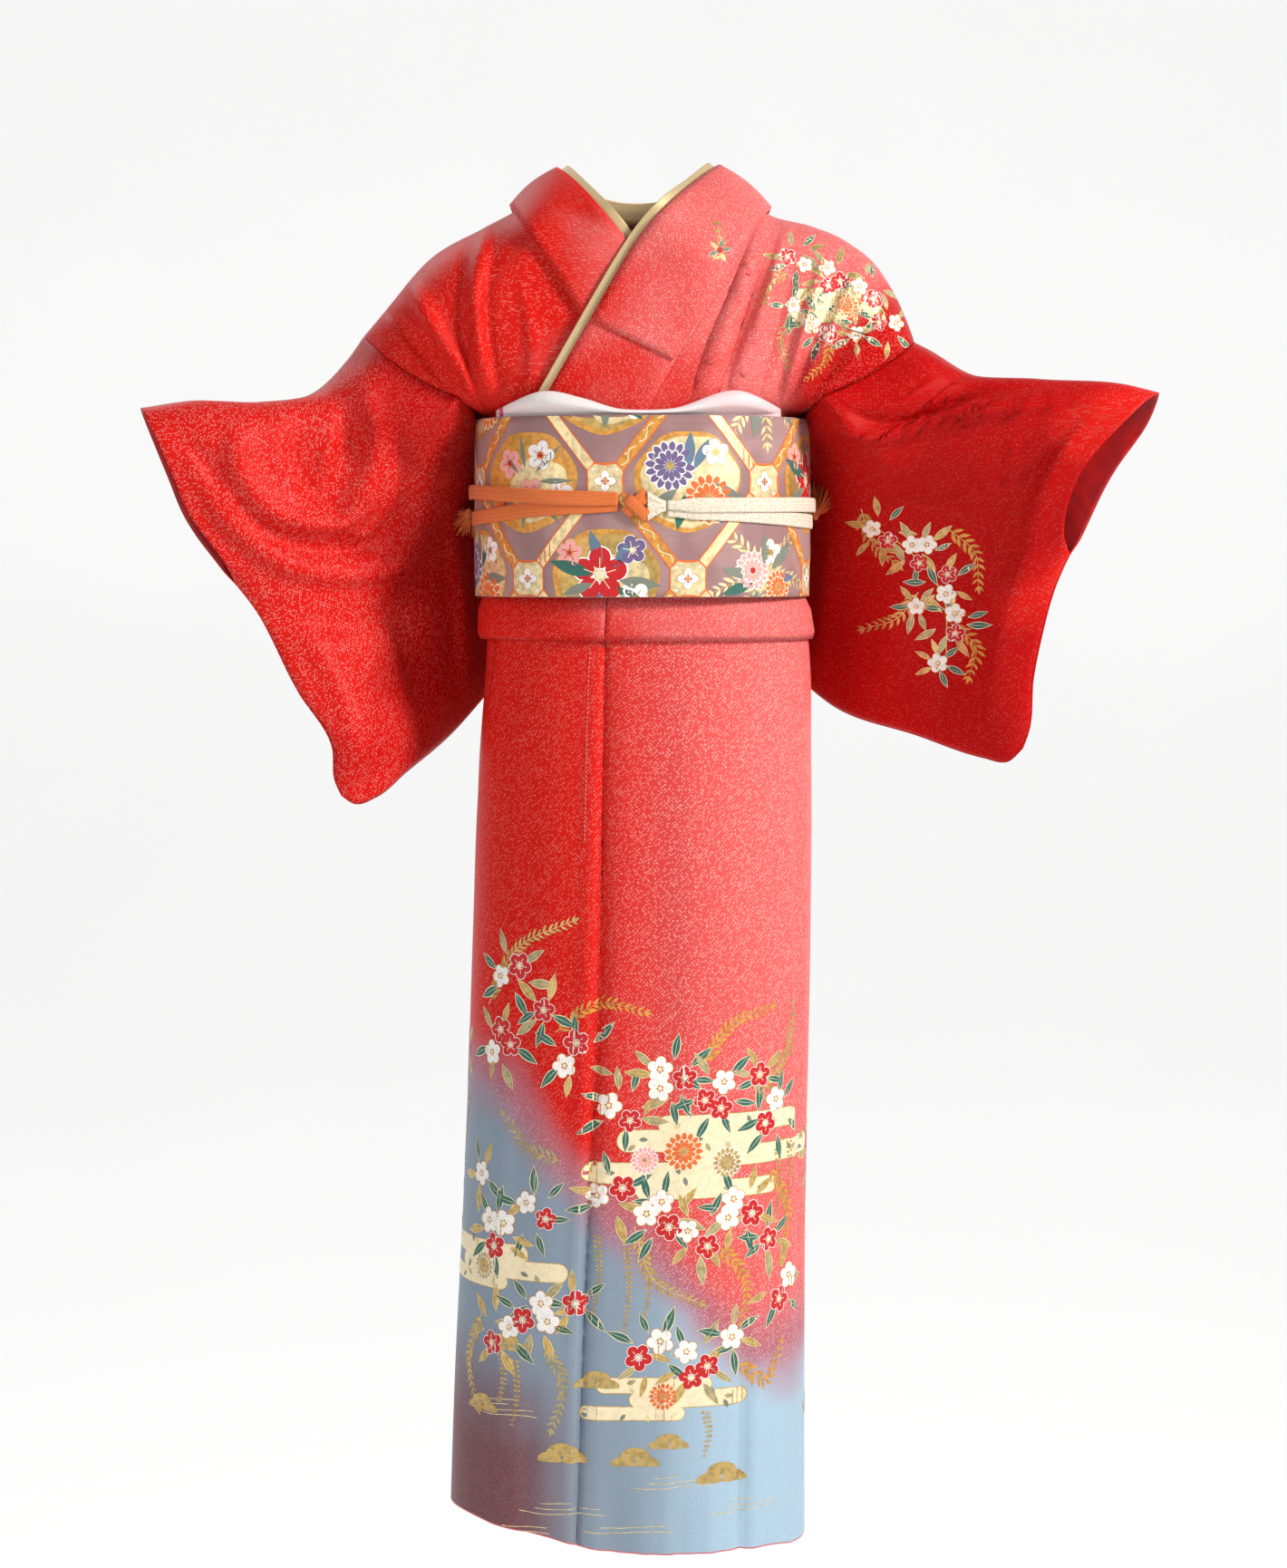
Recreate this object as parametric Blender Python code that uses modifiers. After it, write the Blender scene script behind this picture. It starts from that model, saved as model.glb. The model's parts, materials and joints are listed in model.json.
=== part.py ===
"""A homongi kimono with its belt set, standing open and hollow as it is worn.

Metres, +Z up. +X is the wearer's left, which is the right of the front view, and
the front faces -Y. The origin is at the side of the neck, level with the top of
the collar, where the wearer's shoulders hold the garment up.

Every cloth is a wall made from an open grid of points and a Solidify modifier.
Layers of cloth lie LAYER apart, so that the left front can lap over the right.
"""
import math

import bmesh
import bpy
import numpy as np
from mathutils import Vector

# Cloth and gaps
CLOTH = 0.0015
LAYER = 0.0024
SEAM_GAP = 0.0003
SLEEVE_SEAM_GAP = 0.0012

# Heights of the dressed garment
BODICE_BOTTOM = -0.3800
OBI_TOP = -0.2445
OBI_BOTTOM = -0.4140
OBI_WALL = 0.0030
SKIRT_TOP = -0.428
HEM = -1.307
HEM_RAISE = 0.022
ARMPIT = -0.226

# The body's section at each height: centre x, half width, front and back depth
ROUNDNESS = 2.4
BODY_ROWS = [
    # z, centre_x, half_width, front, back
    (-0.270, 0.0040, 0.1500, 0.117, 0.112),
    (-0.410, 0.0050, 0.1505, 0.117, 0.112),
    (-0.454, 0.0080, 0.1535, 0.118, 0.113),
    (-0.576, 0.0057, 0.1590, 0.121, 0.118),
    (-0.734, 0.0035, 0.1605, 0.122, 0.120),
    (-0.997, -0.0036, 0.1625, 0.121, 0.120),
    (-1.158, -0.0080, 0.1660, 0.120, 0.121),
    (-1.307, -0.0105, 0.1685, 0.120, 0.122),
]
# Above the obi the section widens to the sleeve seams
CHEST_ROWS = [
    # z, centre_x, half_width, front, back
    (-0.270, 0.0040, 0.1500, 0.117, 0.112),
    (-0.241, 0.0035, 0.1515, 0.117, 0.112),
    (-0.226, 0.0030, 0.1800, 0.117, 0.112),
    (-0.200, 0.0020, 0.2380, 0.114, 0.112),
    (-0.150, 0.0010, 0.3000, 0.110, 0.110),
    (-0.100, 0.0000, 0.3050, 0.102, 0.106),
    (0.030, 0.0000, 0.3100, 0.090, 0.092),
]
# Top of the shoulders, from the middle out, for the wearer's left and right
SHOULDER_ROWS = {
    "left": [
        # distance from the middle, z
        (0.000, 0.020), (0.060, 0.005), (0.125, -0.045), (0.169, -0.057),
        (0.2015, -0.071), (0.235, -0.100), (0.257, -0.140), (0.2675, -0.168),
    ],
    "right": [
        (0.000, 0.020), (0.060, 0.005), (0.1206, -0.043), (0.1505, -0.059),
        (0.2086, -0.095), (0.2253, -0.114), (0.250, -0.144), (0.2657, -0.1625),
    ],
}
SHOULDER_ROUND = 0.070
BODICE_COLUMNS = 11
BODICE_ROWS = 12
# The seam between body and sleeve, from the shoulder down, then the side
SEAM_ROWS = {
    "left": [
        # distance from the middle, z
        (0.2675, -0.168), (0.238, -0.192), (0.202, -0.213), (0.172, ARMPIT),
    ],
    "right": [
        (0.2657, -0.1625), (0.234, -0.190), (0.197, -0.213), (0.167, ARMPIT),
    ],
}
SIDE_ROWS = [
    # distance from the middle, z
    (0.1500, -0.2405), (0.1480, -0.270), (0.1480, BODICE_BOTTOM),
]

# The collar: seam and free edge at stations from the left front to the right
FRONT = "front"
BACK = "back"
COLLAR_ROWS = [
    # seam x, z, edge x, z, edge y (or where it lies), bulge
    (-0.018, -0.282, -0.098, -0.248, FRONT, 0.000),
    (0.000, -0.256, -0.0845, -0.224, FRONT, 0.000),
    (0.034, -0.195, -0.045, -0.156, FRONT, 0.001),
    (0.060, -0.153, -0.0034, -0.084, FRONT, 0.002),
    (0.085, -0.112, 0.025, -0.050, FRONT, 0.003),
    (0.110, -0.071, 0.054, -0.019, -0.062, 0.004),
    (0.125, -0.046, 0.0755, 0.0005, -0.018, 0.004),
    (0.118, -0.052, 0.0765, -0.003, 0.022, 0.004),
    (0.093, -0.068, 0.066, -0.012, 0.062, 0.004),
    (0.050, -0.084, 0.037, -0.025, 0.090, 0.003),
    (0.000, -0.090, 0.000, -0.030, 0.098, 0.003),
    (-0.050, -0.084, -0.037, -0.025, 0.090, 0.003),
    (-0.091, -0.066, -0.066, -0.012, 0.062, 0.004),
    (-0.114, -0.050, -0.0765, -0.005, 0.022, 0.004),
    (-0.1206, -0.044, -0.0755, -0.002, -0.018, 0.004),
    (-0.104, -0.070, -0.055, -0.023, -0.062, 0.004),
    (-0.080, -0.108, -0.030, -0.054, FRONT, 0.000),
    (-0.055, -0.149, -0.0045, -0.087, FRONT, 0.000),
    (-0.030, -0.190, 0.020, -0.130, FRONT, 0.000),
    (-0.006, -0.228, 0.040, -0.166, FRONT, 0.000),
]
COLLAR_LAP = 0.006
NECK_INSET = 0.002
NECK_POINTS = {"left": (0.118, -0.040), "right": (-0.1135, -0.037)}
FRONT_EDGE_BOTTOM = {"left": -0.035, "right": 0.030}
COLLAR_MIDDLE = 10
COLLAR_BACK = (7, 13)
COLLAR_SHOULDER = (5, 15)
COLLAR_LAYERS = 1.40
SHOULDER_COLLAR_LAYERS = 2.2
OVERLAP_LAYERS = 3.6
STATION_STEPS = 3
OVER_COLLAR_STATIONS = (2, 18)
DATE_ERI_SHOWS = 0.0085
DATE_ERI_DROP = 0.0030
DATE_ERI_STATIONS = (0, 19)

# Sleeves: top line, outer edge, bottom and inner edge of the bag's middle sheet
SLEEVE_ROWS = {
    "left": {
        "top": [
            # x, y, z
            (0.2675, 0.000, -0.168), (0.281, -0.015, -0.1765), (0.321, -0.045, -0.203),
            (0.382, -0.075, -0.209), (0.4585, -0.098, -0.215), (0.4883, -0.105, -0.223),
        ],
        "outer": [
            (0.4883, -0.105, -0.223), (0.478, -0.105, -0.245), (0.445, -0.100, -0.296),
            (0.4148, -0.092, -0.356), (0.3925, -0.086, -0.406), (0.3803, -0.081, -0.453),
            (0.3734, -0.078, -0.490), (0.3700, -0.072, -0.540), (0.3640, -0.070, -0.558),
        ],
        "bottom": [
            (0.158, 0.100, -0.487), (0.1968, 0.060, -0.525), (0.271, -0.005, -0.549),
            (0.3306, -0.050, -0.568), (0.350, -0.062, -0.571), (0.3640, -0.070, -0.558),
        ],
        "inner": [
            (0.2675, 0.000, -0.168), (0.228, 0.003, -0.202), (0.200, 0.020, -0.232),
            (0.196, 0.050, -0.262), (0.193, 0.075, -0.310), (0.185, 0.095, -0.350),
            (0.168, 0.104, -0.410), (0.158, 0.104, -0.445), (0.158, 0.100, -0.487),
        ],
        "cuff_end": 0.47,
    },
    "right": {
        "top": [
            (-0.2657, 0.000, -0.1625), (-0.2805, -0.018, -0.187), (-0.3133, -0.042, -0.221),
            (-0.3640, -0.072, -0.231), (-0.4177, -0.096, -0.230), (-0.4662, -0.105, -0.2375),
        ],
        "outer": [
            (-0.4662, -0.105, -0.2375), (-0.443, -0.100, -0.2985), (-0.4286, -0.096, -0.335),
            (-0.3935, -0.091, -0.383), (-0.3608, -0.086, -0.4255), (-0.3212, -0.081, -0.502),
            (-0.2890, -0.075, -0.556), (-0.2870, -0.071, -0.588), (-0.2810, -0.068, -0.603),
        ],
        "bottom": [
            (-0.152, 0.100, -0.505), (-0.184, 0.050, -0.549), (-0.2249, -0.020, -0.584),
            (-0.2518, -0.050, -0.606), (-0.2686, -0.062, -0.611), (-0.2810, -0.068, -0.603),
        ],
        "inner": [
            (-0.2657, 0.000, -0.1625), (-0.226, 0.003, -0.200), (-0.198, 0.020, -0.232),
            (-0.190, 0.050, -0.262), (-0.187, 0.075, -0.310), (-0.179, 0.095, -0.350),
            (-0.162, 0.104, -0.410), (-0.152, 0.104, -0.445), (-0.152, 0.100, -0.505),
        ],
        "cuff_end": 0.45,
    },
}
SLEEVE_COLUMNS = 14
SLEEVE_STEPS = 14
SLEEVE_ROUND = 0.045
SLEEVE_FULL = {"seam": 0.046, "cuff": 0.030, "bag": 0.011}
SLEEVE_EDGE_ROUND = 0.050
SEAMED = CLOTH / 2 + SEAM_GAP / 2 + 0.0002
ATTACHED = 0.30
SEAM_POINTS = 5

# Folds of the cloth as seen from the front: a path, its half width and its height
BODICE_FOLDS = [
    # path of (x, z), half_width, height
    ([(-0.150, -0.072), (-0.158, -0.130), (-0.142, -0.225)], 0.012, 0.006),
    ([(-0.218, -0.118), (-0.185, -0.180), (-0.150, -0.235)], 0.013, 0.007),
    ([(0.118, -0.075), (0.088, -0.160), (0.066, -0.236)], 0.010, 0.005),
    ([(0.150, -0.075), (0.112, -0.160), (0.090, -0.236)], 0.010, 0.005),
    ([(0.200, -0.100), (0.168, -0.165), (0.140, -0.230)], 0.012, 0.007),
]
SLEEVE_FOLDS = {
    "left": [
        ([(0.185, -0.245), (0.254, -0.258), (0.330, -0.243), (0.440, -0.222)], 0.014, 0.006),
        ([(0.240, -0.190), (0.262, -0.300), (0.250, -0.420)], 0.020, 0.005),
        ([(0.430, -0.240), (0.372, -0.380), (0.345, -0.520)], 0.022, 0.005),
    ],
    "right": [
        ([(-0.392, -0.240), (-0.381, -0.303), (-0.331, -0.346), (-0.290, -0.335),
          (-0.276, -0.270), (-0.275, -0.200)], 0.014, 0.012),
        ([(-0.403, -0.318), (-0.325, -0.378), (-0.255, -0.378), (-0.222, -0.310)],
         0.014, 0.011),
        ([(-0.318, -0.395), (-0.270, -0.470), (-0.255, -0.570)], 0.018, 0.006),
    ],
}
SKIRT_FOLDS = [
    # path of (x, z), half_width, height
    ([(-0.030, -0.456), (-0.037, -0.786), (-0.046, -0.972), (-0.052, -1.120), (-0.058, -1.330)],
     0.014, -0.004),
    ([(0.140, -0.480), (0.148, -0.800), (0.150, -1.100), (0.146, -1.330)], 0.011, -0.003),
    ([(0.096, -1.060), (0.093, -1.174), (0.092, -1.330)], 0.010, -0.003),
]

# The front's seams: where the overlap panel meets the body panel, and its edge
OKUMI_SEAM_ROWS = [
    # z, x
    (-0.380, -0.026), (-0.456, -0.030), (-0.622, -0.034), (-0.786, -0.037), (-0.972, -0.046),
    (-1.120, -0.052), (-1.307, -0.058),
]
OKUMI_EDGE_ROWS = [
    # z, angle from the front in degrees
    (-0.395, -62.0), (-0.456, -64.0), (-0.576, -74.0), (-0.734, -83.0), (-1.307, -88.0),
]
SKIRT_ROWS = 11
SIDE_SEAM_ANGLE = 96.0
SIDE_LAP_ANGLE = 4.0
UNDER_EDGE_ANGLE = 70.0
UNDER_SEAM_ANGLE = 18.0
UNDER_DROP = 0.0045

# The fold below the obi: its section from the top, out of the body and down
OHASHORI_ROWS = [
    # distance out, z
    (0.0012, -0.3806), (0.0022, -0.408), (0.0060, -0.4180), (0.0090, -0.427), (0.0094, -0.448),
    (0.0076, -0.4540), (0.0056, -0.449), (0.0054, -0.432),
]

# The obi
OBI_CENTRE_X = 0.0040
OBI_HALF_WIDTH = 0.1600
OBI_FRONT = 0.1360
OBI_BACK = 0.1270
OBI_END_ANGLE = 178.0
OBI_COLUMNS = 49
OBI_ROWS = 4
OBI_BOW = 0.0012
TAIL_WALL = 0.0020
DRUM_HALF_WIDTH = 0.155
DRUM_COLUMNS = 7
DRUM_POINTS = 25
DRUM_BOW = 0.004
DRUM_ROWS = [
    # y, z, from the inner side of the pad, over it, and down to the folded bottom
    (0.1304, -0.260), (0.1318, -0.238), (0.1400, -0.212), (0.1640, -0.1990), (0.1880, -0.208),
    (0.2010, -0.238), (0.2120, -0.300), (0.2180, -0.370), (0.2150, -0.440),
    (0.2050, -0.500), (0.1940, -0.5200), (0.1830, -0.510), (0.1780, -0.470),
    (0.1740, -0.400), (0.1710, -0.370),
]
TARE_HALF_WIDTH = 0.1527
TARE_POINTS = 9
TARE_ROWS = [
    # y, z
    (0.1327, -0.268), (0.1327, -0.420), (0.1445, -0.500), (0.1530, -0.595),
]
TE_ROWS = [
    # z in the middle, z at the ends, right end x, left end x
    (-0.2680, -0.2410, -0.1760, 0.1870), (-0.2980, -0.2930, -0.1620, 0.1700),
    (-0.3400, -0.3150, -0.1530, 0.1600), (-0.4020, -0.3940, -0.1560, 0.1620),
]
TE_COLUMNS = 15
TE_PLACE = 0.1434
TE_END_CURL = 0.0100
PAD_RADIUS = 0.0260
PAD_TAPER = 0.93
PAD_SIDES = 12
PAD_RINGS = 11
PAD_HALF_LENGTH = 0.128
PAD_PLACE = (0.1640, -0.2300)

# The scarf along the top of the obi: two soft humps that meet in the middle
OBIAGE_INSIDE = 0.0036
OBIAGE_TUCK = -0.2620
OBIAGE_RISE = 0.001
OBIAGE_EDGE_LAYERS = 0.1
EDGE_LAYERS = 1.1
FRONT_LAYERS = 5.9
OBIAGE_ROWS = [
    # x, top z, how far it swells out
    (-0.1380, -0.2400, 0.0045), (-0.1200, -0.2330, 0.0080), (-0.0890, -0.2230, 0.0110),
    (-0.0500, -0.2300, 0.0100), (-0.0180, -0.2395, 0.0070), (0.0000, -0.2405, 0.0060),
    (0.0300, -0.2395, 0.0070), (0.0980, -0.2230, 0.0115), (0.1240, -0.2330, 0.0080),
    (0.1400, -0.2400, 0.0045),
]
OBIAGE_PROFILE = [
    # share of the height over the obi, share of the swell, layers added
    (0.4, 1.0, 0.0), (0.8, 0.8, 0.0), (1.0, 0.3, 0.3),
]

# The cord over the obi
CORD_WIDTH = 0.0140
CORD_THICK = 0.0034
KNOT_THICK = 0.0030
CORD_LEVEL = -0.3200
STRAND_LEVEL = -0.3360
CORD_START = 5.3
CORD_TILT = 0.001
CORD_BEHIND_ANGLE = 100.0
CORD_BACK_POINTS = 16
STRAND_END_ANGLE = 82.0
KNOT_LEVEL = -0.3290
KNOT_CENTRE_X = 0.0045
KNOT_HALF_WIDTH = 0.0205
KNOT_HALF_HEIGHT = 0.0175
KNOT_NARROWING = 0.08
KNOT_SWELL = 0.0046
KNOT_ROWS = 9
KNOT_COLUMNS = 7
CORD_BACK_ROWS = [
    # x, y
    (0.1700, 0.070), (0.1710, 0.112), (0.1670, 0.1480), (0.1450, 0.1570), (0.070, 0.1575),
    (0.0004, 0.1575),
]
TASSEL_ACROSS = 4
TASSEL_DEEP = 5
TASSEL_HEAD = (0.0056, 0.0100, 0.0080)
TASSEL_LENGTH = 0.030
TASSEL_SPREAD = 1.1
STRAND_GAP = 0.00022
TASSEL_ROOTS = {"left": (0.1735, 0.0040, -0.3330), "right": (-0.1646, 0.0040, -0.3352)}
TASSEL_AIMS = {"left": (0.06, 0.60, 0.50), "right": (-0.06, 0.70, -0.20)}

# Colours: red, green, blue, roughness
RED_SILK = (0.560, 0.014, 0.012, 0.42)
COLLAR_SILK = (0.600, 0.016, 0.014, 0.42)
GOLD_STRIP = (0.620, 0.470, 0.260, 0.40)
OBI_BROCADE = (0.480, 0.300, 0.240, 0.45)
OBI_BACKING = (0.560, 0.430, 0.270, 0.50)
WHITE_SILK = (0.820, 0.720, 0.720, 0.50)
ORANGE_CORD = (0.720, 0.200, 0.050, 0.60)
CREAM_CORD = (0.780, 0.680, 0.500, 0.55)


def clear_scene():
    """Empty the scene and give it one collection for the garment."""
    for item in list(bpy.data.objects):
        bpy.data.objects.remove(item, do_unlink=True)
    group = bpy.data.collections.new("homongi_kimono")
    bpy.context.scene.collection.children.link(group)
    return group


def paint(name, colour):
    """Make one plain material."""
    material = bpy.data.materials.new(name)
    material.use_nodes = True
    shader = material.node_tree.nodes["Principled BSDF"]
    shader.inputs["Base Color"].default_value = (*colour[:3], 1.0)
    shader.inputs["Roughness"].default_value = colour[3]
    shader.inputs["Metallic"].default_value = 0.0
    return material


def run_along(points, t):
    """Points of a smooth curve through a table of points, t from 0 to 1."""
    table = np.array(points, dtype=float)
    steps = np.linalg.norm(np.diff(table, axis=0), axis=1)
    stations = np.concatenate([[0.0], np.cumsum(steps)]) / steps.sum()
    return run_through(stations, table, t)


def run_through(stations, values, at):
    """Smooth values between rows whose first column rises."""
    stations = np.asarray(stations, dtype=float)
    values = np.asarray(values, dtype=float)
    at = np.clip(np.asarray(at, dtype=float), stations[0], stations[-1])
    slopes = np.gradient(values, stations, axis=0)
    low = np.clip(np.searchsorted(stations, at, side="right") - 1, 0, len(stations) - 2)
    gap = stations[low + 1] - stations[low]
    k = (at - stations[low]) / gap
    if values.ndim > 1:
        k = k[..., None]
        gap = gap[..., None]
    start = (2 * k**3 - 3 * k**2 + 1) * values[low] + (k**3 - 2 * k**2 + k) * gap * slopes[low]
    end = (3 * k**2 - 2 * k**3) * values[low + 1] + (k**3 - k**2) * gap * slopes[low + 1]
    return start + end


def ease(value, low, high):
    """A smooth step from 0 at low to 1 at high, where high may be the smaller."""
    k = np.clip((np.asarray(value, dtype=float) - low) / (high - low), 0.0, 1.0)
    return k * k * (3 - 2 * k)


def rounded(share):
    """A quarter circle that rises from 0 to 1 as the share does."""
    return np.sqrt(1 - (1 - np.clip(share, 0.0, 1.0)) ** 2)


def fold_height(x, z, folds):
    """How far soft folds lift the cloth at points seen from the front."""
    total = np.zeros(np.shape(x))
    for path, half_width, height in folds:
        t = np.linspace(0.0, 1.0, 48)
        line = run_along(path, t)
        far = (x[..., None] - line[:, 0]) ** 2 + (z[..., None] - line[:, 1]) ** 2
        nearest = far.argmin(axis=-1)
        distance = np.sqrt(far.min(axis=-1))
        taper = np.sin(math.pi * np.clip(t[nearest], 0.02, 0.98)) ** 0.6
        total += height * np.exp(-((distance / half_width) ** 2)) * taper
    return total


def section(rows, z):
    """Centre, half width, front and back depth of the body at height z."""
    table = np.array(sorted(rows))
    values = run_through(table[:, 0], table[:, 1:], z)
    return values[..., 0], values[..., 1], values[..., 2], values[..., 3]


def depth_at(x, z, side, facing):
    """How far the chest or back stands out at a point seen from the front."""
    upper = z > BODY_ROWS[0][0]
    above = section(CHEST_ROWS, z)
    below = section(BODY_ROWS, z)
    centre, half, front, back = (np.where(upper, a, b) for a, b in zip(above, below))
    reach = front if facing == FRONT else back
    across = np.clip(np.abs((x - centre) / half), 0.0, 0.999)
    flat = reach * (1 - across**ROUNDNESS) ** (1 / ROUNDNESS)
    table = np.array(SHOULDER_ROWS[side])
    top = run_through(table[:, 0], table[:, 1], np.abs(x))
    return flat * rounded((top - z) / SHOULDER_ROUND)


def ring_point(angle, z, out=0.0):
    """A point of the body's section, by its angle from the front towards +X."""
    angle, z, out = np.broadcast_arrays(np.radians(angle), z, out)
    centre, half, front, back = section(BODY_ROWS, z)
    reach = np.where(np.cos(angle) > 0, front, back)
    power = 2 / ROUNDNESS
    x = centre + half * np.sign(np.sin(angle)) * np.abs(np.sin(angle)) ** power
    y = -reach * np.sign(np.cos(angle)) * np.abs(np.cos(angle)) ** power
    normal_x = np.sin(angle) / half
    normal_y = -np.cos(angle) / reach
    length = np.hypot(normal_x, normal_y)
    return np.stack([x + out * normal_x / length, y + out * normal_y / length, z], axis=-1)


def angle_at(x, z):
    """The angle on the front of the body's section that has this x."""
    centre, half, _, _ = section(BODY_ROWS, z)
    across = (x - centre) / half
    return np.degrees(np.arcsin(np.sign(across) * np.abs(across) ** (ROUNDNESS / 2)))


def normals_of(grid):
    """Unit normals of a grid of points."""
    down = np.gradient(grid, axis=0)
    across = np.gradient(grid, axis=1)
    normal = np.cross(across, down)
    return normal / np.maximum(np.linalg.norm(normal, axis=-1, keepdims=True), 1e-9)


def patch(top, bottom, first, last):
    """Fill a grid between four boundary lines: rows go down, columns go across."""
    v = np.linspace(0.0, 1.0, len(first))[:, None, None]
    u = np.linspace(0.0, 1.0, len(top))[None, :, None]
    down = (1 - v) * top[None] + v * bottom[None]
    across = (1 - u) * first[:, None] + u * last[:, None]
    upper_corners = (1 - u) * top[0] + u * top[-1]
    lower_corners = (1 - u) * bottom[0] + u * bottom[-1]
    return down + across - (1 - v) * upper_corners - v * lower_corners


def wall(group, name, grid, material, thick=CLOTH, closed=False):
    """Make a wall of cloth from a grid of points on its middle sheet."""
    rows, columns = grid.shape[:2]
    mesh = bpy.data.meshes.new(name)
    shape = bmesh.new()
    bmesh.ops.create_grid(shape, x_segments=columns - 1, y_segments=rows - 1, size=1.0)
    for vert in shape.verts:
        column = round((vert.co.x + 1) / 2 * (columns - 1))
        row = round((vert.co.y + 1) / 2 * (rows - 1))
        vert.co = grid[row, column]
    if closed:
        bmesh.ops.remove_doubles(shape, verts=shape.verts, dist=0.00001)
    shape.to_mesh(mesh)
    shape.free()
    mesh.shade_smooth()
    item = bpy.data.objects.new(name, mesh)
    group.objects.link(item)
    item.data.materials.append(material)
    shell = item.modifiers.new("cloth", "SOLIDIFY")
    shell.thickness = thick
    shell.offset = 0.0
    return item


def overlap_layers(x, z):
    """How many layers lie under the left front, towards the middle."""
    across = ease(x, 0.135, 0.060) * (0.60 + 0.40 * ease(x, -0.095, -0.045))
    low = ease(z, -0.300, -0.360)
    return across * (OVERLAP_LAYERS - (OVERLAP_LAYERS - 1.0) * low)


def chest_depth(x, z, side, facing):
    """How far the bodice stands out with its folds, which end above the obi."""
    depth = depth_at(x, z, side, facing)
    if facing == FRONT:
        shown = ease(depth, 0.0, 0.05) * ease(z, OBI_TOP + 0.002, OBI_TOP + 0.040)
        depth = depth + fold_height(x, z, BODICE_FOLDS) * shown
    return depth


def chest_point(x, z, side, facing, layers=0.0):
    """A point of the bodice seen at x and z, raised by layers of cloth."""
    x, z, layers = np.broadcast_arrays(np.asarray(x, dtype=float), z, layers)
    depth = chest_depth(x, z, side, facing)
    near = 0.0015
    slope_x = (chest_depth(x + near, z, side, facing) - chest_depth(x - near, z, side, facing))
    slope_z = (depth - chest_depth(x, z - near, side, facing))
    normal = np.stack([-slope_x / (2 * near), np.ones(x.shape), -slope_z / near], axis=-1)
    normal[..., 0] = np.clip(normal[..., 0], -3.0, 3.0)
    normal[..., 2] = np.clip(normal[..., 2], -0.3, 8.0)
    normal /= np.linalg.norm(normal, axis=-1, keepdims=True)
    point = np.stack([x, depth, z], axis=-1) + normal * (layers * LAYER)[..., None]
    if facing == FRONT:
        point[..., 1] *= -1
    return point


def sleeve_seam(side, t, facing, out=0.0):
    """Points of the seam from the shoulder to the armpit, front or back."""
    line = run_along(SEAM_ROWS[side], t)
    sign = 1 if side == "left" else -1
    points = chest_point(sign * line[..., 0], line[..., 1], side, facing)
    points[..., 0] += sign * out * 0.6
    points[..., 2] -= out * 0.8
    return points


def bodice(side, columns, rows):
    """One body panel: up the front, over the shoulder and down the back."""
    sign = 1 if side == "left" else -1
    across = np.sin(np.linspace(0.0, 1.0, columns) * math.pi / 2)
    shoulder = np.array(SHOULDER_ROWS[side])
    halves = []
    for facing in (FRONT, BACK):
        seam = run_along(SEAM_ROWS[side], np.linspace(0.0, 1.0, SEAM_POINTS))
        below = np.linspace(0.0, 1.0, rows - SEAM_POINTS + 1)
        low = run_along([SEAM_ROWS[side][-1], *SIDE_ROWS], below)
        last = np.concatenate([seam, low[1:]]) * [sign, 1]
        first = bodice_middle_edge(side, facing, rows)
        shoulder_x = np.linspace(abs(first[0, 0]), abs(last[0, 0]), columns)
        shoulder_z = run_through(shoulder[:, 0], shoulder[:, 1], shoulder_x)
        top = np.stack([sign * shoulder_x, shoulder_z], axis=-1)
        first[0] = top[0]
        bottom_x = first[-1, 0] + (last[-1, 0] - first[-1, 0]) * across
        bottom = np.stack([bottom_x, np.full(columns, BODICE_BOTTOM)], axis=-1)
        flat = patch(top, bottom, first, last)
        x, z = flat[..., 0], flat[..., 1]
        layers = overlap_layers(x, z) if side == "left" and facing == FRONT else 0.0
        sheet = chest_point(x, z, side, facing, layers)
        sheet[0, :, 1] = 0.0
        halves.append(sheet)
    front, back = halves
    return np.concatenate([front[::-1], back[1:]])


def bodice_middle_edge(side, facing, rows):
    """The edge of a body panel along the collar or down the middle of the back."""
    sign = 1 if side == "left" else -1
    seams = [(row[0], row[1]) for row in COLLAR_ROWS]
    front_first, front_last = COLLAR_SHOULDER
    back_first, back_last = COLLAR_BACK
    start = NECK_POINTS[side]
    if facing == FRONT:
        line = seams[front_first::-1] if side == "left" else seams[front_last:]
        line = [(x - sign * COLLAR_LAP, z) for x, z in line]
        line.append((FRONT_EDGE_BOTTOM[side], BODICE_BOTTOM))
        fractions = 1 - np.cos(np.linspace(0.0, 1.0, rows) * math.pi / 2)
        return run_along([start, *line], fractions)
    left_half = seams[back_first:COLLAR_MIDDLE]
    right_half = seams[back_last:COLLAR_MIDDLE:-1]
    half = left_half if side == "left" else right_half
    gap = sign * (SEAM_GAP / 2 + 0.0001)
    neck = [(x - sign * NECK_INSET, z + COLLAR_LAP * 0.8) for x, z in half]
    corner = (gap, COLLAR_ROWS[COLLAR_MIDDLE][1] + COLLAR_LAP)
    count = rows // 3
    upper = run_along([start, *neck, corner], np.linspace(0.0, 1.0, count) ** 1.3)
    lower = run_along([corner, (gap, BODICE_BOTTOM)], np.linspace(0.0, 1.0, rows - count + 1))
    return np.concatenate([upper, lower[1:]])


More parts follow.
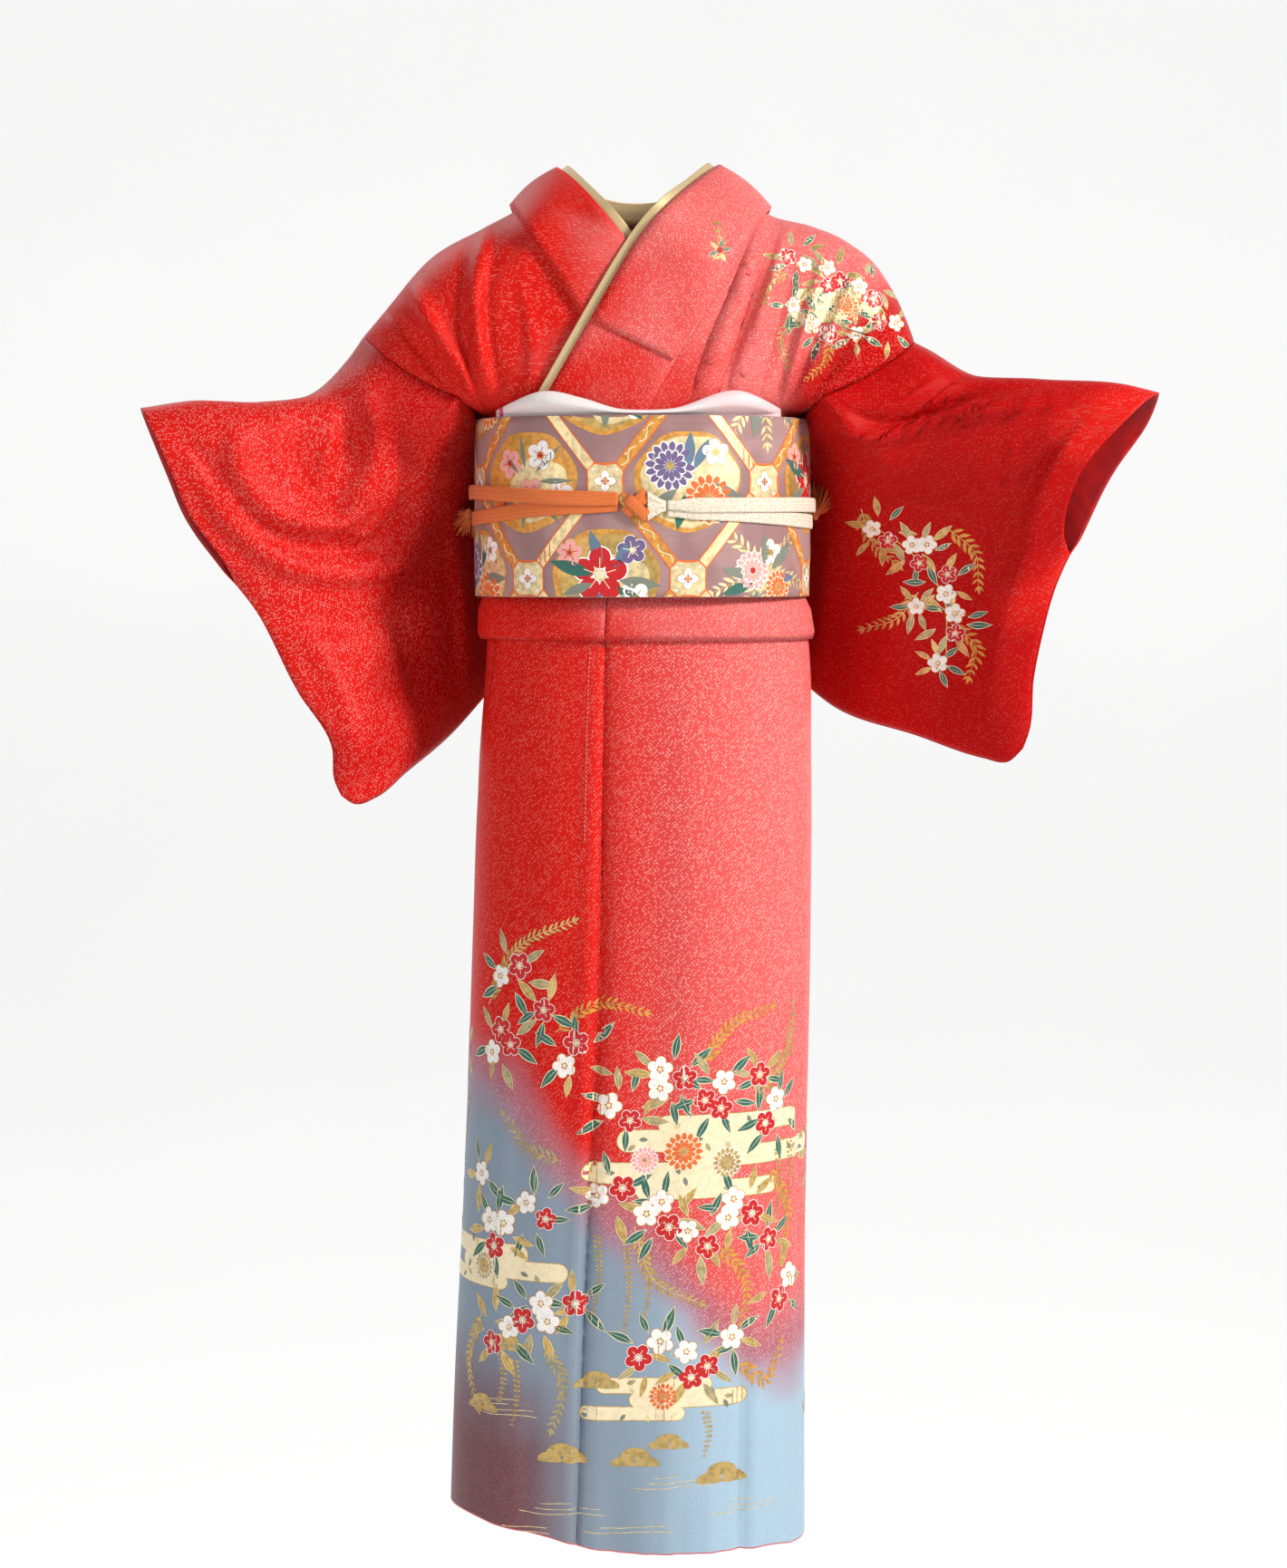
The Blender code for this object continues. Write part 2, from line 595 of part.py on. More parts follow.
def collar_rails(stations):
    """Seam line, free edge, outward normal and bulge of the collar."""
    seam = []
    edge = []
    for number, (x, z, edge_x, edge_z, place, _) in enumerate(COLLAR_ROWS):
        side = "left" if number <= COLLAR_MIDDLE else "right"
        behind = COLLAR_BACK[0] <= number <= COLLAR_BACK[1]
        high = COLLAR_SHOULDER[0] <= number <= COLLAR_SHOULDER[1]
        layers = SHOULDER_COLLAR_LAYERS if high else COLLAR_LAYERS
        lapped = side == "left" and not behind
        seam_layers = layers + (float(overlap_layers(x, z)) if lapped else 0.0)
        edge_layers = layers + (float(overlap_layers(edge_x, edge_z)) if lapped else 0.0)
        seam.append(chest_point(x, z, side, BACK if behind else FRONT, seam_layers))
        if place == FRONT:
            edge.append(chest_point(edge_x, edge_z, side, FRONT, edge_layers))
        else:
            edge.append(np.array([edge_x, place, edge_z]))
    numbers = np.arange(len(COLLAR_ROWS))
    bulge = run_through(numbers, [row[5] for row in COLLAR_ROWS], stations)
    seam = run_through(numbers, seam, stations)
    edge = run_through(numbers, edge, stations)
    tangent = np.gradient(seam + edge, axis=0)
    normal = np.cross(tangent, edge - seam)
    normal /= np.linalg.norm(normal, axis=-1, keepdims=True)
    return seam, edge, normal, bulge


def collar_strip(ends, across, lift, beyond=0.0):
    """A strip of the collar between two stations, raised by a distance."""
    first, last = ends
    stations = np.arange(first * STATION_STEPS, last * STATION_STEPS + 1) / STATION_STEPS
    seam, edge, normal, bulge = collar_rails(stations)
    width = np.linalg.norm(edge - seam, axis=-1)
    grid = []
    for w in across:
        place = np.where(w > 1.0, 1.0 + beyond / width, w)
        point = seam + (edge - seam) * place[:, None]
        swell = np.interp(w, [0.0, 0.5, 1.0], [0.0, 1.0, 0.0]) * bulge + lift
        grid.append(point + normal * swell[:, None])
    return np.array(grid)


def sleeve(side, columns, rows):
    """One sleeve: a bag folded over the arm, open at the cuff and inside edge."""
    lines = SLEEVE_ROWS[side]
    u = np.linspace(0.0, 1.0, columns)
    at_seam = np.linspace(0.0, 1.0, SEAM_POINTS)
    free = np.linspace(0.0, 1.0, rows - SEAM_POINTS + 1)[1:]
    fall = np.concatenate([ATTACHED * at_seam**1.3, ATTACHED + (1 - ATTACHED) * free])
    top = run_along(lines["top"], u)
    bottom = run_along(lines["bottom"], u)
    first = run_along(lines["inner"], fall)
    last = run_along(lines["outer"], fall)
    middle = patch(top, bottom, first, last)
    normal = normals_of(middle)
    normal *= np.where(normal[..., 1:2] > 0, -1.0, 1.0)
    drop = np.linalg.norm(middle - middle[:1], axis=-1)
    rise = np.linalg.norm(middle - middle[-1:], axis=-1)
    over_arm = rounded(drop / SLEEVE_ROUND)
    arm = SLEEVE_FULL["seam"] + (SLEEVE_FULL["cuff"] - SLEEVE_FULL["seam"]) * u[None, :]
    full = SLEEVE_FULL["bag"] + (arm - SLEEVE_FULL["bag"]) * ease(drop, 0.22, 0.04)
    at_hem = rounded(rise / SLEEVE_EDGE_ROUND)
    past_cuff = ease(fall, lines["cuff_end"] - 0.06, lines["cuff_end"] + 0.02)[:, None]
    from_edge = np.linalg.norm(middle - middle[:, -1:], axis=-1)
    at_edge = 1 - past_cuff * (1 - rounded(from_edge / SLEEVE_EDGE_ROUND))
    half = np.maximum(full * over_arm * at_hem * at_edge, SEAMED)
    half[0] = 0.0
    lift = fold_height(middle[..., 0], middle[..., 2], SLEEVE_FOLDS[side])
    lift = lift * ease(drop, 0.0, 0.06) * ease(rise, 0.0, 0.05)
    walls = []
    for facing in (FRONT, BACK):
        sign = 1 if facing == FRONT else -1
        height = half + (lift if facing == FRONT else 0.4 * lift)
        sheet = middle + sign * normal * height[..., None]
        attached = np.concatenate([at_seam, np.ones(len(free))])
        seam = sleeve_seam(side, attached, facing, SLEEVE_SEAM_GAP)
        pull = (seam - sheet[:, 0])[:, None] * (1 - ease(u, 0.0, 0.45))[None, :, None]
        sheet = sheet + pull * (1 - ease(fall, ATTACHED, ATTACHED + 0.10))[:, None, None]
        walls.append(sheet)
    walls[1][0] = walls[0][0]
    return np.concatenate([walls[0][::-1], walls[1][1:]])


def okumi_seam(z):
    """Angle of the seam between the left body panel and its overlap panel."""
    table = np.array(sorted(OKUMI_SEAM_ROWS))
    return angle_at(run_through(table[:, 0], table[:, 1], z), z)


def okumi_edge(z):
    """Angle of the free edge of the overlap panel."""
    table = np.array(sorted(OKUMI_EDGE_ROWS))
    return run_through(table[:, 0], table[:, 1], z)


def gap_angle(gap):
    """The angle that leaves a gap between two panels of the body."""
    return math.degrees(gap / 0.13)


def hem_at(angle):
    """Height of the hem, which is drawn up at the overlap's corner."""
    return HEM + HEM_RAISE * np.exp(-(((angle + 92.0) / 40.0) ** 2))


def skirt_panel(first, last, layers, columns, rows):
    """A panel of the skirt between two lines given as angles at a height."""
    fall = np.linspace(0.0, 1.0, rows)
    level = SKIRT_TOP + (HEM - SKIRT_TOP) * fall
    start = first(level)
    end = last(level)
    angle = start[:, None] + (end - start)[:, None] * np.linspace(0.0, 1.0, columns)[None, :]
    z = SKIRT_TOP + (hem_at(angle) - SKIRT_TOP) * fall[:, None]
    return skirt_point(angle, z, layers)


def skirt_point(angle, z, layers):
    """A point of the skirt with its creases."""
    flat = ring_point(angle, z)
    facing = ease(np.cos(np.radians(angle)), 0.0, 0.3)
    crease = fold_height(flat[..., 0], z, SKIRT_FOLDS) * facing * layers
    under = (1 - layers) * UNDER_DROP * ease(angle, -80.0, -60.0) * ease(angle, 85.0, 80.0)
    return ring_point(angle, z, layers * LAYER + crease - under)


def fixed(angle):
    """A line at the same angle all the way down."""
    return lambda z: np.full(np.shape(z), float(angle))


def ohashori_panel(first, last, columns):
    """A stretch of the fold below the obi, between two angles."""
    table = np.array(OHASHORI_ROWS)
    z = table[:, 1]
    start = first(z)
    end = last(z)
    angle = start[:, None] + (end - start)[:, None] * np.linspace(0.0, 1.0, columns)[None, :]
    return ring_point(angle, z[:, None], table[:, 0][:, None])


def obi_point(angle, z, out=0.0):
    """A point on the middle of the obi's wall."""
    angle, z, out = np.broadcast_arrays(np.radians(angle), z, out)
    reach = np.where(np.cos(angle) > 0, OBI_FRONT, OBI_BACK) + out
    half = OBI_HALF_WIDTH + out
    power = 2 / ROUNDNESS
    x = OBI_CENTRE_X + half * np.sign(np.sin(angle)) * np.abs(np.sin(angle)) ** power
    y = -reach * np.sign(np.cos(angle)) * np.abs(np.cos(angle)) ** power
    return np.stack([x, y, z], axis=-1)


def obi_angle(x):
    """The angle on the front of the obi that has this x."""
    across = (np.asarray(x) - OBI_CENTRE_X) / OBI_HALF_WIDTH
    return np.degrees(np.arcsin(np.sign(across) * np.abs(across) ** (ROUNDNESS / 2)))


def obi_columns(first, last):
    """The angles of the obi's own columns between two angles."""
    angle = np.linspace(-OBI_END_ANGLE, OBI_END_ANGLE, OBI_COLUMNS)
    return angle[(angle >= min(first, last)) & (angle <= max(first, last))]


def build_bodice(group, silk):
    """Both body panels above the obi."""
    for side in ("left", "right"):
        wall(group, "bodice_" + side, bodice(side, BODICE_COLUMNS, BODICE_ROWS), silk)


def build_sleeves(group, silk):
    """Both sleeves."""
    for side in ("left", "right"):
        wall(group, "sleeve_" + side, sleeve(side, SLEEVE_COLUMNS, SLEEVE_STEPS), silk)


def build_collar(group, silk, gold):
    """The collar, the over-collar on it and the strip of false collar under it."""
    wall(group, "collar", collar_strip((0, 19), (0.0, 0.5, 1.0), 0.0), silk)
    over = collar_strip(OVER_COLLAR_STATIONS, (0.02, 0.5, 0.985), LAYER)
    wall(group, "over_collar", over, silk)
    strip = collar_strip(DATE_ERI_STATIONS, (0.75, 1.0, 1.1), -DATE_ERI_DROP, DATE_ERI_SHOWS)
    wall(group, "date_eri", strip, gold)


def build_skirt(group, silk):
    """The panels below the obi, the left front lapped over the right."""
    inset = gap_angle(SEAM_GAP / 2 + 0.0001)
    side = SIDE_SEAM_ANGLE
    panels = [
        # name, first line, last line, layer, columns
        ("skirt_front_left", lambda z: okumi_seam(z) + inset, fixed(side), 1, 12),
        ("okumi_left", okumi_edge, lambda z: okumi_seam(z) - inset, 1, 9),
        ("skirt_front_right", fixed(-side), fixed(UNDER_SEAM_ANGLE - inset), 0, 11),
        ("okumi_right", fixed(UNDER_SEAM_ANGLE + inset), fixed(UNDER_EDGE_ANGLE), 0, 6),
        ("skirt_back_left", fixed(side - SIDE_LAP_ANGLE), fixed(180.0 - inset), 0, 9),
        ("skirt_back_right", fixed(-180.0 + inset), fixed(-side - 2 * inset), 0, 9),
    ]
    for name, first, last, layers, columns in panels:
        wall(group, name, skirt_panel(first, last, layers, columns, SKIRT_ROWS), silk)


def build_ohashori(group, silk):
    """The fold of cloth that shows below the obi."""
    inset = gap_angle(SEAM_GAP / 2 + 0.0001)
    side = SIDE_SEAM_ANGLE
    panels = [
        # name, first line, last line, columns
        ("ohashori_front", lambda z: okumi_seam(z) + inset, fixed(side - inset), 10),
        ("ohashori_okumi", fixed(-side + inset), lambda z: okumi_seam(z) - inset, 9),
        ("ohashori_back_left", fixed(side + inset), fixed(180.0 - inset), 8),
        ("ohashori_back_right", fixed(-180.0 + inset), fixed(-side - inset), 8),
    ]
    for name, first, last, columns in panels:
        wall(group, name, ohashori_panel(first, last, columns), silk)


def hung(rows, count, half_width, bow):
    """A length of the obi that hangs behind, from its side profile."""
    across = np.linspace(-1.0, 1.0, DRUM_COLUMNS)
    profile = run_along(rows, np.linspace(0.0, 1.0, count))
    grid = np.zeros((count, DRUM_COLUMNS, 3))
    grid[..., 0] = OBI_CENTRE_X + half_width * across
    grid[..., 1] = profile[:, :1] - bow * across**2
    grid[..., 2] = profile[:, 1:]
    return grid


def build_obi(group, brocade, backing):
    """The wrap round the body, the drum, its tail and the tied end."""
    angle = obi_columns(-OBI_END_ANGLE, OBI_END_ANGLE)[None, :]
    z = np.linspace(OBI_BOTTOM, OBI_TOP, OBI_ROWS)[:, None]
    bow = OBI_BOW * np.sin(np.linspace(0.0, math.pi, OBI_ROWS))[:, None]
    wall(group, "obi_wrap", obi_point(angle, z, bow), brocade, OBI_WALL)
    wall(group, "obi_drum", hung(DRUM_ROWS, DRUM_POINTS, DRUM_HALF_WIDTH, DRUM_BOW), brocade, TAIL_WALL)
    wall(group, "obi_tare", hung(TARE_ROWS, TARE_POINTS, TARE_HALF_WIDTH, 0.0), brocade, TAIL_WALL)
    across = np.linspace(-1.0, 1.0, TE_COLUMNS)
    te = np.zeros((len(TE_ROWS), TE_COLUMNS, 3))
    for number, (z_middle, z_end, right, left) in enumerate(TE_ROWS):
        te[number, :, 0] = (left + right) / 2 + (left - right) / 2 * across
        te[number, :, 1] = TE_PLACE - TE_END_CURL * np.abs(across) ** 5
        te[number, :, 2] = z_middle + (z_end - z_middle) * np.abs(across) ** 4
    wall(group, "obi_te", te, backing, TAIL_WALL)


def over_collar_point(x, z, layers):
    """A point in front of the bodice and of the collar's end, by layers."""
    base = EDGE_LAYERS + (FRONT_LAYERS - EDGE_LAYERS) * ease(np.abs(x), 0.140, 0.116)
    return chest_point(x, z, "left", FRONT, base + layers)


def build_obiage(group, silk):
    """The scarf's two humps along the top of the obi, tucked in behind it."""
    angle = obi_columns(obi_angle(OBIAGE_ROWS[0][0]), obi_angle(OBIAGE_ROWS[-1][0]))
    rim = obi_point(angle, np.full(len(angle), OBIAGE_TUCK), -OBIAGE_INSIDE)
    x = rim[:, 0]
    places = np.array(OBIAGE_ROWS)
    table = run_through(places[:, 0], places, x)
    level = np.full(len(angle), OBI_TOP + OBIAGE_RISE)
    high = table[:, 1]
    swell = table[:, 2] / LAYER
    rows = [rim, obi_point(angle, level, -OBIAGE_INSIDE)]
    for share, fullness, added in OBIAGE_PROFILE:
        rows.append(over_collar_point(x, level + (high - level) * share, added + swell * fullness))
    rows.append(over_collar_point(x, high - OBIAGE_RISE, OBIAGE_EDGE_LAYERS))
    wall(group, "obiage", np.array(rows), silk)


def build_pad(group, silk):
    """The padded roll that carries the drum, a tube that is open at both ends."""
    rounds = np.linspace(0.0, 2 * math.pi, PAD_SIDES + 1)
    along = np.linspace(-1.0, 1.0, PAD_RINGS)
    radius = PAD_RADIUS * np.sqrt(1 - (PAD_TAPER * along) ** 4)
    roll = np.zeros((len(along), len(rounds), 3))
    roll[..., 0] = OBI_CENTRE_X + along[:, None] * PAD_HALF_LENGTH
    roll[..., 1] = PAD_PLACE[0] + radius[:, None] * np.cos(rounds)
    roll[..., 2] = PAD_PLACE[1] + radius[:, None] * np.sin(rounds)
    wall(group, "obiage_pad", roll, silk, closed=True)


def cord_line(side, level, tilt, last):
    """A flat braid round the obi, from the knot to the side or into the drum."""
    sign = 1 if side == "left" else -1
    middle = obi_columns(sign * CORD_START, sign * last)
    angle = np.concatenate([[CORD_START], np.sort(np.abs(middle)), [last]]) * sign
    steps = (np.abs(angle) - CORD_START) / (last - CORD_START)
    out = OBI_WALL / 2 + OBI_BOW + SEAM_GAP + CORD_THICK / 2
    line = obi_point(angle, level + tilt * steps, out)
    if last == CORD_BEHIND_ANGLE:
        behind = [(OBI_CENTRE_X + sign * x, y, level + tilt) for x, y in CORD_BACK_ROWS]
        run = run_along([tuple(line[-1]), *behind], np.linspace(0.0, 1.0, CORD_BACK_POINTS))
        line = np.concatenate([line, run[1:]])
    up = np.array([0.0, 0.0, CORD_WIDTH / 2])
    return np.array([line - up, line, line + up])


def knot_band():
    """A short turn of braid that stands over the strands and meets the obi."""
    k = np.linspace(-1.0, 1.0, KNOT_ROWS)[:, None]
    across = np.linspace(-1.0, 1.0, KNOT_COLUMNS)[None, :]
    swell = KNOT_SWELL * np.sqrt(np.clip(1 - np.abs(k) ** 3, 0.0, 1.0))
    base = OBI_WALL / 2 + OBI_BOW + 2 * SEAM_GAP + KNOT_THICK / 2
    angle = obi_angle(KNOT_CENTRE_X + KNOT_HALF_WIDTH * across)
    height = KNOT_HALF_HEIGHT * (1 - KNOT_NARROWING * across)
    return obi_point(angle, KNOT_LEVEL + height * k, base + swell)


def tassel(group, name, root, aim, material):
    """A tassel: a small head with strands drawn out of its end."""
    shape = bmesh.new()
    bmesh.ops.create_grid(shape, x_segments=TASSEL_ACROSS, y_segments=TASSEL_DEEP, size=0.5)
    bmesh.ops.scale(shape, vec=(TASSEL_HEAD[0], TASSEL_HEAD[1], 1.0), verts=shape.verts)
    ends = list(shape.faces)
    made = bmesh.ops.extrude_face_region(shape, geom=ends, use_keep_orig=True)
    moved = [item for item in made["geom"] if isinstance(item, bmesh.types.BMVert)]
    bmesh.ops.translate(shape, vec=(0.0, 0.0, -TASSEL_HEAD[2]), verts=moved)
    bmesh.ops.recalc_face_normals(shape, faces=shape.faces)
    strands = [face for face in shape.faces if face.normal.z > 0.9]
    bmesh.ops.inset_individual(shape, faces=strands, thickness=STRAND_GAP)
    drawn = bmesh.ops.extrude_discrete_faces(shape, faces=strands)["faces"]
    for face in drawn:
        middle = face.calc_center_median()
        spread = (middle.x * TASSEL_SPREAD, middle.y * TASSEL_SPREAD, TASSEL_LENGTH)
        bmesh.ops.translate(shape, vec=spread, verts=face.verts)
    mesh = bpy.data.meshes.new(name)
    shape.to_mesh(mesh)
    shape.free()
    item = bpy.data.objects.new(name, mesh)
    group.objects.link(item)
    item.data.materials.append(material)
    item.location = root
    item.rotation_euler = Vector(aim).to_track_quat("Z", "Y").to_euler()


def build_cord(group, orange, cream):
    """The two halves of the cord, their tucked ends, the knot and the tassels."""
    for side, material in (("left", cream), ("right", orange)):
        run = cord_line(side, CORD_LEVEL, -CORD_TILT, CORD_BEHIND_ANGLE)
        wall(group, "obijime_" + side, run, material, CORD_THICK)
        end = cord_line(side, STRAND_LEVEL, CORD_TILT, STRAND_END_ANGLE)
        wall(group, "obijime_end_" + side, end, material, CORD_THICK)
        tassel(group, "tassel_" + side, TASSEL_ROOTS[side], TASSEL_AIMS[side], orange)
    wall(group, "obijime_knot", knot_band(), orange, KNOT_THICK)


def main():
    """Build the whole garment."""
    group = clear_scene()
    silk = paint("red silk", RED_SILK)
    collar_silk = paint("collar silk", COLLAR_SILK)
    gold = paint("gold strip", GOLD_STRIP)
    brocade = paint("obi brocade", OBI_BROCADE)
    backing = paint("obi backing", OBI_BACKING)
    white = paint("white silk", WHITE_SILK)
    orange = paint("orange cord", ORANGE_CORD)
    cream = paint("cream cord", CREAM_CORD)
    build_bodice(group, silk)
    build_sleeves(group, silk)
    build_collar(group, collar_silk, gold)
    build_skirt(group, silk)
    build_ohashori(group, silk)
    build_obi(group, brocade, backing)
    build_obiage(group, white)
    build_pad(group, white)
    build_cord(group, orange, cream)


main()
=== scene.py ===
"""Looks of the homongi kimono and its obi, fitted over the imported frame.

Metres, +Z up, the front faces -Y and +X is the wearer's left. Each cloth is a fine
grid of points on the same surface as its solid, with the smaller folds added. What
is dyed, woven or embroidered lies on the cloth as thin shapes made from its points.
"""
import json
import math
import random

import bmesh
import bpy
import numpy as np
from mathutils import Matrix, Vector
from mathutils.bvhtree import BVHTree
from mathutils.geometry import delaunay_2d_cdt

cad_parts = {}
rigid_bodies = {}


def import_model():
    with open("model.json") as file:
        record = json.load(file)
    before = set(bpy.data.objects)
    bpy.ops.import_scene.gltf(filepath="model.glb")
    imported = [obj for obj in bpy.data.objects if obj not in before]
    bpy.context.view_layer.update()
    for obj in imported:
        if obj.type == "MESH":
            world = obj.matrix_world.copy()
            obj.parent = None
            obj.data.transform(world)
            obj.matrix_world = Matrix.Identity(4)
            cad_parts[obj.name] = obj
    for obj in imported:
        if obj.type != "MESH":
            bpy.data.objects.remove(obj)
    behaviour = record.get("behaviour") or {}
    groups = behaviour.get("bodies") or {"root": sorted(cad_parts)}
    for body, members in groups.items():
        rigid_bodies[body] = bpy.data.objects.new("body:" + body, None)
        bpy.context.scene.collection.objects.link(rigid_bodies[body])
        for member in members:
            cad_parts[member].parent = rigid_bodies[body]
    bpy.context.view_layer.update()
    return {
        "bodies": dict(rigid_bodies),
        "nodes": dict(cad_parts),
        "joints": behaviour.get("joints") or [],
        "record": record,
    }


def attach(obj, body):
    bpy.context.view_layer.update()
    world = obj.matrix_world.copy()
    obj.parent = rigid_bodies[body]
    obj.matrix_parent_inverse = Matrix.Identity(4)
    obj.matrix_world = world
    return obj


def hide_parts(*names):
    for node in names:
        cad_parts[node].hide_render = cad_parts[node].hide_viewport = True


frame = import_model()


# Cloth and gaps
CLOTH = 0.0015
LAYER = 0.0024
SEAM_GAP = 0.0003
SLEEVE_SEAM_GAP = 0.0004
PANEL_GAP = SEAM_GAP / 2 + 0.0001
PANEL_RADIUS = 0.13

# Heights of the dressed garment
BODICE_BOTTOM = -0.38
OBI_TOP = -0.2445
OBI_BOTTOM = -0.414
OBI_WALL = 0.003
SKIRT_TOP = -0.428
HEM = -1.307
HEM_ROLL = 0.0012
HEM_ROWS = [
    # angle from the front, rise of the hem above its level
    (-180.0, 0.004), (-130.0, 0.012), (-90.0, 0.0215), (-60.0, 0.025), (-38.0, 0.0195), (-23.0, 0.016),
    (-8.0, 0.006), (10.0, 0.001), (30.0, 0.001), (48.0, -0.0005), (74.0, -0.0085), (95.0, -0.006),
    (130.0, 0.0), (180.0, 0.004),
]
ARMPIT = -0.226

# The body's section at each height: centre x, half width, front and back depth
ROUNDNESS = 2.4
BODY_ROWS = [
    # z, centre_x, half_width, front, back
    (-0.27, 0.004, 0.15, 0.117, 0.112),
    (-0.41, 0.005, 0.1505, 0.117, 0.112),
    (-0.454, 0.008, 0.1535, 0.118, 0.113),
    (-0.576, 0.0057, 0.159, 0.121, 0.118),
    (-0.734, 0.0035, 0.1605, 0.122, 0.12),
    (-0.997, -0.0036, 0.1625, 0.121, 0.12),
    (-1.158, -0.008, 0.166, 0.12, 0.121),
    (-1.307, -0.0105, 0.1685, 0.12, 0.122),
]
# Above the obi the section widens to the sleeve seams
CHEST_ROWS = [
    # z, centre_x, half_width, front, back
    (-0.27, 0.004, 0.15, 0.117, 0.112),
    (-0.241, 0.0035, 0.1515, 0.117, 0.112),
    (-0.226, 0.003, 0.18, 0.117, 0.112),
    (-0.2, 0.002, 0.238, 0.114, 0.112),
    (-0.15, 0.001, 0.3, 0.11, 0.11),
    (-0.1, 0.0, 0.305, 0.102, 0.106),
    (0.03, 0.0, 0.31, 0.09, 0.092),
]
# Top of the shoulders, from the middle out, for the wearer's left and right
SHOULDER_ROWS = {
    "left": [
        # distance from the middle, z
        (0.0, 0.02), (0.06, 0.005), (0.125, -0.045), (0.169, -0.057),
        (0.2015, -0.071), (0.235, -0.1), (0.257, -0.14), (0.2675, -0.168),
    ],
    "right": [
        (0.0, 0.02), (0.06, 0.005), (0.1206, -0.043), (0.1505, -0.059),
        (0.2086, -0.095), (0.2253, -0.114), (0.25, -0.144), (0.2657, -0.1625),
    ],
}
SHOULDER_ROUND = 0.07
BODICE_COLUMNS = 84
BODICE_ROWS = 100
# The seam between body and sleeve, from the shoulder down, then the side
SEAM_ROWS = {
    "left": [
        # distance from the middle, z
        (0.2675, -0.168), (0.238, -0.192), (0.202, -0.213), (0.172, ARMPIT),
    ],
    "right": [
        (0.2657, -0.1625), (0.234, -0.19), (0.197, -0.213), (0.167, ARMPIT),
    ],
}
SIDE_ROWS = [
    # distance from the middle, z
    (0.166, -0.241), (0.15, -0.268), (0.148, BODICE_BOTTOM),
]

# The collar: seam and free edge at stations from the left front to the right
FRONT = "front"
BACK = "back"
COLLAR_ROWS = [
    # seam x, z, edge x, z, edge y (or where it lies), bulge
    (-0.018, -0.282, -0.098, -0.248, FRONT, 0.0),
    (0.0, -0.256, -0.0845, -0.224, FRONT, 0.0),
    (0.034, -0.195, -0.045, -0.156, FRONT, 0.001),
    (0.06, -0.153, -0.0034, -0.084, FRONT, 0.002),
    (0.085, -0.112, 0.025, -0.05, FRONT, 0.003),
    (0.11, -0.071, 0.054, -0.019, -0.062, 0.004),
    (0.125, -0.046, 0.0755, 0.0005, -0.018, 0.004),
    (0.118, -0.052, 0.0765, -0.003, 0.022, 0.004),
    (0.093, -0.068, 0.066, -0.012, 0.062, 0.004),
    (0.05, -0.084, 0.037, -0.025, 0.09, 0.003),
    (0.0, -0.09, 0.0, -0.03, 0.098, 0.003),
    (-0.05, -0.084, -0.037, -0.025, 0.09, 0.003),
    (-0.091, -0.066, -0.066, -0.012, 0.062, 0.004),
    (-0.114, -0.05, -0.0765, -0.005, 0.022, 0.004),
    (-0.1206, -0.044, -0.0755, -0.002, -0.018, 0.004),
    (-0.104, -0.07, -0.055, -0.023, -0.062, 0.004),
    (-0.08, -0.108, -0.03, -0.054, FRONT, 0.0),
    (-0.055, -0.149, -0.0045, -0.087, FRONT, 0.0),
    (-0.03, -0.19, 0.02, -0.13, FRONT, 0.0),
    (-0.006, -0.228, 0.04, -0.166, FRONT, 0.0),
]
COLLAR_COLUMNS = 11
COLLAR_LAP = 0.006
NECK_INSET = 0.002
NECK_POINTS = {"left": (0.118, -0.04), "right": (-0.1135, -0.037)}
FRONT_EDGE_BOTTOM = {"left": -0.035, "right": 0.03}
COLLAR_MIDDLE = 10
COLLAR_BACK = (7, 13)
COLLAR_SHOULDER = (5, 15)
COLLAR_LAYERS = 1.4
SHOULDER_COLLAR_LAYERS = 2.2
OVERLAP_LAYERS = 3.6
STATION_STEPS = 10
OVER_COLLAR_STATIONS = (2, 18)
DATE_ERI_SHOWS = 0.0085
DATE_ERI_DROP = 0.003
DATE_ERI_STATIONS = (0, 19)

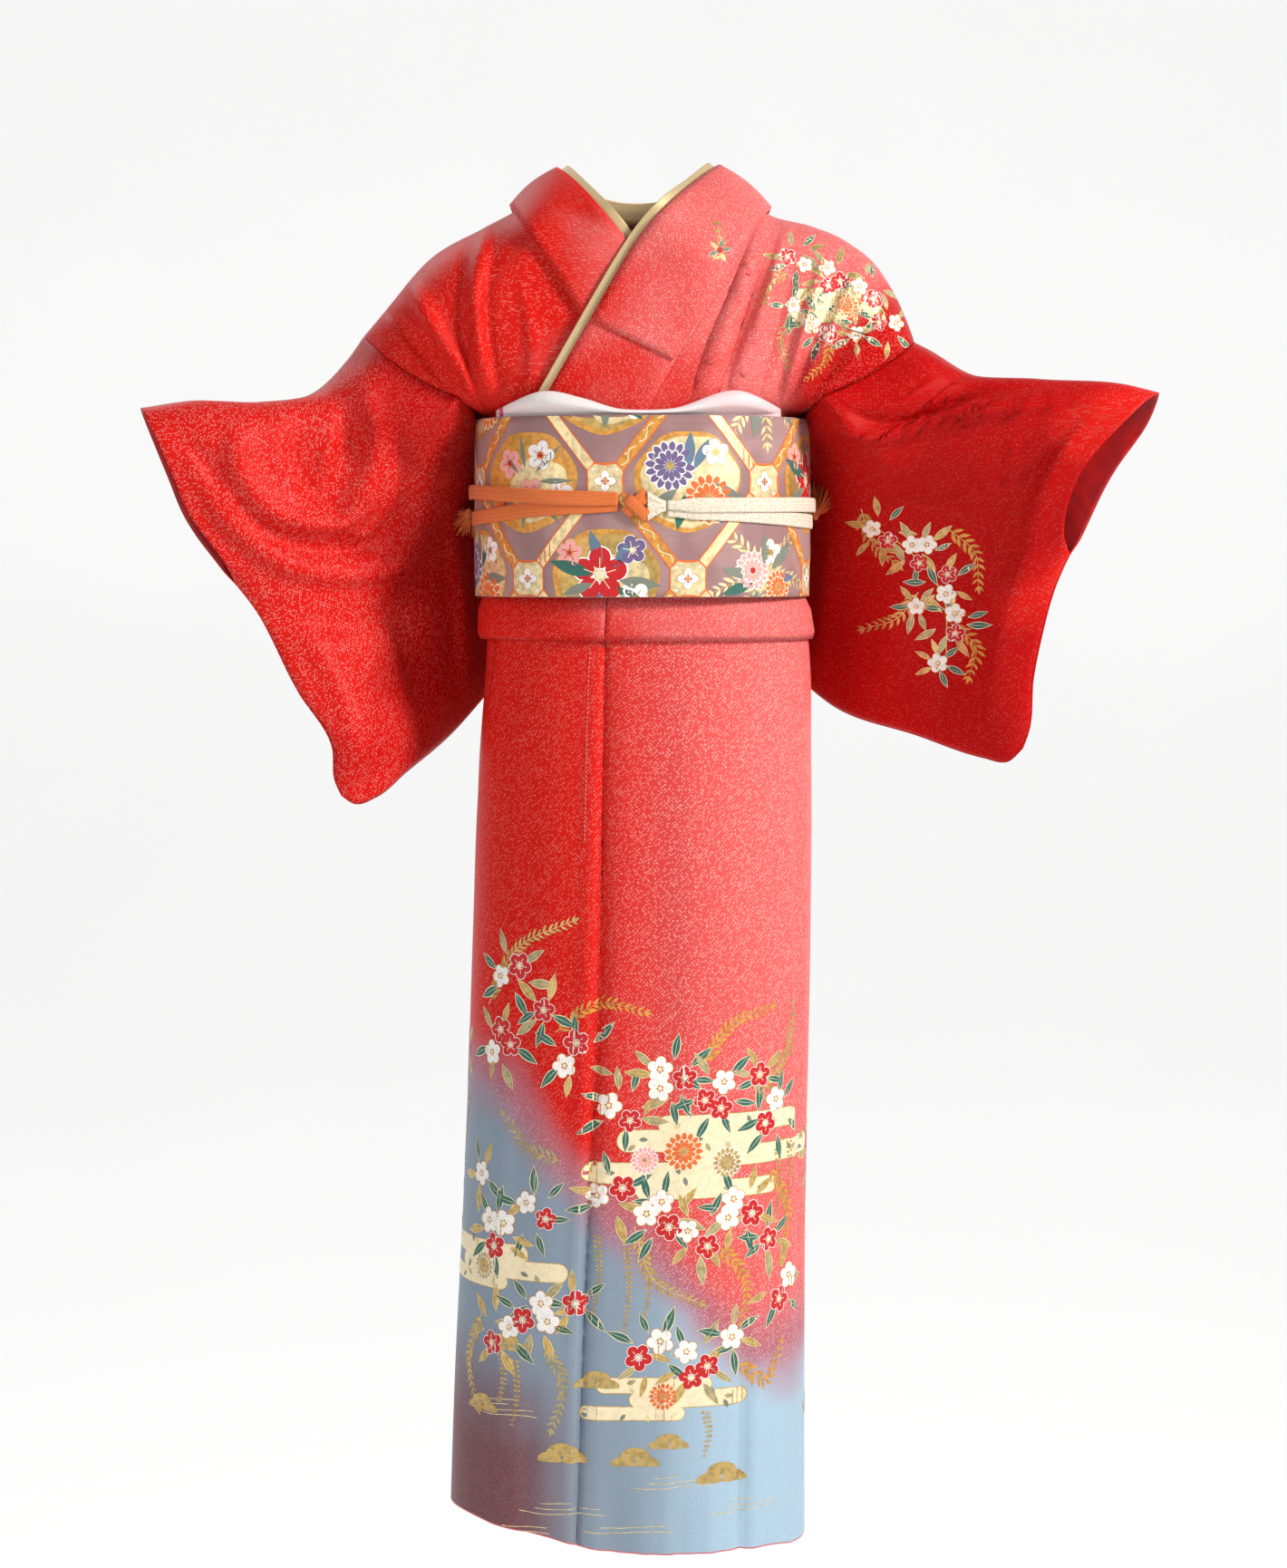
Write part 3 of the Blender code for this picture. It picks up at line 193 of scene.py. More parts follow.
# Sleeves: top line, outer edge, bottom and inner edge of the bag's middle sheet
SLEEVE_ROWS = {
    "left": {
        "top": [
            # x, y, z
            (0.2675, 0.0, -0.168), (0.281, -0.015, -0.1765), (0.321, -0.045, -0.203),
            (0.382, -0.075, -0.209), (0.4585, -0.098, -0.215), (0.4883, -0.105, -0.223),
        ],
        "outer": [
            (0.4883, -0.105, -0.223), (0.478, -0.105, -0.245), (0.445, -0.1, -0.296),
            (0.4148, -0.092, -0.356), (0.3925, -0.086, -0.406), (0.3803, -0.081, -0.453),
            (0.3734, -0.078, -0.49), (0.37, -0.072, -0.54), (0.364, -0.07, -0.558),
        ],
        "bottom": [
            (0.15, 0.1, -0.487), (0.1968, 0.06, -0.525), (0.271, -0.005, -0.549),
            (0.3306, -0.05, -0.568), (0.35, -0.062, -0.571), (0.364, -0.07, -0.558),
        ],
        "inner": [
            (0.2675, 0.0, -0.168), (0.222, 0.003, -0.204), (0.178, 0.016, -0.23),
            (0.166, 0.04, -0.258), (0.164, 0.068, -0.31), (0.161, 0.09, -0.35),
            (0.154, 0.102, -0.41), (0.15, 0.104, -0.445), (0.15, 0.1, -0.487),
        ],
        "cuff_end": 0.47, "cuff_gap": 0.026,
    },
    "right": {
        "top": [
            (-0.2657, 0.0, -0.1625), (-0.2805, -0.018, -0.187), (-0.3133, -0.042, -0.221),
            (-0.364, -0.072, -0.231), (-0.4177, -0.096, -0.23), (-0.4662, -0.105, -0.2375),
        ],
        "outer": [
            (-0.4662, -0.105, -0.2375), (-0.443, -0.1, -0.2985), (-0.4286, -0.096, -0.335),
            (-0.3935, -0.091, -0.383), (-0.3608, -0.086, -0.4255), (-0.3212, -0.081, -0.502),
            (-0.289, -0.075, -0.556), (-0.287, -0.071, -0.588), (-0.281, -0.068, -0.603),
        ],
        "bottom": [
            (-0.146, 0.1, -0.505), (-0.184, 0.05, -0.549), (-0.2249, -0.02, -0.584),
            (-0.2518, -0.05, -0.606), (-0.2686, -0.062, -0.611), (-0.281, -0.068, -0.603),
        ],
        "inner": [
            (-0.2657, 0.0, -0.1625), (-0.22, 0.003, -0.202), (-0.174, 0.016, -0.23),
            (-0.161, 0.04, -0.258), (-0.159, 0.068, -0.31), (-0.156, 0.09, -0.35),
            (-0.149, 0.102, -0.41), (-0.146, 0.104, -0.445), (-0.146, 0.1, -0.505),
        ],
        "cuff_end": 0.45, "cuff_gap": -0.006,
    },
}
SLEEVE_COLUMNS = 84
SLEEVE_STEPS = 96
SLEEVE_ROUND = 0.045
SLEEVE_FULL = {"seam": 0.046, "cuff": 0.03, "bag": 0.011}
SLEEVE_EDGE_ROUND = 0.05
SEAMED = CLOTH / 2 + SEAM_GAP / 2 + 0.0002
ATTACHED = 0.3
SEAM_POINTS = 26

# Folds of the cloth as seen from the front: a path, its half width and its height
FOLD_STEP = 0.004
BODICE_FOLDS = [
    # path of (x, z), half_width, height
    ([(-0.146, -0.06), (-0.154, -0.126), (-0.15, -0.18), (-0.138, -0.24)], 0.0075, 0.0105),
    ([(-0.136, -0.08), (-0.143, -0.14), (-0.128, -0.236)], 0.0055, -0.0047),
    ([(-0.166, -0.09), (-0.168, -0.15), (-0.152, -0.232)], 0.006, -0.005),
    ([(-0.222, -0.112), (-0.184, -0.176), (-0.163, -0.208), (-0.148, -0.24)], 0.0085, 0.014),
    ([(-0.246, -0.132), (-0.204, -0.186), (-0.166, -0.234)], 0.007, -0.007),
    ([(-0.11, -0.12), (-0.1, -0.18), (-0.104, -0.236)], 0.008, 0.0034),
    ([(0.118, -0.056), (0.094, -0.13), (0.072, -0.185), (0.052, -0.24)], 0.0068, 0.0098),
    ([(0.125, -0.066), (0.104, -0.13), (0.084, -0.185), (0.068, -0.236)], 0.005, -0.0053),
    ([(0.14, -0.064), (0.12, -0.135), (0.1, -0.19), (0.084, -0.24)], 0.007, 0.0104),
    ([(0.152, -0.08), (0.132, -0.15), (0.108, -0.236)], 0.0055, -0.0047),
    ([(0.176, -0.09), (0.154, -0.168), (0.134, -0.238)], 0.007, 0.0092),
    ([(0.208, -0.1), (0.18, -0.164), (0.144, -0.238)], 0.0072, 0.0118),
    ([(0.216, -0.128), (0.188, -0.18), (0.15, -0.234)], 0.0055, -0.0056),
    ([(0.24, -0.138), (0.202, -0.19), (0.158, -0.24)], 0.0066, 0.01),
]
BACK_FOLDS = [
    # path of (x, z), half_width, height
    ([(0.06, -0.11), (0.052, -0.19), (0.06, -0.3)], 0.01, 0.0024),
    ([(-0.07, -0.105), (-0.058, -0.2), (-0.066, -0.31)], 0.011, 0.0022),
    ([(0.22, -0.13), (0.18, -0.19), (0.14, -0.25)], 0.008, 0.0048),
    ([(0.19, -0.11), (0.15, -0.18), (0.126, -0.26)], 0.007, -0.003),
    ([(-0.216, -0.126), (-0.172, -0.19), (-0.14, -0.246)], 0.008, 0.005),
    ([(-0.18, -0.112), (-0.148, -0.184), (-0.122, -0.262)], 0.0065, -0.003),
]
SLEEVE_FOLDS = {
    "left": [
        ([(0.15, -0.246), (0.2, -0.262), (0.262, -0.264), (0.33, -0.25), (0.47, -0.219)],
         0.008, 0.0135),
        ([(0.17, -0.236), (0.214, -0.246), (0.268, -0.247), (0.33, -0.232), (0.44, -0.209)],
         0.007, -0.0115),
        ([(0.214, -0.24), (0.262, -0.226), (0.296, -0.196)], 0.007, 0.006),
        ([(0.232, -0.246), (0.282, -0.24), (0.314, -0.214), (0.32, -0.203)], 0.0062, 0.008),
        ([(0.246, -0.244), (0.296, -0.246), (0.33, -0.226)], 0.0055, -0.005),
        ([(0.21, -0.288), (0.262, -0.312), (0.33, -0.302), (0.418, -0.262)], 0.015, -0.006),
        ([(0.238, -0.29), (0.258, -0.37), (0.25, -0.47), (0.24, -0.545)], 0.018, 0.0052),
        ([(0.3, -0.35), (0.308, -0.44), (0.296, -0.56)], 0.02, -0.0056),
        ([(0.44, -0.245), (0.392, -0.33), (0.352, -0.44), (0.338, -0.555)], 0.015, 0.007),
        ([(0.2, -0.34), (0.194, -0.42), (0.186, -0.5)], 0.012, 0.0044),
    ],
    "right": [
        ([(-0.388, -0.236), (-0.384, -0.296), (-0.345, -0.34), (-0.3, -0.346),
          (-0.272, -0.3), (-0.27, -0.194)], 0.013, 0.015),
        ([(-0.33, -0.236), (-0.334, -0.28), (-0.312, -0.316), (-0.292, -0.29), (-0.296, -0.215)],
         0.017, -0.013),
        ([(-0.42, -0.296), (-0.384, -0.352), (-0.322, -0.392), (-0.252, -0.388), (-0.212, -0.3)],
         0.015, 0.012),
        ([(-0.372, -0.346), (-0.325, -0.37), (-0.272, -0.366), (-0.24, -0.318), (-0.236, -0.25)],
         0.0095, -0.009),
        ([(-0.445, -0.256), (-0.414, -0.286), (-0.398, -0.316)], 0.01, -0.006),
        ([(-0.374, -0.42), (-0.322, -0.44), (-0.262, -0.436), (-0.21, -0.372)], 0.017, -0.006),
        ([(-0.33, -0.43), (-0.292, -0.5), (-0.262, -0.59)], 0.017, 0.0075),
        ([(-0.246, -0.42), (-0.226, -0.5), (-0.214, -0.575)], 0.015, -0.007),
        ([(-0.196, -0.33), (-0.184, -0.43), (-0.178, -0.52)], 0.011, 0.005),
    ],
}
SKIRT_FOLDS = [
    # path of (x, z), half_width, height
    ([(-0.03, -0.456), (-0.037, -0.786), (-0.046, -0.972), (-0.052, -1.12), (-0.058, -1.345)],
     0.006, -0.01),
    ([(-0.042, -0.47), (-0.049, -0.8), (-0.058, -1.12), (-0.069, -1.345)], 0.009, 0.003),
    ([(0.144, -0.46), (0.149, -0.8), (0.151, -1.1), (0.148, -1.365)], 0.0048, -0.0046),
    ([(0.138, -0.47), (0.142, -0.8), (0.143, -1.1), (0.14, -1.345)], 0.005, 0.0014),
    ([(0.097, -1.12), (0.095, -1.2), (0.093, -1.37)], 0.006, -0.006),
    ([(0.104, -1.11), (0.103, -1.2), (0.101, -1.37)], 0.007, 0.003),
    ([(0.066, -1.23), (0.064, -1.37)], 0.006, 0.003),
    ([(0.038, -1.24), (0.036, -1.37)], 0.006, -0.0028),
    ([(0.004, -1.22), (0.0, -1.37)], 0.007, 0.003),
    ([(-0.024, -1.23), (-0.028, -1.37)], 0.006, -0.0026),
    ([(-0.03, -0.5), (0.03, -0.512), (0.1, -0.506)], 0.005, 0.0014),
    ([(0.0, -0.53), (0.06, -0.536), (0.14, -0.524)], 0.006, -0.0014),
    ([(0.11, -0.98), (0.11, -1.174), (0.108, -1.345)], 0.009, 0.002),
    ([(0.04, -0.47), (0.046, -0.76), (0.04, -1.05)], 0.016, 0.0018),
    ([(0.016, -0.56), (0.01, -0.86), (0.004, -1.12)], 0.014, -0.0014),
    ([(0.03, -1.06), (0.026, -1.2), (0.022, -1.345)], 0.012, 0.0024),
    ([(-0.1, -0.52), (-0.108, -0.82), (-0.116, -1.1)], 0.015, -0.0016),
    ([(-0.128, -0.8), (-0.132, -1.08), (-0.136, -1.345)], 0.009, 0.002),
    ([(-0.1, -1.12), (-0.104, -1.22), (-0.106, -1.345)], 0.01, -0.0024),
]
BACK_SKIRT_FOLDS = [
    # path of (x, z), half_width, height
    ([(0.104, -0.6), (0.11, -0.9), (0.112, -1.345)], 0.011, -0.0026),
    ([(0.07, -0.7), (0.074, -1.0), (0.07, -1.345)], 0.014, 0.0022),
    ([(0.024, -0.6), (0.02, -0.98), (0.026, -1.345)], 0.013, -0.0018),
    ([(-0.05, -0.64), (-0.056, -0.98), (-0.06, -1.345)], 0.014, 0.0022),
    ([(-0.092, -0.6), (-0.1, -0.94), (-0.106, -1.345)], 0.01, -0.0026),
    ([(-0.13, -0.62), (-0.134, -0.96), (-0.138, -1.345)], 0.009, 0.0018),
]
# Fullness kept near this seam: how far in it is taken from, the depth lost, how far it holds
SEAM_REACH = 0.02
SEAM_DROP = 0.005
SEAM_FADE = 0.026

# The front's seams: where the overlap panel meets the body panel, and its edge
OKUMI_SEAM_ROWS = [
    # z, x
    (-0.38, -0.026), (-0.456, -0.03), (-0.622, -0.034), (-0.786, -0.037), (-0.972, -0.046),
    (-1.12, -0.052), (-1.307, -0.058),
]
OKUMI_EDGE_ROWS = [
    # z, angle from the front in degrees
    (-0.395, -62.0), (-0.456, -64.0), (-0.576, -74.0), (-0.734, -83.0), (-1.307, -88.0),
]
BACK_SEAM_ANGLE = 0.015
SIDE_SEAM_ANGLE = 96.0
SIDE_LAP_ANGLE = 4.0
UNDER_EDGE_ANGLE = 70.0
UNDER_SEAM_ANGLE = 18.0
UNDER_DROP = 0.0045

# The fold below the obi: its section from the top, out of the body and down
OHASHORI_ROWS = [
    # distance out, z
    (0.0012, -0.3806), (0.0022, -0.408), (0.006, -0.418), (0.009, -0.427), (0.0094, -0.448),
    (0.0076, -0.454), (0.0056, -0.449), (0.0054, -0.432),
]

# The obi
OBI_CENTRE_X = 0.004
OBI_HALF_WIDTH = 0.16
OBI_FRONT = 0.136
OBI_BACK = 0.127
OBI_END_ANGLE = 178.0
OBI_COLUMNS = 181
OBI_BOW = 0.0012
TAIL_WALL = 0.002
DRUM_HALF_WIDTH = 0.155
DRUM_COLUMNS = 57
DRUM_POINTS = 150
DRUM_BOW = 0.004
DRUM_MIDDLE = (0.176, -0.36)
DRUM_ROWS = [
    # y, z, from the inner side of the pad, over it, and down to the folded bottom
    (0.1304, -0.26), (0.1318, -0.238), (0.14, -0.212), (0.164, -0.199), (0.188, -0.208),
    (0.201, -0.238), (0.212, -0.3), (0.218, -0.37), (0.215, -0.44),
    (0.205, -0.5), (0.194, -0.52), (0.183, -0.51), (0.178, -0.47),
    (0.174, -0.4), (0.171, -0.37),
]
TARE_HALF_WIDTH = 0.1527
TARE_POINTS = 66
TARE_ROWS = [
    # y, z
    (0.1327, -0.268), (0.1327, -0.42), (0.1445, -0.5), (0.153, -0.595),
]
TE_ROWS = [
    # z in the middle, z at the ends, right end x, left end x
    (-0.268, -0.241, -0.176, 0.187), (-0.298, -0.293, -0.162, 0.17),
    (-0.34, -0.315, -0.153, 0.16), (-0.402, -0.394, -0.156, 0.162),
]
TE_COLUMNS = 61
TE_POINTS = 40
TE_PLACE = 0.1434
TE_END_CURL = 0.01
PAD_RADIUS = 0.026
PAD_TAPER = 0.93
PAD_SIDES = 28
PAD_RINGS = 45
PAD_HALF_LENGTH = 0.128
PAD_PLACE = (0.164, -0.23)

# The scarf along the top of the obi: two soft humps that meet in the middle
OBIAGE_INSIDE = 0.0036
OBIAGE_TUCK = -0.262
OBIAGE_RISE = 0.001
SCARF_CLEAR = 0.0012
# How many layers of cloth lie under the scarf: at its ends, past the collar, over the front
OBIAGE_EDGE_LAYERS = 0.1
EDGE_LAYERS = 1.1
FRONT_LAYERS = 5.9
OBIAGE_ROWS = [
    # x, top z, how far it swells out
    (-0.138, -0.24, 0.0045), (-0.12, -0.233, 0.008), (-0.089, -0.223, 0.011),
    (-0.05, -0.23, 0.01), (-0.018, -0.2395, 0.007), (0.0, -0.2405, 0.006),
    (0.03, -0.2395, 0.007), (0.098, -0.223, 0.0115), (0.124, -0.233, 0.008),
    (0.14, -0.24, 0.0045),
]
OBIAGE_PROFILE = [
    # share of the height over the obi, share of the swell, layers added
    (0.4, 1.0, 0.0), (0.8, 0.8, 0.0), (1.0, 0.3, 0.3),
]

# The cord over the obi
CORD_WIDTH = 0.014
BRAID_THICK = 0.0024
BRAID_SIDES = 16
CORD_START = 5.3
CORD_BEHIND_ANGLE = 100.0
CORD_BACK_POINTS = 40
STRAND_END_ANGLE = 82.0
KNOT_ROWS = 29
CORD_BACK_ROWS = [
    # x, y
    (0.17, 0.07), (0.171, 0.112), (0.167, 0.148), (0.145, 0.157), (0.07, 0.1575),
    (0.0004, 0.1575),
]
TASSEL_HEAD = (0.0056, 0.01, 0.008)
TASSEL_NECK = 0.002
TASSEL_RINGS = 14
TASSEL_SIDES = 17
TASSEL_STRANDS = {"Count": 170, "Length": 0.0294, "Width": 0.0026, "Spread": 0.46, "Thickness": 0.00034}
TASSEL_ROOTS = {"left": (0.1735, 0.004, -0.333), "right": (-0.1646, 0.004, -0.3352)}
TASSEL_AIMS = {"left": (0.24, 0.55, 0.46), "right": (-0.06, 0.7, -0.2)}
CORD_ROWS = [
    # name, z at the knot, z at the side, layer, last angle, share of the width at the knot
    ("obijime_left", -0.3285, -0.3265, 1, CORD_BEHIND_ANGLE, 0.6),
    ("obijime_end_left", -0.335, -0.3425, 0, STRAND_END_ANGLE, 0.6),
    ("obijime_right", -0.3225, -0.314, 1, CORD_BEHIND_ANGLE, 0.9),
    ("obijime_end_right", -0.329, -0.3395, 0, STRAND_END_ANGLE, 0.8),
]
KNOT_TURNS = [
    # start x, z, end x, z, width, how far it stands out
    (-0.011, -0.336, 0.008, -0.318, 0.012, 0.003),
    (-0.0095, -0.3215, 0.0095, -0.3405, 0.0105, 0.005),
]
KNOT_FOLD_X = (0.0085, 0.0245)
KNOT_FOLD_Z = -0.3292
KNOT_FOLD_THICK = 0.0016

# The basting beside the overlap's seam: its heights, its turn from the seam, its stitches
STITCH_HEIGHTS = (-0.458, -0.64)
STITCH_TURN = 5.0
STITCH_POINTS = 80
STITCHES = {"Spacing": 0.0042, "Length": 0.0024, "Thickness": 0.00025}

# Finishes: linear red, green, blue
WHITE = (1.0, 1.0, 1.0, 1.0)
# CRIMSON_RED is the silk's own red. DEEP_RED and ROSE_RED are its darker and pinker copies: painted shade
# and painted light on the silks, and plain second tones in the linings.
CRIMSON_RED = (0.6, 0.01, 0.0065, 1.0)
DEEP_RED = (0.44, 0.0036, 0.004, 1.0)
ROSE_RED = (0.7, 0.12, 0.112, 1.0)
# Fleck colours: FLECK_RED for painted shade, FLECK_ROSE and FLECK_PINK for painted light on the sleeves and
# on the body and skirt.
FLECK_RED = (0.88, 0.2, 0.15, 1.0)
FLECK_PINK = (0.96, 0.56, 0.52, 1.0)
FLECK_ROSE = (0.92, 0.42, 0.38, 1.0)
LINING_RED = (0.33, 0.003, 0.005, 1.0)
HEM_PINK = (0.62, 0.1, 0.13, 1.0)
DYE_MAUVE = (0.43, 0.135, 0.17, 1.0)
DYE_SLATE = (0.235, 0.3, 0.37, 1.0)
DYE_PALE_BLUE = (0.37, 0.515, 0.625, 1.0)
DYE_PLUM = (0.185, 0.076, 0.085, 1.0)
FLECK_PALE = (0.6, 0.6, 0.62, 1.0)
STRIP_GOLD = (0.6, 0.44, 0.22, 1.0)
OBI_MAUVE = (0.4, 0.225, 0.215, 1.0)
OBI_MAUVE_DEEP = (0.3, 0.15, 0.15, 1.0)
OBI_REVERSE = (0.56, 0.415, 0.26, 1.0)
SCARF_WHITE = (0.76, 0.69, 0.675, 1.0)
SCARF_PINK = (0.8, 0.43, 0.46, 1.0)
SCARF_MAGENTA = (0.62, 0.05, 0.2, 1.0)
CORD_ORANGE = (0.76, 0.13, 0.016, 1.0)
CORD_ORANGE_PALE = (0.82, 0.22, 0.05, 1.0)
CORD_CREAM = (0.84, 0.72, 0.6, 1.0)
CORD_GOLD = (0.64, 0.48, 0.2, 1.0)
THREAD_RED = (0.75, 0.3, 0.24, 1.0)
THREAD_PINK = (0.82, 0.4, 0.32, 1.0)
OBI_REVERSE_PALE = (0.66, 0.52, 0.34, 1.0)
OBI_RIB = (0.62, 0.44, 0.4, 1.0)
STRIP_PALE = (0.76, 0.6, 0.34, 1.0)
CORD_PALE = (0.9, 0.8, 0.66, 1.0)
SILK_TINT = (1.0, 0.44, 0.4, 1.0)
SILK_GLOSS = 0.13
INKS = {
    # name: colour, metallic, roughness
    "cream_gold": ((0.88, 0.74, 0.48), 0.0, 0.45),
    "gold": ((0.64, 0.42, 0.13), 0.55, 0.38),
    "pale_gold": ((0.86, 0.68, 0.36), 0.35, 0.4),
    "orange_gold": ((0.72, 0.33, 0.06), 0.2, 0.45),
    "orange": ((0.74, 0.15, 0.03), 0.0, 0.55),
    "white": ((0.9, 0.86, 0.82), 0.0, 0.55),
    "crimson": ((0.56, 0.01, 0.012), 0.0, 0.5),
    "pink": ((0.85, 0.38, 0.33), 0.0, 0.55),
    "green": ((0.03, 0.135, 0.1), 0.0, 0.55),
    "olive": ((0.44, 0.36, 0.18), 0.1, 0.5),
    "grey_green": ((0.2, 0.22, 0.17), 0.0, 0.55),
    "purple": ((0.16, 0.11, 0.24), 0.0, 0.55),
    "slate": ((0.12, 0.19, 0.28), 0.0, 0.55),
}
DYE_LOWEST = -1.115
DYE_RISE = 0.135
DYE_LEFT_RISE = 0.115
FLECK_SIZE = (0.0028, 0.0011)
FLECK_TURN = 0.75
FLECK_SHARE = 0.45
SILKS = {
    # ground at low x and high x, flecks likewise (the change across x is painted light and painted shade),
    # the two x, glint, share of flecks, painted shade past the armpit
    # left sleeve: painted shade over its inner part, painted light at its outer edge
    "left": ((DEEP_RED, CRIMSON_RED), (FLECK_RED, FLECK_ROSE), 0.38, 0.46, 0.26, 0.28, False),
    # right sleeve: painted light outwards, painted shade towards the body
    "right": ((CRIMSON_RED, DEEP_RED), (FLECK_ROSE, FLECK_RED), -0.3, -0.18, 0.5, FLECK_SHARE, False),
    # body: pinker towards +x as painted light, with painted shade under the arm
    "body": ((CRIMSON_RED, ROSE_RED), (FLECK_RED, FLECK_PINK), -0.08, 0.08, 0.54, FLECK_SHARE, True),
}
PETALS = 5
INK_LIFT = 0.00012
INK_STEP = 0.000004

# Fine grids
SKIRT_SPACING = 0.0048
OBI_STEPS = 26
SCARF_STEPS = 20

# The lattice woven into the obi: its cell, where it starts, its squares and bands
LATTICE_WIDTH = 0.152
LATTICE_HEIGHT = 0.0906
LATTICE_START = (-0.034, -0.306)
CELL_SCALE = 1.28
SQUARE_HALF = 0.0158
BAND_WIDTH = 0.0088
BAND_EDGES = 0.0026
CELL_KINDS = ["rosettes", "peony", "fern", "lily"]
DRUM_LATTICE_START = (-0.004, -0.3)
TAIL_LATTICE_START = (-0.004, -0.572)

# Windows that the designs are cut to: u, then v
HEM_WINDOW = ((-0.46, 0.46), (HEM + 0.004, -0.5))
OBI_WINDOW = ((-0.36, 0.36), (OBI_BOTTOM + 0.0006, OBI_TOP - 0.0006))
DRUM_HEIGHTS = (-0.508, -0.206)
TAIL_HEIGHTS = (-0.5945, -0.522)
TAIL_INSET = 0.002

# Camera and light, from the photograph's view
EYE = (0.0, -3.0, -0.381)
FRAME = (1420, 1730)
AXIS = (704, 620)
LENS = 70.94
SENSOR = 36.0
WORLD_STRENGTH = 0.3
BACKDROP_GLOW = 0.66
SWEEP_HALF_WIDTH = 6.0
SWEEP_ROWS = [
    # y, z, from in front of the camera, over the floor and up behind
    (-6.0, -1.7), (-1.0, -1.7), (3.0, -1.7), (4.6, -1.5), (5.4, -0.8), (5.6, 0.6), (5.6, 4.0),
]
LAMPS = [
    # name, place, aim, size, power, colour
    ("key", (2.5, -1.7, 1.1), (0.0, 0.0, -0.5), (0.8, 0.8), 128.0, (1.0, 0.99, 0.97)),
    ("fill", (-1.8, -2.6, 0.3), (0.0, 0.0, -0.55), (1.4, 1.8), 26.0, (0.97, 0.98, 1.0)),
    ("rim", (-1.4, 1.6, 1.6), (0.0, 0.0, -0.4), (1.2, 1.2), 16.0, (1.0, 1.0, 1.0)),
]

# The sheets made so far: their grids by name, and what is to be said of each
PIECES = {}
SHEETS = []


def shares(count):
    """Even steps from 0 to 1."""
    return np.linspace(0.0, 1.0, count)


def distances(line):
    """How far along a line each of its points lies."""
    return np.concatenate([[0.0], np.cumsum(np.linalg.norm(np.diff(line, axis=0), axis=-1))])


def unit(vectors):
    """The same directions with a length of 1."""
    return vectors / np.maximum(np.linalg.norm(vectors, axis=-1, keepdims=True), 1e-9)


def sign_of(side):
    """Which way a side lies from the middle."""
    return 1 if side == "left" else -1


def run_along(points, t):
    """Points of a smooth curve through a table of points, t from 0 to 1."""
    table = np.array(points, dtype=float)
    stations = distances(table)
    return run_through(stations / stations[-1], table, t)


def run_through(stations, values, at):
    """Smooth values between rows whose first column rises."""
    stations = np.asarray(stations, dtype=float)
    values = np.asarray(values, dtype=float)
    at = np.clip(np.asarray(at, dtype=float), stations[0], stations[-1])
    slopes = np.gradient(values, stations, axis=0)
    low = np.clip(np.searchsorted(stations, at, side="right") - 1, 0, len(stations) - 2)
    gap = stations[low + 1] - stations[low]
    k = (at - stations[low]) / gap
    if values.ndim > 1:
        k = k[..., None]
        gap = gap[..., None]
    start = (2 * k**3 - 3 * k**2 + 1) * values[low] + (k**3 - 2 * k**2 + k) * gap * slopes[low]
    end = (3 * k**2 - 2 * k**3) * values[low + 1] + (k**3 - k**2) * gap * slopes[low + 1]
    return start + end


def ease(value, low, high):
    """A smooth step from 0 at low to 1 at high, where high may be the smaller."""
    k = np.clip((np.asarray(value, dtype=float) - low) / (high - low), 0.0, 1.0)
    return k * k * (3 - 2 * k)


def rounded(share):
    """A quarter circle that rises from 0 to 1 as the share does."""
    return np.sqrt(1 - (1 - np.clip(share, 0.0, 1.0)) ** 2)


def fold_height(x, z, folds):
    """How far soft folds lift the cloth at points seen from the front."""
    total = np.zeros(np.shape(x))
    for path, half_width, height in folds:
        length = abs(path[-1][1] - path[0][1])
        t = np.linspace(0.0, 1.0, max(48, round(length / FOLD_STEP)))
        line = run_along(path, t)
        far = (x[..., None] - line[:, 0]) ** 2 + (z[..., None] - line[:, 1]) ** 2
        nearest = far.argmin(axis=-1)
        distance = np.sqrt(far.min(axis=-1))
        lean = x - line[nearest, 0] + 0.6 * (z - line[nearest, 1])
        distance = distance * np.where(lean < 0, 1.7, 0.85)
        taper = np.sin(math.pi * np.clip(t[nearest], 0.02, 0.98)) ** 0.6
        total += height * np.exp(-((distance / half_width) ** 2)) * taper
    return total


def look_up(rows, at):
    """A table's other columns at places in its first column."""
    table = np.array(sorted(rows))
    return np.moveaxis(run_through(table[:, 0], table[:, 1:], at), -1, 0)


def depth_at(x, z, side, facing):
    """How far the chest or back stands out at a point seen from the front."""
    upper = z > BODY_ROWS[0][0]
    above = look_up(CHEST_ROWS, z)
    below = look_up(BODY_ROWS, z)
    centre, half, front, back = (np.where(upper, a, b) for a, b in zip(above, below))
    reach = front if facing == FRONT else back
    across = np.clip(np.abs((x - centre) / half), 0.0, 0.999)
    flat = reach * (1 - across**ROUNDNESS) ** (1 / ROUNDNESS)
    top = look_up(SHOULDER_ROWS[side], np.abs(x))[0]
    return flat * rounded((top - z) / SHOULDER_ROUND)


def oval(angle, half, reach):
    """How far an oval section reaches across and forward at an angle."""
    power = 2 / ROUNDNESS
    x = half * np.sign(np.sin(angle)) * np.abs(np.sin(angle)) ** power
    y = -reach * np.sign(np.cos(angle)) * np.abs(np.cos(angle)) ** power
    return x, y


def oval_angle(across):
    """The angle on the front of an oval section, in degrees, by the share of its half width."""
    return np.degrees(np.arcsin(np.sign(across) * np.abs(across) ** (ROUNDNESS / 2)))


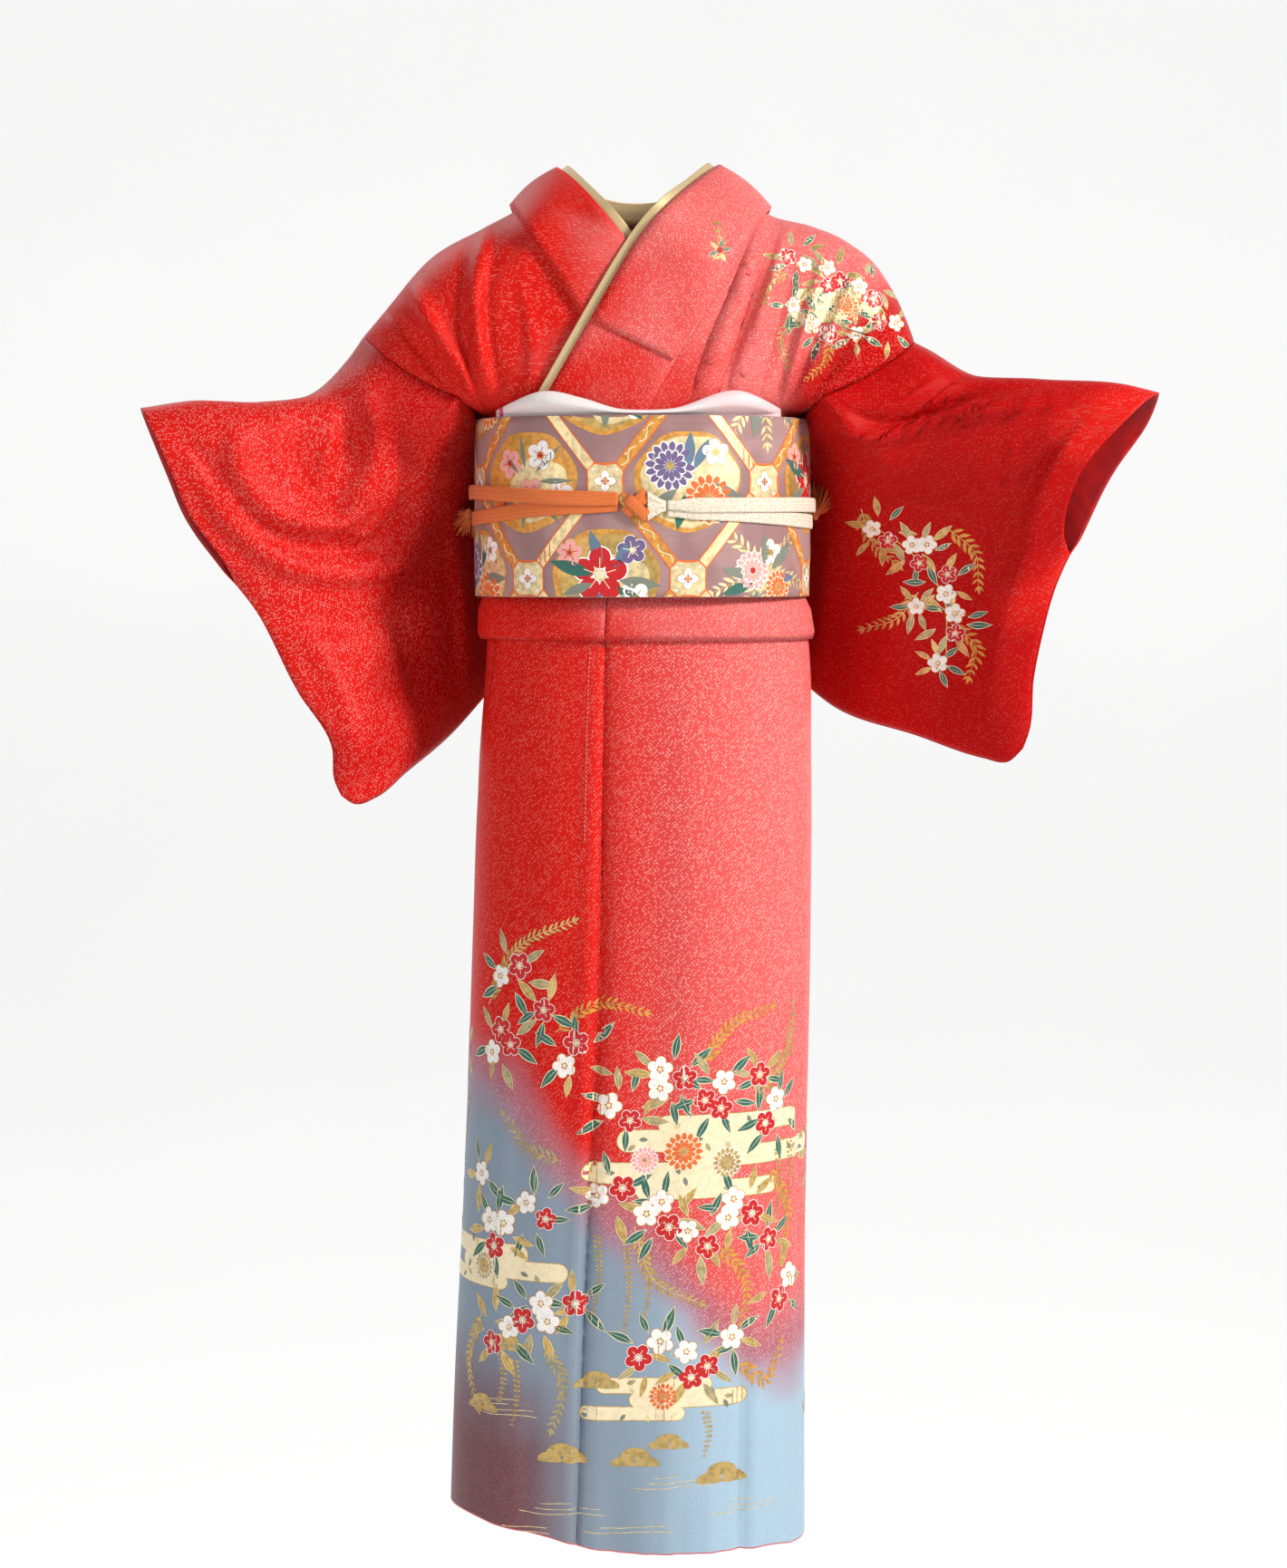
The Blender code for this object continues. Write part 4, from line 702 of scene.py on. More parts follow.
def ring_point(angle, z, out=0.0):
    """A point of the body's section, by its angle from the front towards +X."""
    angle, z, out = np.broadcast_arrays(np.radians(angle), z, out)
    centre, half, front, back = look_up(BODY_ROWS, z)
    reach = np.where(np.cos(angle) > 0, front, back)
    x, y = oval(angle, half, reach)
    normal_x = np.sin(angle) / half
    normal_y = -np.cos(angle) / reach
    length = np.hypot(normal_x, normal_y)
    return np.stack([centre + x + out * normal_x / length, y + out * normal_y / length, z], axis=-1)


def angle_at(x, z):
    """The angle on the front of the body's section that has this x."""
    centre, half = look_up(BODY_ROWS, z)[:2]
    return oval_angle((x - centre) / half)


def normals_of(grid):
    """Unit normals of a grid of points."""
    return unit(np.cross(np.gradient(grid, axis=1), np.gradient(grid, axis=0)))


def patch(top, bottom, first, last):
    """Fill a grid between four boundary lines: rows go down, columns go across."""
    v = shares(len(first))[:, None, None]
    u = shares(len(top))[None, :, None]
    down = (1 - v) * top[None] + v * bottom[None]
    across = (1 - u) * first[:, None] + u * last[:, None]
    upper_corners = (1 - u) * top[0] + u * top[-1]
    lower_corners = (1 - u) * bottom[0] + u * bottom[-1]
    return down + across - (1 - v) * upper_corners - v * lower_corners


def overlap_layers(x, z):
    """How many layers lie under the left front, towards the middle."""
    across = ease(x, 0.135, 0.06) * (0.6 + 0.4 * ease(x, -0.095, -0.045))
    low = ease(z, -0.3, -0.36)
    return across * (OVERLAP_LAYERS - (OVERLAP_LAYERS - 1.0) * low)


def chest_depth(x, z, side, facing):
    """How far the bodice stands out with its folds, which end above the obi."""
    depth = depth_at(x, z, side, facing)
    folds = BODICE_FOLDS if facing == FRONT else BACK_FOLDS
    shown = ease(depth, 0.0, 0.05) * ease(z, OBI_TOP + 0.002, OBI_TOP + 0.03)
    return depth + fold_height(x, z, folds) * shown + seam_fill(x, z, side, facing, depth)


def seam_fill(x, z, side, facing, depth):
    """How far the cloth comes out near the sleeve's seam, so that the sleeve follows on smoothly."""
    sign = sign_of(side)
    line = run_along(SEAM_ROWS[side], shares(24)) * [sign, 1]
    away = ((x[..., None] - line[:, 0]) ** 2 + (z[..., None] - line[:, 1]) ** 2).min(axis=-1)
    inner = depth_at(x - sign * SEAM_REACH * 0.5, z + SEAM_REACH * 0.87, side, facing) - SEAM_DROP
    near = np.exp(-away / SEAM_FADE**2) * ease(depth, 0.01, 0.04) * ease(z, OBI_TOP, OBI_TOP + 0.015)
    return np.maximum(inner - depth, 0.0) * near


def chest_point(x, z, side, facing, layers=0.0):
    """A point of the bodice seen at x and z, raised by layers of cloth."""
    x, z, layers = np.broadcast_arrays(np.asarray(x, dtype=float), z, layers)
    depth = chest_depth(x, z, side, facing)
    near = 0.0015
    slope_x = (chest_depth(x + near, z, side, facing) - chest_depth(x - near, z, side, facing))
    slope_z = (depth - chest_depth(x, z - near, side, facing))
    normal = np.stack([-slope_x / (2 * near), np.ones(x.shape), -slope_z / near], axis=-1)
    normal[..., 0] = np.clip(normal[..., 0], -3.0, 3.0)
    normal[..., 2] = np.clip(normal[..., 2], -0.3, 8.0)
    point = np.stack([x, depth, z], axis=-1) + unit(normal) * (layers * LAYER)[..., None]
    if facing == FRONT:
        point[..., 1] *= -1
    return point


def sleeve_seam(side, t, facing, out):
    """Points of the seam from the shoulder to the armpit, front or back."""
    line = run_along(SEAM_ROWS[side], t)
    sign = sign_of(side)
    points = chest_point(sign * line[..., 0], line[..., 1], side, facing)
    points[..., 0] += sign * out * 0.6
    points[..., 2] -= out * 0.8
    return points


def bodice(side, columns, rows):
    """One body panel: up the front, over the shoulder and down the back."""
    sign = sign_of(side)
    across = np.sin(shares(columns) * math.pi / 2)
    halves = []
    for facing in (FRONT, BACK):
        seam = run_along(SEAM_ROWS[side], shares(SEAM_POINTS))
        low = run_along([SEAM_ROWS[side][-1], *SIDE_ROWS], shares(rows - SEAM_POINTS + 1))
        last = np.concatenate([seam, low[1:]]) * [sign, 1]
        first = bodice_middle_edge(side, facing, rows)
        shoulder_x = np.linspace(abs(first[0, 0]), abs(last[0, 0]), columns)
        top = np.stack([sign * shoulder_x, look_up(SHOULDER_ROWS[side], shoulder_x)[0]], axis=-1)
        first[0] = top[0]
        bottom_x = first[-1, 0] + (last[-1, 0] - first[-1, 0]) * across
        bottom = np.stack([bottom_x, np.full(columns, BODICE_BOTTOM)], axis=-1)
        flat = patch(top, bottom, first, last)
        x, z = flat[..., 0], flat[..., 1]
        layers = overlap_layers(x, z) if side == "left" and facing == FRONT else 0.0
        sheet = chest_point(x, z, side, facing, layers)
        sheet[0, :, 1] = 0.0
        halves.append(sheet)
    front, back = halves
    return np.concatenate([front[::-1], back[1:]])


def bodice_middle_edge(side, facing, rows):
    """The edge of a body panel along the collar or down the middle of the back."""
    sign = sign_of(side)
    seams = [row[:2] for row in COLLAR_ROWS]
    front_first, front_last = COLLAR_SHOULDER
    back_first, back_last = COLLAR_BACK
    start = NECK_POINTS[side]
    if facing == FRONT:
        line = seams[front_first::-1] if side == "left" else seams[front_last:]
        line = [(x - sign * COLLAR_LAP, z) for x, z in line]
        line.append((FRONT_EDGE_BOTTOM[side], BODICE_BOTTOM))
        return run_along([start, *line], 1 - np.cos(shares(rows) * math.pi / 2))
    half = seams[back_first:COLLAR_MIDDLE] if side == "left" else seams[back_last:COLLAR_MIDDLE:-1]
    gap = sign * PANEL_GAP
    neck = [(x - sign * NECK_INSET, z + COLLAR_LAP * 0.8) for x, z in half]
    corner = (gap, COLLAR_ROWS[COLLAR_MIDDLE][1] + COLLAR_LAP)
    count = rows // 3
    upper = run_along([start, *neck, corner], shares(count) ** 1.3)
    lower = run_along([corner, (gap, BODICE_BOTTOM)], shares(rows - count + 1))
    return np.concatenate([upper, lower[1:]])


def collar_rails(stations):
    """Seam line, free edge, outward normal and bulge of the collar."""
    seam = []
    edge = []
    for number, (x, z, edge_x, edge_z, place, _) in enumerate(COLLAR_ROWS):
        side = "left" if number <= COLLAR_MIDDLE else "right"
        behind = COLLAR_BACK[0] <= number <= COLLAR_BACK[1]
        high = COLLAR_SHOULDER[0] <= number <= COLLAR_SHOULDER[1]
        layers = SHOULDER_COLLAR_LAYERS if high else COLLAR_LAYERS
        lapped = side == "left" and not behind
        seam_layers = layers + (float(overlap_layers(x, z)) if lapped else 0.0)
        edge_layers = layers + (float(overlap_layers(edge_x, edge_z)) if lapped else 0.0)
        seam.append(chest_point(x, z, side, BACK if behind else FRONT, seam_layers))
        if place == FRONT:
            edge.append(chest_point(edge_x, edge_z, side, FRONT, edge_layers))
        else:
            edge.append(np.array([edge_x, place, edge_z]))
    numbers = np.arange(len(COLLAR_ROWS))
    bulge = run_through(numbers, [row[5] for row in COLLAR_ROWS], stations)
    seam = run_through(numbers, seam, stations)
    edge = run_through(numbers, edge, stations)
    normal = unit(np.cross(np.gradient(seam + edge, axis=0), edge - seam))
    return seam, edge, normal, bulge


def sleeve_fullness(middle, lines, u, fall, drop, rise):
    """Half the thickness of the bag: full over the arm, closed at its rounded edges."""
    arm = SLEEVE_FULL["seam"] + (SLEEVE_FULL["cuff"] - SLEEVE_FULL["seam"]) * u[None, :]
    full = SLEEVE_FULL["bag"] + (arm - SLEEVE_FULL["bag"]) * ease(drop, 0.22, 0.04)
    past_cuff = ease(fall, lines["cuff_end"] - 0.06, lines["cuff_end"] + 0.02)[:, None]
    from_edge = np.linalg.norm(middle - middle[:, -1:], axis=-1)
    at_edge = 1 - past_cuff * (1 - rounded(from_edge / SLEEVE_EDGE_ROUND))
    half = full * rounded(drop / SLEEVE_ROUND) * rounded(rise / SLEEVE_EDGE_ROUND) * at_edge
    half = np.maximum(half, SEAMED)
    half[0] = 0.0
    return half


def sleeve(side, columns, rows):
    """One sleeve: a bag folded over the arm, open at the cuff and inside edge."""
    lines = SLEEVE_ROWS[side]
    u = shares(columns)
    at_seam = shares(SEAM_POINTS)
    free = shares(rows - SEAM_POINTS + 1)[1:]
    fall = np.concatenate([ATTACHED * at_seam**1.3, ATTACHED + (1 - ATTACHED) * free])
    first = run_along(lines["inner"], fall)
    last = run_along(lines["outer"], fall)
    middle = patch(run_along(lines["top"], u), run_along(lines["bottom"], u), first, last)
    normal = normals_of(middle)
    normal *= np.where(normal[..., 1:2] > 0, -1.0, 1.0)
    drop = np.linalg.norm(middle - middle[:1], axis=-1)
    rise = np.linalg.norm(middle - middle[-1:], axis=-1)
    half = sleeve_fullness(middle, lines, u, fall, drop, rise)
    lift = fold_height(middle[..., 0], middle[..., 2], SLEEVE_FOLDS[side])
    lift = lift * ease(drop, 0.0, 0.06) * ease(rise, 0.0, 0.05)
    attached = np.concatenate([at_seam, np.ones(len(free))])
    walls = []
    for facing in (FRONT, BACK):
        sign = 1 if facing == FRONT else -1
        height = half + (lift if facing == FRONT else 0.4 * lift)
        sheet = middle + sign * normal * height[..., None]
        seam = sleeve_seam(side, attached, facing, SLEEVE_SEAM_GAP)
        pull = (seam - sheet[:, 0])[:, None] * (1 - ease(u, 0.0, 0.45))[None, :, None]
        sheet = sheet + pull * (1 - ease(fall, ATTACHED, ATTACHED + 0.1))[:, None, None]
        if facing == FRONT:
            open_cuff = np.sin(math.pi * np.clip(fall / lines["cuff_end"], 0.0, 1.0)) ** 0.8
            sheet[..., 0] -= lines["cuff_gap"] * open_cuff[:, None] * ease(u, 0.7, 1.0)[None, :]
        walls.append(sheet)
    walls[1][0] = walls[0][0]
    return np.concatenate([walls[0][::-1], walls[1][1:]])


def okumi_seam(z):
    """Angle of the seam between the left body panel and its overlap panel."""
    return angle_at(look_up(OKUMI_SEAM_ROWS, z)[0], z)


def okumi_edge(z):
    """Angle of the free edge of the overlap panel."""
    return look_up(OKUMI_EDGE_ROWS, z)[0]


def gap_angle(gap):
    """The angle that leaves a gap between two panels of the body."""
    return math.degrees(gap / PANEL_RADIUS)


def hem_at(angle):
    """Height of the hem, which is drawn up at the overlap's corner."""
    return HEM + look_up(HEM_ROWS, angle)[0]


def spread(first, last, columns):
    """Even columns between the first and the last angle of each row."""
    return first[:, None] + (last - first)[:, None] * shares(columns)


def skirt_panel(first, last, layers, columns, rows):
    """A panel of the skirt between two lines given as angles at a height."""
    fall = np.append(np.linspace(0.0, 1.0 - HEM_ROLL / (SKIRT_TOP - HEM), rows), 1.0)
    level = SKIRT_TOP + (HEM - SKIRT_TOP) * fall
    angle = spread(first(level), last(level), columns)
    z = SKIRT_TOP + (hem_at(angle) - SKIRT_TOP) * fall[:, None]
    return skirt_point(angle, z, layers)


def skirt_point(angle, z, layers):
    """A point of the skirt with its creases."""
    flat = ring_point(angle, z)
    forward = np.cos(np.radians(angle))
    crease = fold_height(flat[..., 0], z, SKIRT_FOLDS) * ease(forward, 0.0, 0.3) * layers
    crease = crease + fold_height(flat[..., 0], z, BACK_SKIRT_FOLDS) * ease(-forward, 0.0, 0.3)
    under = (1 - layers) * UNDER_DROP * ease(angle, -80.0, -60.0) * ease(angle, 85.0, 80.0)
    return ring_point(angle, z, layers * LAYER + crease - under)


def fixed(angle):
    """A line at the same angle all the way down."""
    return lambda z: np.full(np.shape(z), float(angle))


def ohashori_panel(first, last, columns):
    """A stretch of the fold below the obi, between two angles."""
    out, z = np.array(OHASHORI_ROWS).T
    return ring_point(spread(first(z), last(z), columns), z[:, None], out[:, None])


def obi_point(angle, z, out):
    """A point on the middle of the obi's wall."""
    angle, z, out = np.broadcast_arrays(np.radians(angle), z, out)
    reach = np.where(np.cos(angle) > 0, OBI_FRONT, OBI_BACK) + out
    x, y = oval(angle, OBI_HALF_WIDTH + out, reach)
    return np.stack([OBI_CENTRE_X + x, y, z], axis=-1)


def obi_angle(x):
    """The angle on the front of the obi that has this x."""
    return oval_angle((np.asarray(x) - OBI_CENTRE_X) / OBI_HALF_WIDTH)


def obi_columns(first, last):
    """The angles of the obi's own columns between two angles."""
    angle = np.linspace(-OBI_END_ANGLE, OBI_END_ANGLE, OBI_COLUMNS)
    return angle[(angle >= min(first, last)) & (angle <= max(first, last))]


def put(tree, kind, inputs=None, **settings):
    """Add a node with its inputs, given as values or sockets, and hand back its outputs."""
    node = tree.nodes.new(kind)
    for key, value in settings.items():
        setattr(node, key, value)
    for key, value in (inputs or {}).items():
        if isinstance(value, bpy.types.NodeSocket):
            tree.links.new(value, node.inputs[key])
        else:
            node.inputs[key].default_value = value
    return node.outputs


def sum_of(tree, operation, first, second=0.0, clamp=False):
    """One arithmetic node."""
    return put(tree, "ShaderNodeMath", {0: first, 1: second}, operation=operation, use_clamp=clamp)[0]


def plus(tree, first, second):
    """Two values added."""
    return sum_of(tree, "ADD", first, second)


def minus(tree, first, second):
    """The second value taken from the first."""
    return sum_of(tree, "SUBTRACT", first, second)


def times(tree, first, second):
    """Two values multiplied."""
    return sum_of(tree, "MULTIPLY", first, second)


def smooth_step(tree, value, low, high):
    """0 at low, 1 at high, smooth between."""
    inputs = {"Value": value, "From Min": low, "From Max": high}
    return put(tree, "ShaderNodeMapRange", inputs, interpolation_type="SMOOTHSTEP")["Result"]


def blend(tree, share, first, second):
    """Mix two colours."""
    return put(tree, "ShaderNodeMix", {0: share, 6: first, 7: second}, data_type="RGBA")[2]


def blend_value(tree, share, first, second):
    """Mix two plain values."""
    return put(tree, "ShaderNodeMix", {0: share, 2: first, 3: second})[0]


def new_finish(name, roughness, sheen=0.0, metallic=0.0, tint=WHITE):
    """A material with its shader's plain values set."""
    finish = bpy.data.materials.new(name)
    finish.use_nodes = True
    tree = finish.node_tree
    plain = {
        "Roughness": roughness, "Metallic": metallic, "Sheen Weight": sheen, "Sheen Roughness": 0.45,
        "Sheen Tint": tint, "Specular Tint": tint, "Specular IOR Level": 0.35,
    }
    for key, value in plain.items():
        tree.nodes["Principled BSDF"].inputs[key].default_value = value
    return finish, tree


def dress(finish, colour, height, distance, strength=1.0):
    """Give a finish its colour and raise it by a height from 0 to 1 times a distance."""
    tree = finish.node_tree
    shader = tree.nodes["Principled BSDF"]
    tree.links.new(colour, shader.inputs["Base Color"])
    relief = put(tree, "ShaderNodeBump", {"Height": height, "Distance": distance, "Strength": strength})
    tree.links.new(relief["Normal"], shader.inputs["Normal"])
    return finish


def places(tree):
    """The place along the cloth, the place in space, and that place's x and z."""
    coordinates = put(tree, "ShaderNodeTexCoord")
    parts = put(tree, "ShaderNodeSeparateXYZ", {0: coordinates["Object"]})
    return coordinates["UV"], coordinates["Object"], parts["X"], parts["Z"]


def flecks(tree, uv, share):
    """Small slanting flecks of the figured weave, as a mask."""
    inputs = {"Vector": uv, "Rotation": (0.0, 0.0, FLECK_TURN), "Scale": (*FLECK_SIZE, 1.0)}
    place = put(tree, "ShaderNodeMapping", inputs, vector_type="TEXTURE")[0]
    cells = put(tree, "ShaderNodeTexVoronoi", {"Vector": place, "Scale": 1.0}, voronoi_dimensions="2D")
    near = smooth_step(tree, cells["Distance"], 0.48, 0.16)
    chance = put(tree, "ShaderNodeSeparateColor", {0: cells["Color"]})[0]
    chosen = smooth_step(tree, chance, 1.0 - share, 1.08 - share)
    return times(tree, near, chosen)


def crepe(tree, uv, scale):
    """Fine uneven grain of twisted silk threads."""
    inputs = {"Vector": uv, "Scale": scale, "Detail": 2.0, "Roughness": 0.6}
    return put(tree, "ShaderNodeTexNoise", inputs, noise_dimensions="2D")["Fac"]


def ribs_of(tree, place, direction, scale, waver):
    """Even ribs across a direction, as a height."""
    inputs = {"Vector": place, "Scale": scale, "Distortion": waver}
    return put(tree, "ShaderNodeTexWave", inputs, wave_type="BANDS", bands_direction=direction)["Fac"]


def figured(finish, uv, ground, fleck, share, glint):
    """Finish a silk with its woven flecks and the fine grain of its threads."""
    tree = finish.node_tree
    tree.nodes["Principled BSDF"].inputs["Specular IOR Level"].default_value = SILK_GLOSS
    mask = flecks(tree, uv, share)
    colour = blend(tree, times(tree, mask, glint), ground, fleck)
    grain = times(tree, crepe(tree, uv, 1500.0), 0.5)
    return dress(finish, colour, plus(tree, grain, mask), 0.00016)


def figured_silk(name, lit_and_shaded_grounds, lights, low_x, high_x, glint, share, armpit):
    """Red figured silk with light flecks, whose ground and flecks change from one x to another as painted
    light and painted shade, with painted shade past the armpit if asked.
    """
    finish, tree = new_finish(name, 0.42, 0.0, 0.0, SILK_TINT)
    uv, _, x, z = places(tree)
    patches = {"Vector": uv, "Scale": 9.0, "Detail": 1.0}
    shade = put(tree, "ShaderNodeTexNoise", patches, noise_dimensions="2D")["Fac"]
    wander = times(tree, minus(tree, shade, 0.5), 0.25)
    # painted light and painted shade: how far the ground and flecks have gone from the first copy of the red
    # to the second across x
    change = smooth_step(tree, plus(tree, x, wander), low_x, high_x)
    ground = blend(tree, change, *lit_and_shaded_grounds)
    fleck = blend(tree, change, *lights)
    # painted shade under the arm: beside the armpit the ground turns to DEEP_RED and the flecks turn to
    # FLECK_RED
    if armpit:
        beyond = minus(tree, times(tree, x, 0.8), times(tree, z, 0.9))
        armpit_shade = times(tree, smooth_step(tree, beyond, 0.272, 0.322), smooth_step(tree, x, 0.12, 0.16))
        armpit_shade = times(tree, armpit_shade, smooth_step(tree, z, -0.3, -0.25))
        ground = blend(tree, armpit_shade, ground, DEEP_RED)
        fleck = blend(tree, armpit_shade, fleck, FLECK_RED)
    return figured(finish, uv, ground, fleck, share, glint)


def dyed_silk():
    """The skirt's silk: red that fades to slate, pale blue and plum at the hem; the red and its flecks turn
    pinker towards +x as painted light.
    """
    finish, tree = new_finish("dyed_silk", 0.42, 0.0, 0.0, SILK_TINT)
    uv, place, x, z = places(tree)
    across = sum_of(tree, "DIVIDE", sum_of(tree, "SUBTRACT", 0.165, x), 0.33, clamp=True)
    rise = times(tree, smooth_step(tree, across, 0.08, 0.7), DYE_RISE)
    left_rise = times(tree, smooth_step(tree, across, 0.62, 0.97), DYE_LEFT_RISE)
    edge = plus(tree, plus(tree, rise, left_rise), DYE_LOWEST)
    cloud = put(tree, "ShaderNodeTexNoise", {"Vector": place, "Scale": 7.0})
    wander = times(tree, minus(tree, cloud["Fac"], 0.5), 0.12)
    below = plus(tree, minus(tree, edge, z), wander)
    # painted light: the red turns from CRIMSON_RED to the pinker ROSE_RED towards +x
    red = blend(tree, smooth_step(tree, x, -0.07, 0.15), CRIMSON_RED, ROSE_RED)
    to_mauve = blend(tree, smooth_step(tree, below, -0.06, 0.0), red, DYE_MAUVE)
    slate = blend(tree, smooth_step(tree, x, -0.02, 0.08), DYE_SLATE, DYE_PALE_BLUE)
    to_slate = blend(tree, smooth_step(tree, below, -0.005, 0.06), to_mauve, slate)
    low = smooth_step(tree, plus(tree, z, wander), -1.09, -1.21)
    left = smooth_step(tree, x, -0.035, -0.12)
    plum = blend(tree, times(tree, low, left), to_slate, DYE_PLUM)
    # painted light: the flecks turn from FLECK_RED to FLECK_PINK towards +x
    pink = blend(tree, smooth_step(tree, x, -0.06, 0.06), FLECK_RED, FLECK_PINK)
    fleck = blend(tree, smooth_step(tree, below, -0.03, 0.03), pink, FLECK_PALE)
    glint = blend_value(tree, smooth_step(tree, below, 0.0, 0.05), 0.64, 0.14)
    return figured(finish, uv, plum, fleck, FLECK_SHARE, glint)


def plain_silk(name, first, second, scale):
    """A plain silk whose colour wanders a little between two shades."""
    finish, tree = new_finish(name, 0.5, 0.1)
    uv = places(tree)[0]
    colour = blend(tree, smooth_step(tree, crepe(tree, uv, scale), 0.4, 0.62), first, second)
    return dress(finish, colour, crepe(tree, uv, 1300.0), 0.00014)


def woven_obi():
    """The obi's ground: mauve with fine cross ribs and a faint change of tone."""
    finish, tree = new_finish("obi_ground", 0.44, 0.12)
    uv = places(tree)[0]
    ground = blend(tree, smooth_step(tree, crepe(tree, uv, 16.0), 0.36, 0.64), OBI_MAUVE_DEEP, OBI_MAUVE)
    ribs = ribs_of(tree, uv, "Y", 320.0, 0.4)
    colour = blend(tree, times(tree, ribs, 0.18), ground, OBI_RIB)
    return dress(finish, colour, ribs, 0.00022)


def scarf_silk():
    """White scarf silk with pale pink tied spots near its ends and the middle."""
    finish, tree = new_finish("scarf_silk", 0.55, 0.2)
    uv, _, x, _ = places(tree)
    right = sum_of(tree, "ABSOLUTE", minus(tree, x, 0.105))
    pink = smooth_step(tree, right, 0.06, 0.015)
    line = smooth_step(tree, sum_of(tree, "ABSOLUTE", plus(tree, x, 0.129)), 0.0028, 0.0012)
    soft = blend(tree, times(tree, pink, 0.55), SCARF_WHITE, SCARF_PINK)
    colour = blend(tree, line, soft, SCARF_MAGENTA)
    spots = put(tree, "ShaderNodeTexVoronoi", {"Vector": uv, "Scale": 420.0}, voronoi_dimensions="2D")
    return dress(finish, colour, spots["Distance"], 0.0004, 0.5)


def braid(name, first, second, fleck):
    """Flat braid: lengthwise ridges crossed by slanting threads."""
    finish, tree = new_finish(name, 0.55, 0.15)
    uv = places(tree)[0]
    place = put(tree, "ShaderNodeSeparateXYZ", {0: uv})
    ridges = sum_of(tree, "SINE", times(tree, place["X"], 2 * math.pi / 0.003))
    slant = plus(tree, times(tree, ridges, 0.0006), place["Y"])
    threads = sum_of(tree, "SINE", times(tree, slant, 2 * math.pi / 0.0016))
    half = smooth_step(tree, threads, -0.8, 0.8)
    ground = blend(tree, half, first, second)
    spark = smooth_step(tree, crepe(tree, uv, 480.0), 0.56, 0.64)
    colour = blend(tree, times(tree, spark, fleck), ground, CORD_GOLD)
    return dress(finish, colour, plus(tree, times(tree, ridges, 0.5), half), 0.00035)


def strip_gold():
    """The false collar's strip: gold silk with a fine slanting twill."""
    finish, tree = new_finish("strip_gold", 0.42, 0.1, 0.25)
    twill = ribs_of(tree, places(tree)[0], "DIAGONAL", 420.0, 0.0)
    colour = blend(tree, times(tree, twill, 0.5), STRIP_GOLD, STRIP_PALE)
    return dress(finish, colour, twill, 0.00012)


def ink_finish(name):
    """Dye, leaf or floss laid on the cloth, with fine threads across it."""
    colour, metallic, roughness = INKS[name]
    finish, tree = new_finish("ink_" + name, roughness, 0.05, metallic)
    place = places(tree)[1]
    shade = put(tree, "ShaderNodeTexNoise", {"Vector": place, "Scale": 160.0, "Detail": 2.0})
    dark = tuple(channel * (0.72 if metallic else 0.9) for channel in colour)
    mixed = blend(tree, smooth_step(tree, shade["Fac"], 0.35, 0.6), (*dark, 1.0), (*colour, 1.0))
    return dress(finish, mixed, ribs_of(tree, place, "DIAGONAL", 260.0, 1.0), 0.00012)


def quads(rows, columns):
    """The corners of each face of a grid of points."""
    numbers = np.arange(rows * columns).reshape(rows, columns)
    corners = [numbers[:-1, :-1], numbers[:-1, 1:], numbers[1:, 1:], numbers[1:, :-1]]
    return np.stack(corners, axis=-1).reshape(-1, 4)


def grid_mesh(name, grid):
    """A mesh from a grid of points, with a UV map in metres along the cloth."""
    faces = quads(*grid.shape[:2])
    across = np.zeros(grid.shape[:2])
    down = np.zeros(grid.shape[:2])
    across[:, 1:] = np.cumsum(np.linalg.norm(np.diff(grid, axis=1), axis=-1), axis=1)
    down[1:] = np.cumsum(np.linalg.norm(np.diff(grid, axis=0), axis=-1), axis=0)
    mesh = bpy.data.meshes.new(name)
    mesh.from_pydata(grid.reshape(-1, 3).tolist(), [], faces.tolist())
    uv = np.stack([across, down], axis=-1).reshape(-1, 2)[faces.ravel()]
    mesh.uv_layers.new(name="cloth").data.foreach_set("uv", uv.ravel())
    mesh.shade_smooth()
    return mesh


def outward(grid, centre):
    """The same grid with its faces turned away from a centre."""
    normals = np.cross(np.gradient(grid, axis=1), np.gradient(grid, axis=0))
    return grid if (normals * (grid - centre)).sum() > 0 else grid[:, ::-1]


def flat_size(grid):
    """Mean width, mean length and area of the cloth in a grid."""
    across = np.linalg.norm(np.diff(grid, axis=1), axis=-1)
    down = np.linalg.norm(np.diff(grid, axis=0), axis=-1)
    side = grid[1:, :-1] - grid[:-1, :-1]
    base = grid[:-1, 1:] - grid[:-1, :-1]
    area = np.linalg.norm(np.cross(base, side), axis=-1).sum()
    return float(across.sum(axis=1).mean()), float(down.sum(axis=0).mean()), float(area)


def in_scene(name, data):
    """A new object in the scene."""
    item = bpy.data.objects.new(name, data)
    bpy.context.scene.collection.objects.link(item)
    return item


def add_piece(name, mesh, finishes, nodes=()):
    """Put a mesh in the scene as a piece that rides on the garment."""
    piece = in_scene(name, mesh)
    for finish in finishes:
        mesh.materials.append(finish)
    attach(piece, "root")
    if nodes:
        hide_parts(*nodes)
    return piece


def thicken(piece, thick):
    """Give a sheet its thickness, half to each side."""
    shell = piece.modifiers.new("cloth", "SOLIDIFY")
    shell.thickness = thick
    shell.offset = 0.0
    return shell


def cloth(name, grid, centre, finishes, held, rests_on, thick=CLOTH):
    """A sheet of cloth over the CAD node of the same name."""
    grid = outward(grid, centre)
    piece = add_piece(name + "_cloth", grid_mesh(name, grid), finishes, [name])
    thicken(piece, thick).material_offset = len(finishes) - 1
    width, length, area = flat_size(grid)
    area = min(area, width * length)
    PIECES[name] = (grid, thick)
    SHEETS.append((piece, (width, length), held, rests_on, area, []))
    return piece


def axis_of(grid):
    """The body's axis at the height of each point."""
    return grid * [0.0, 0.0, 1.0]


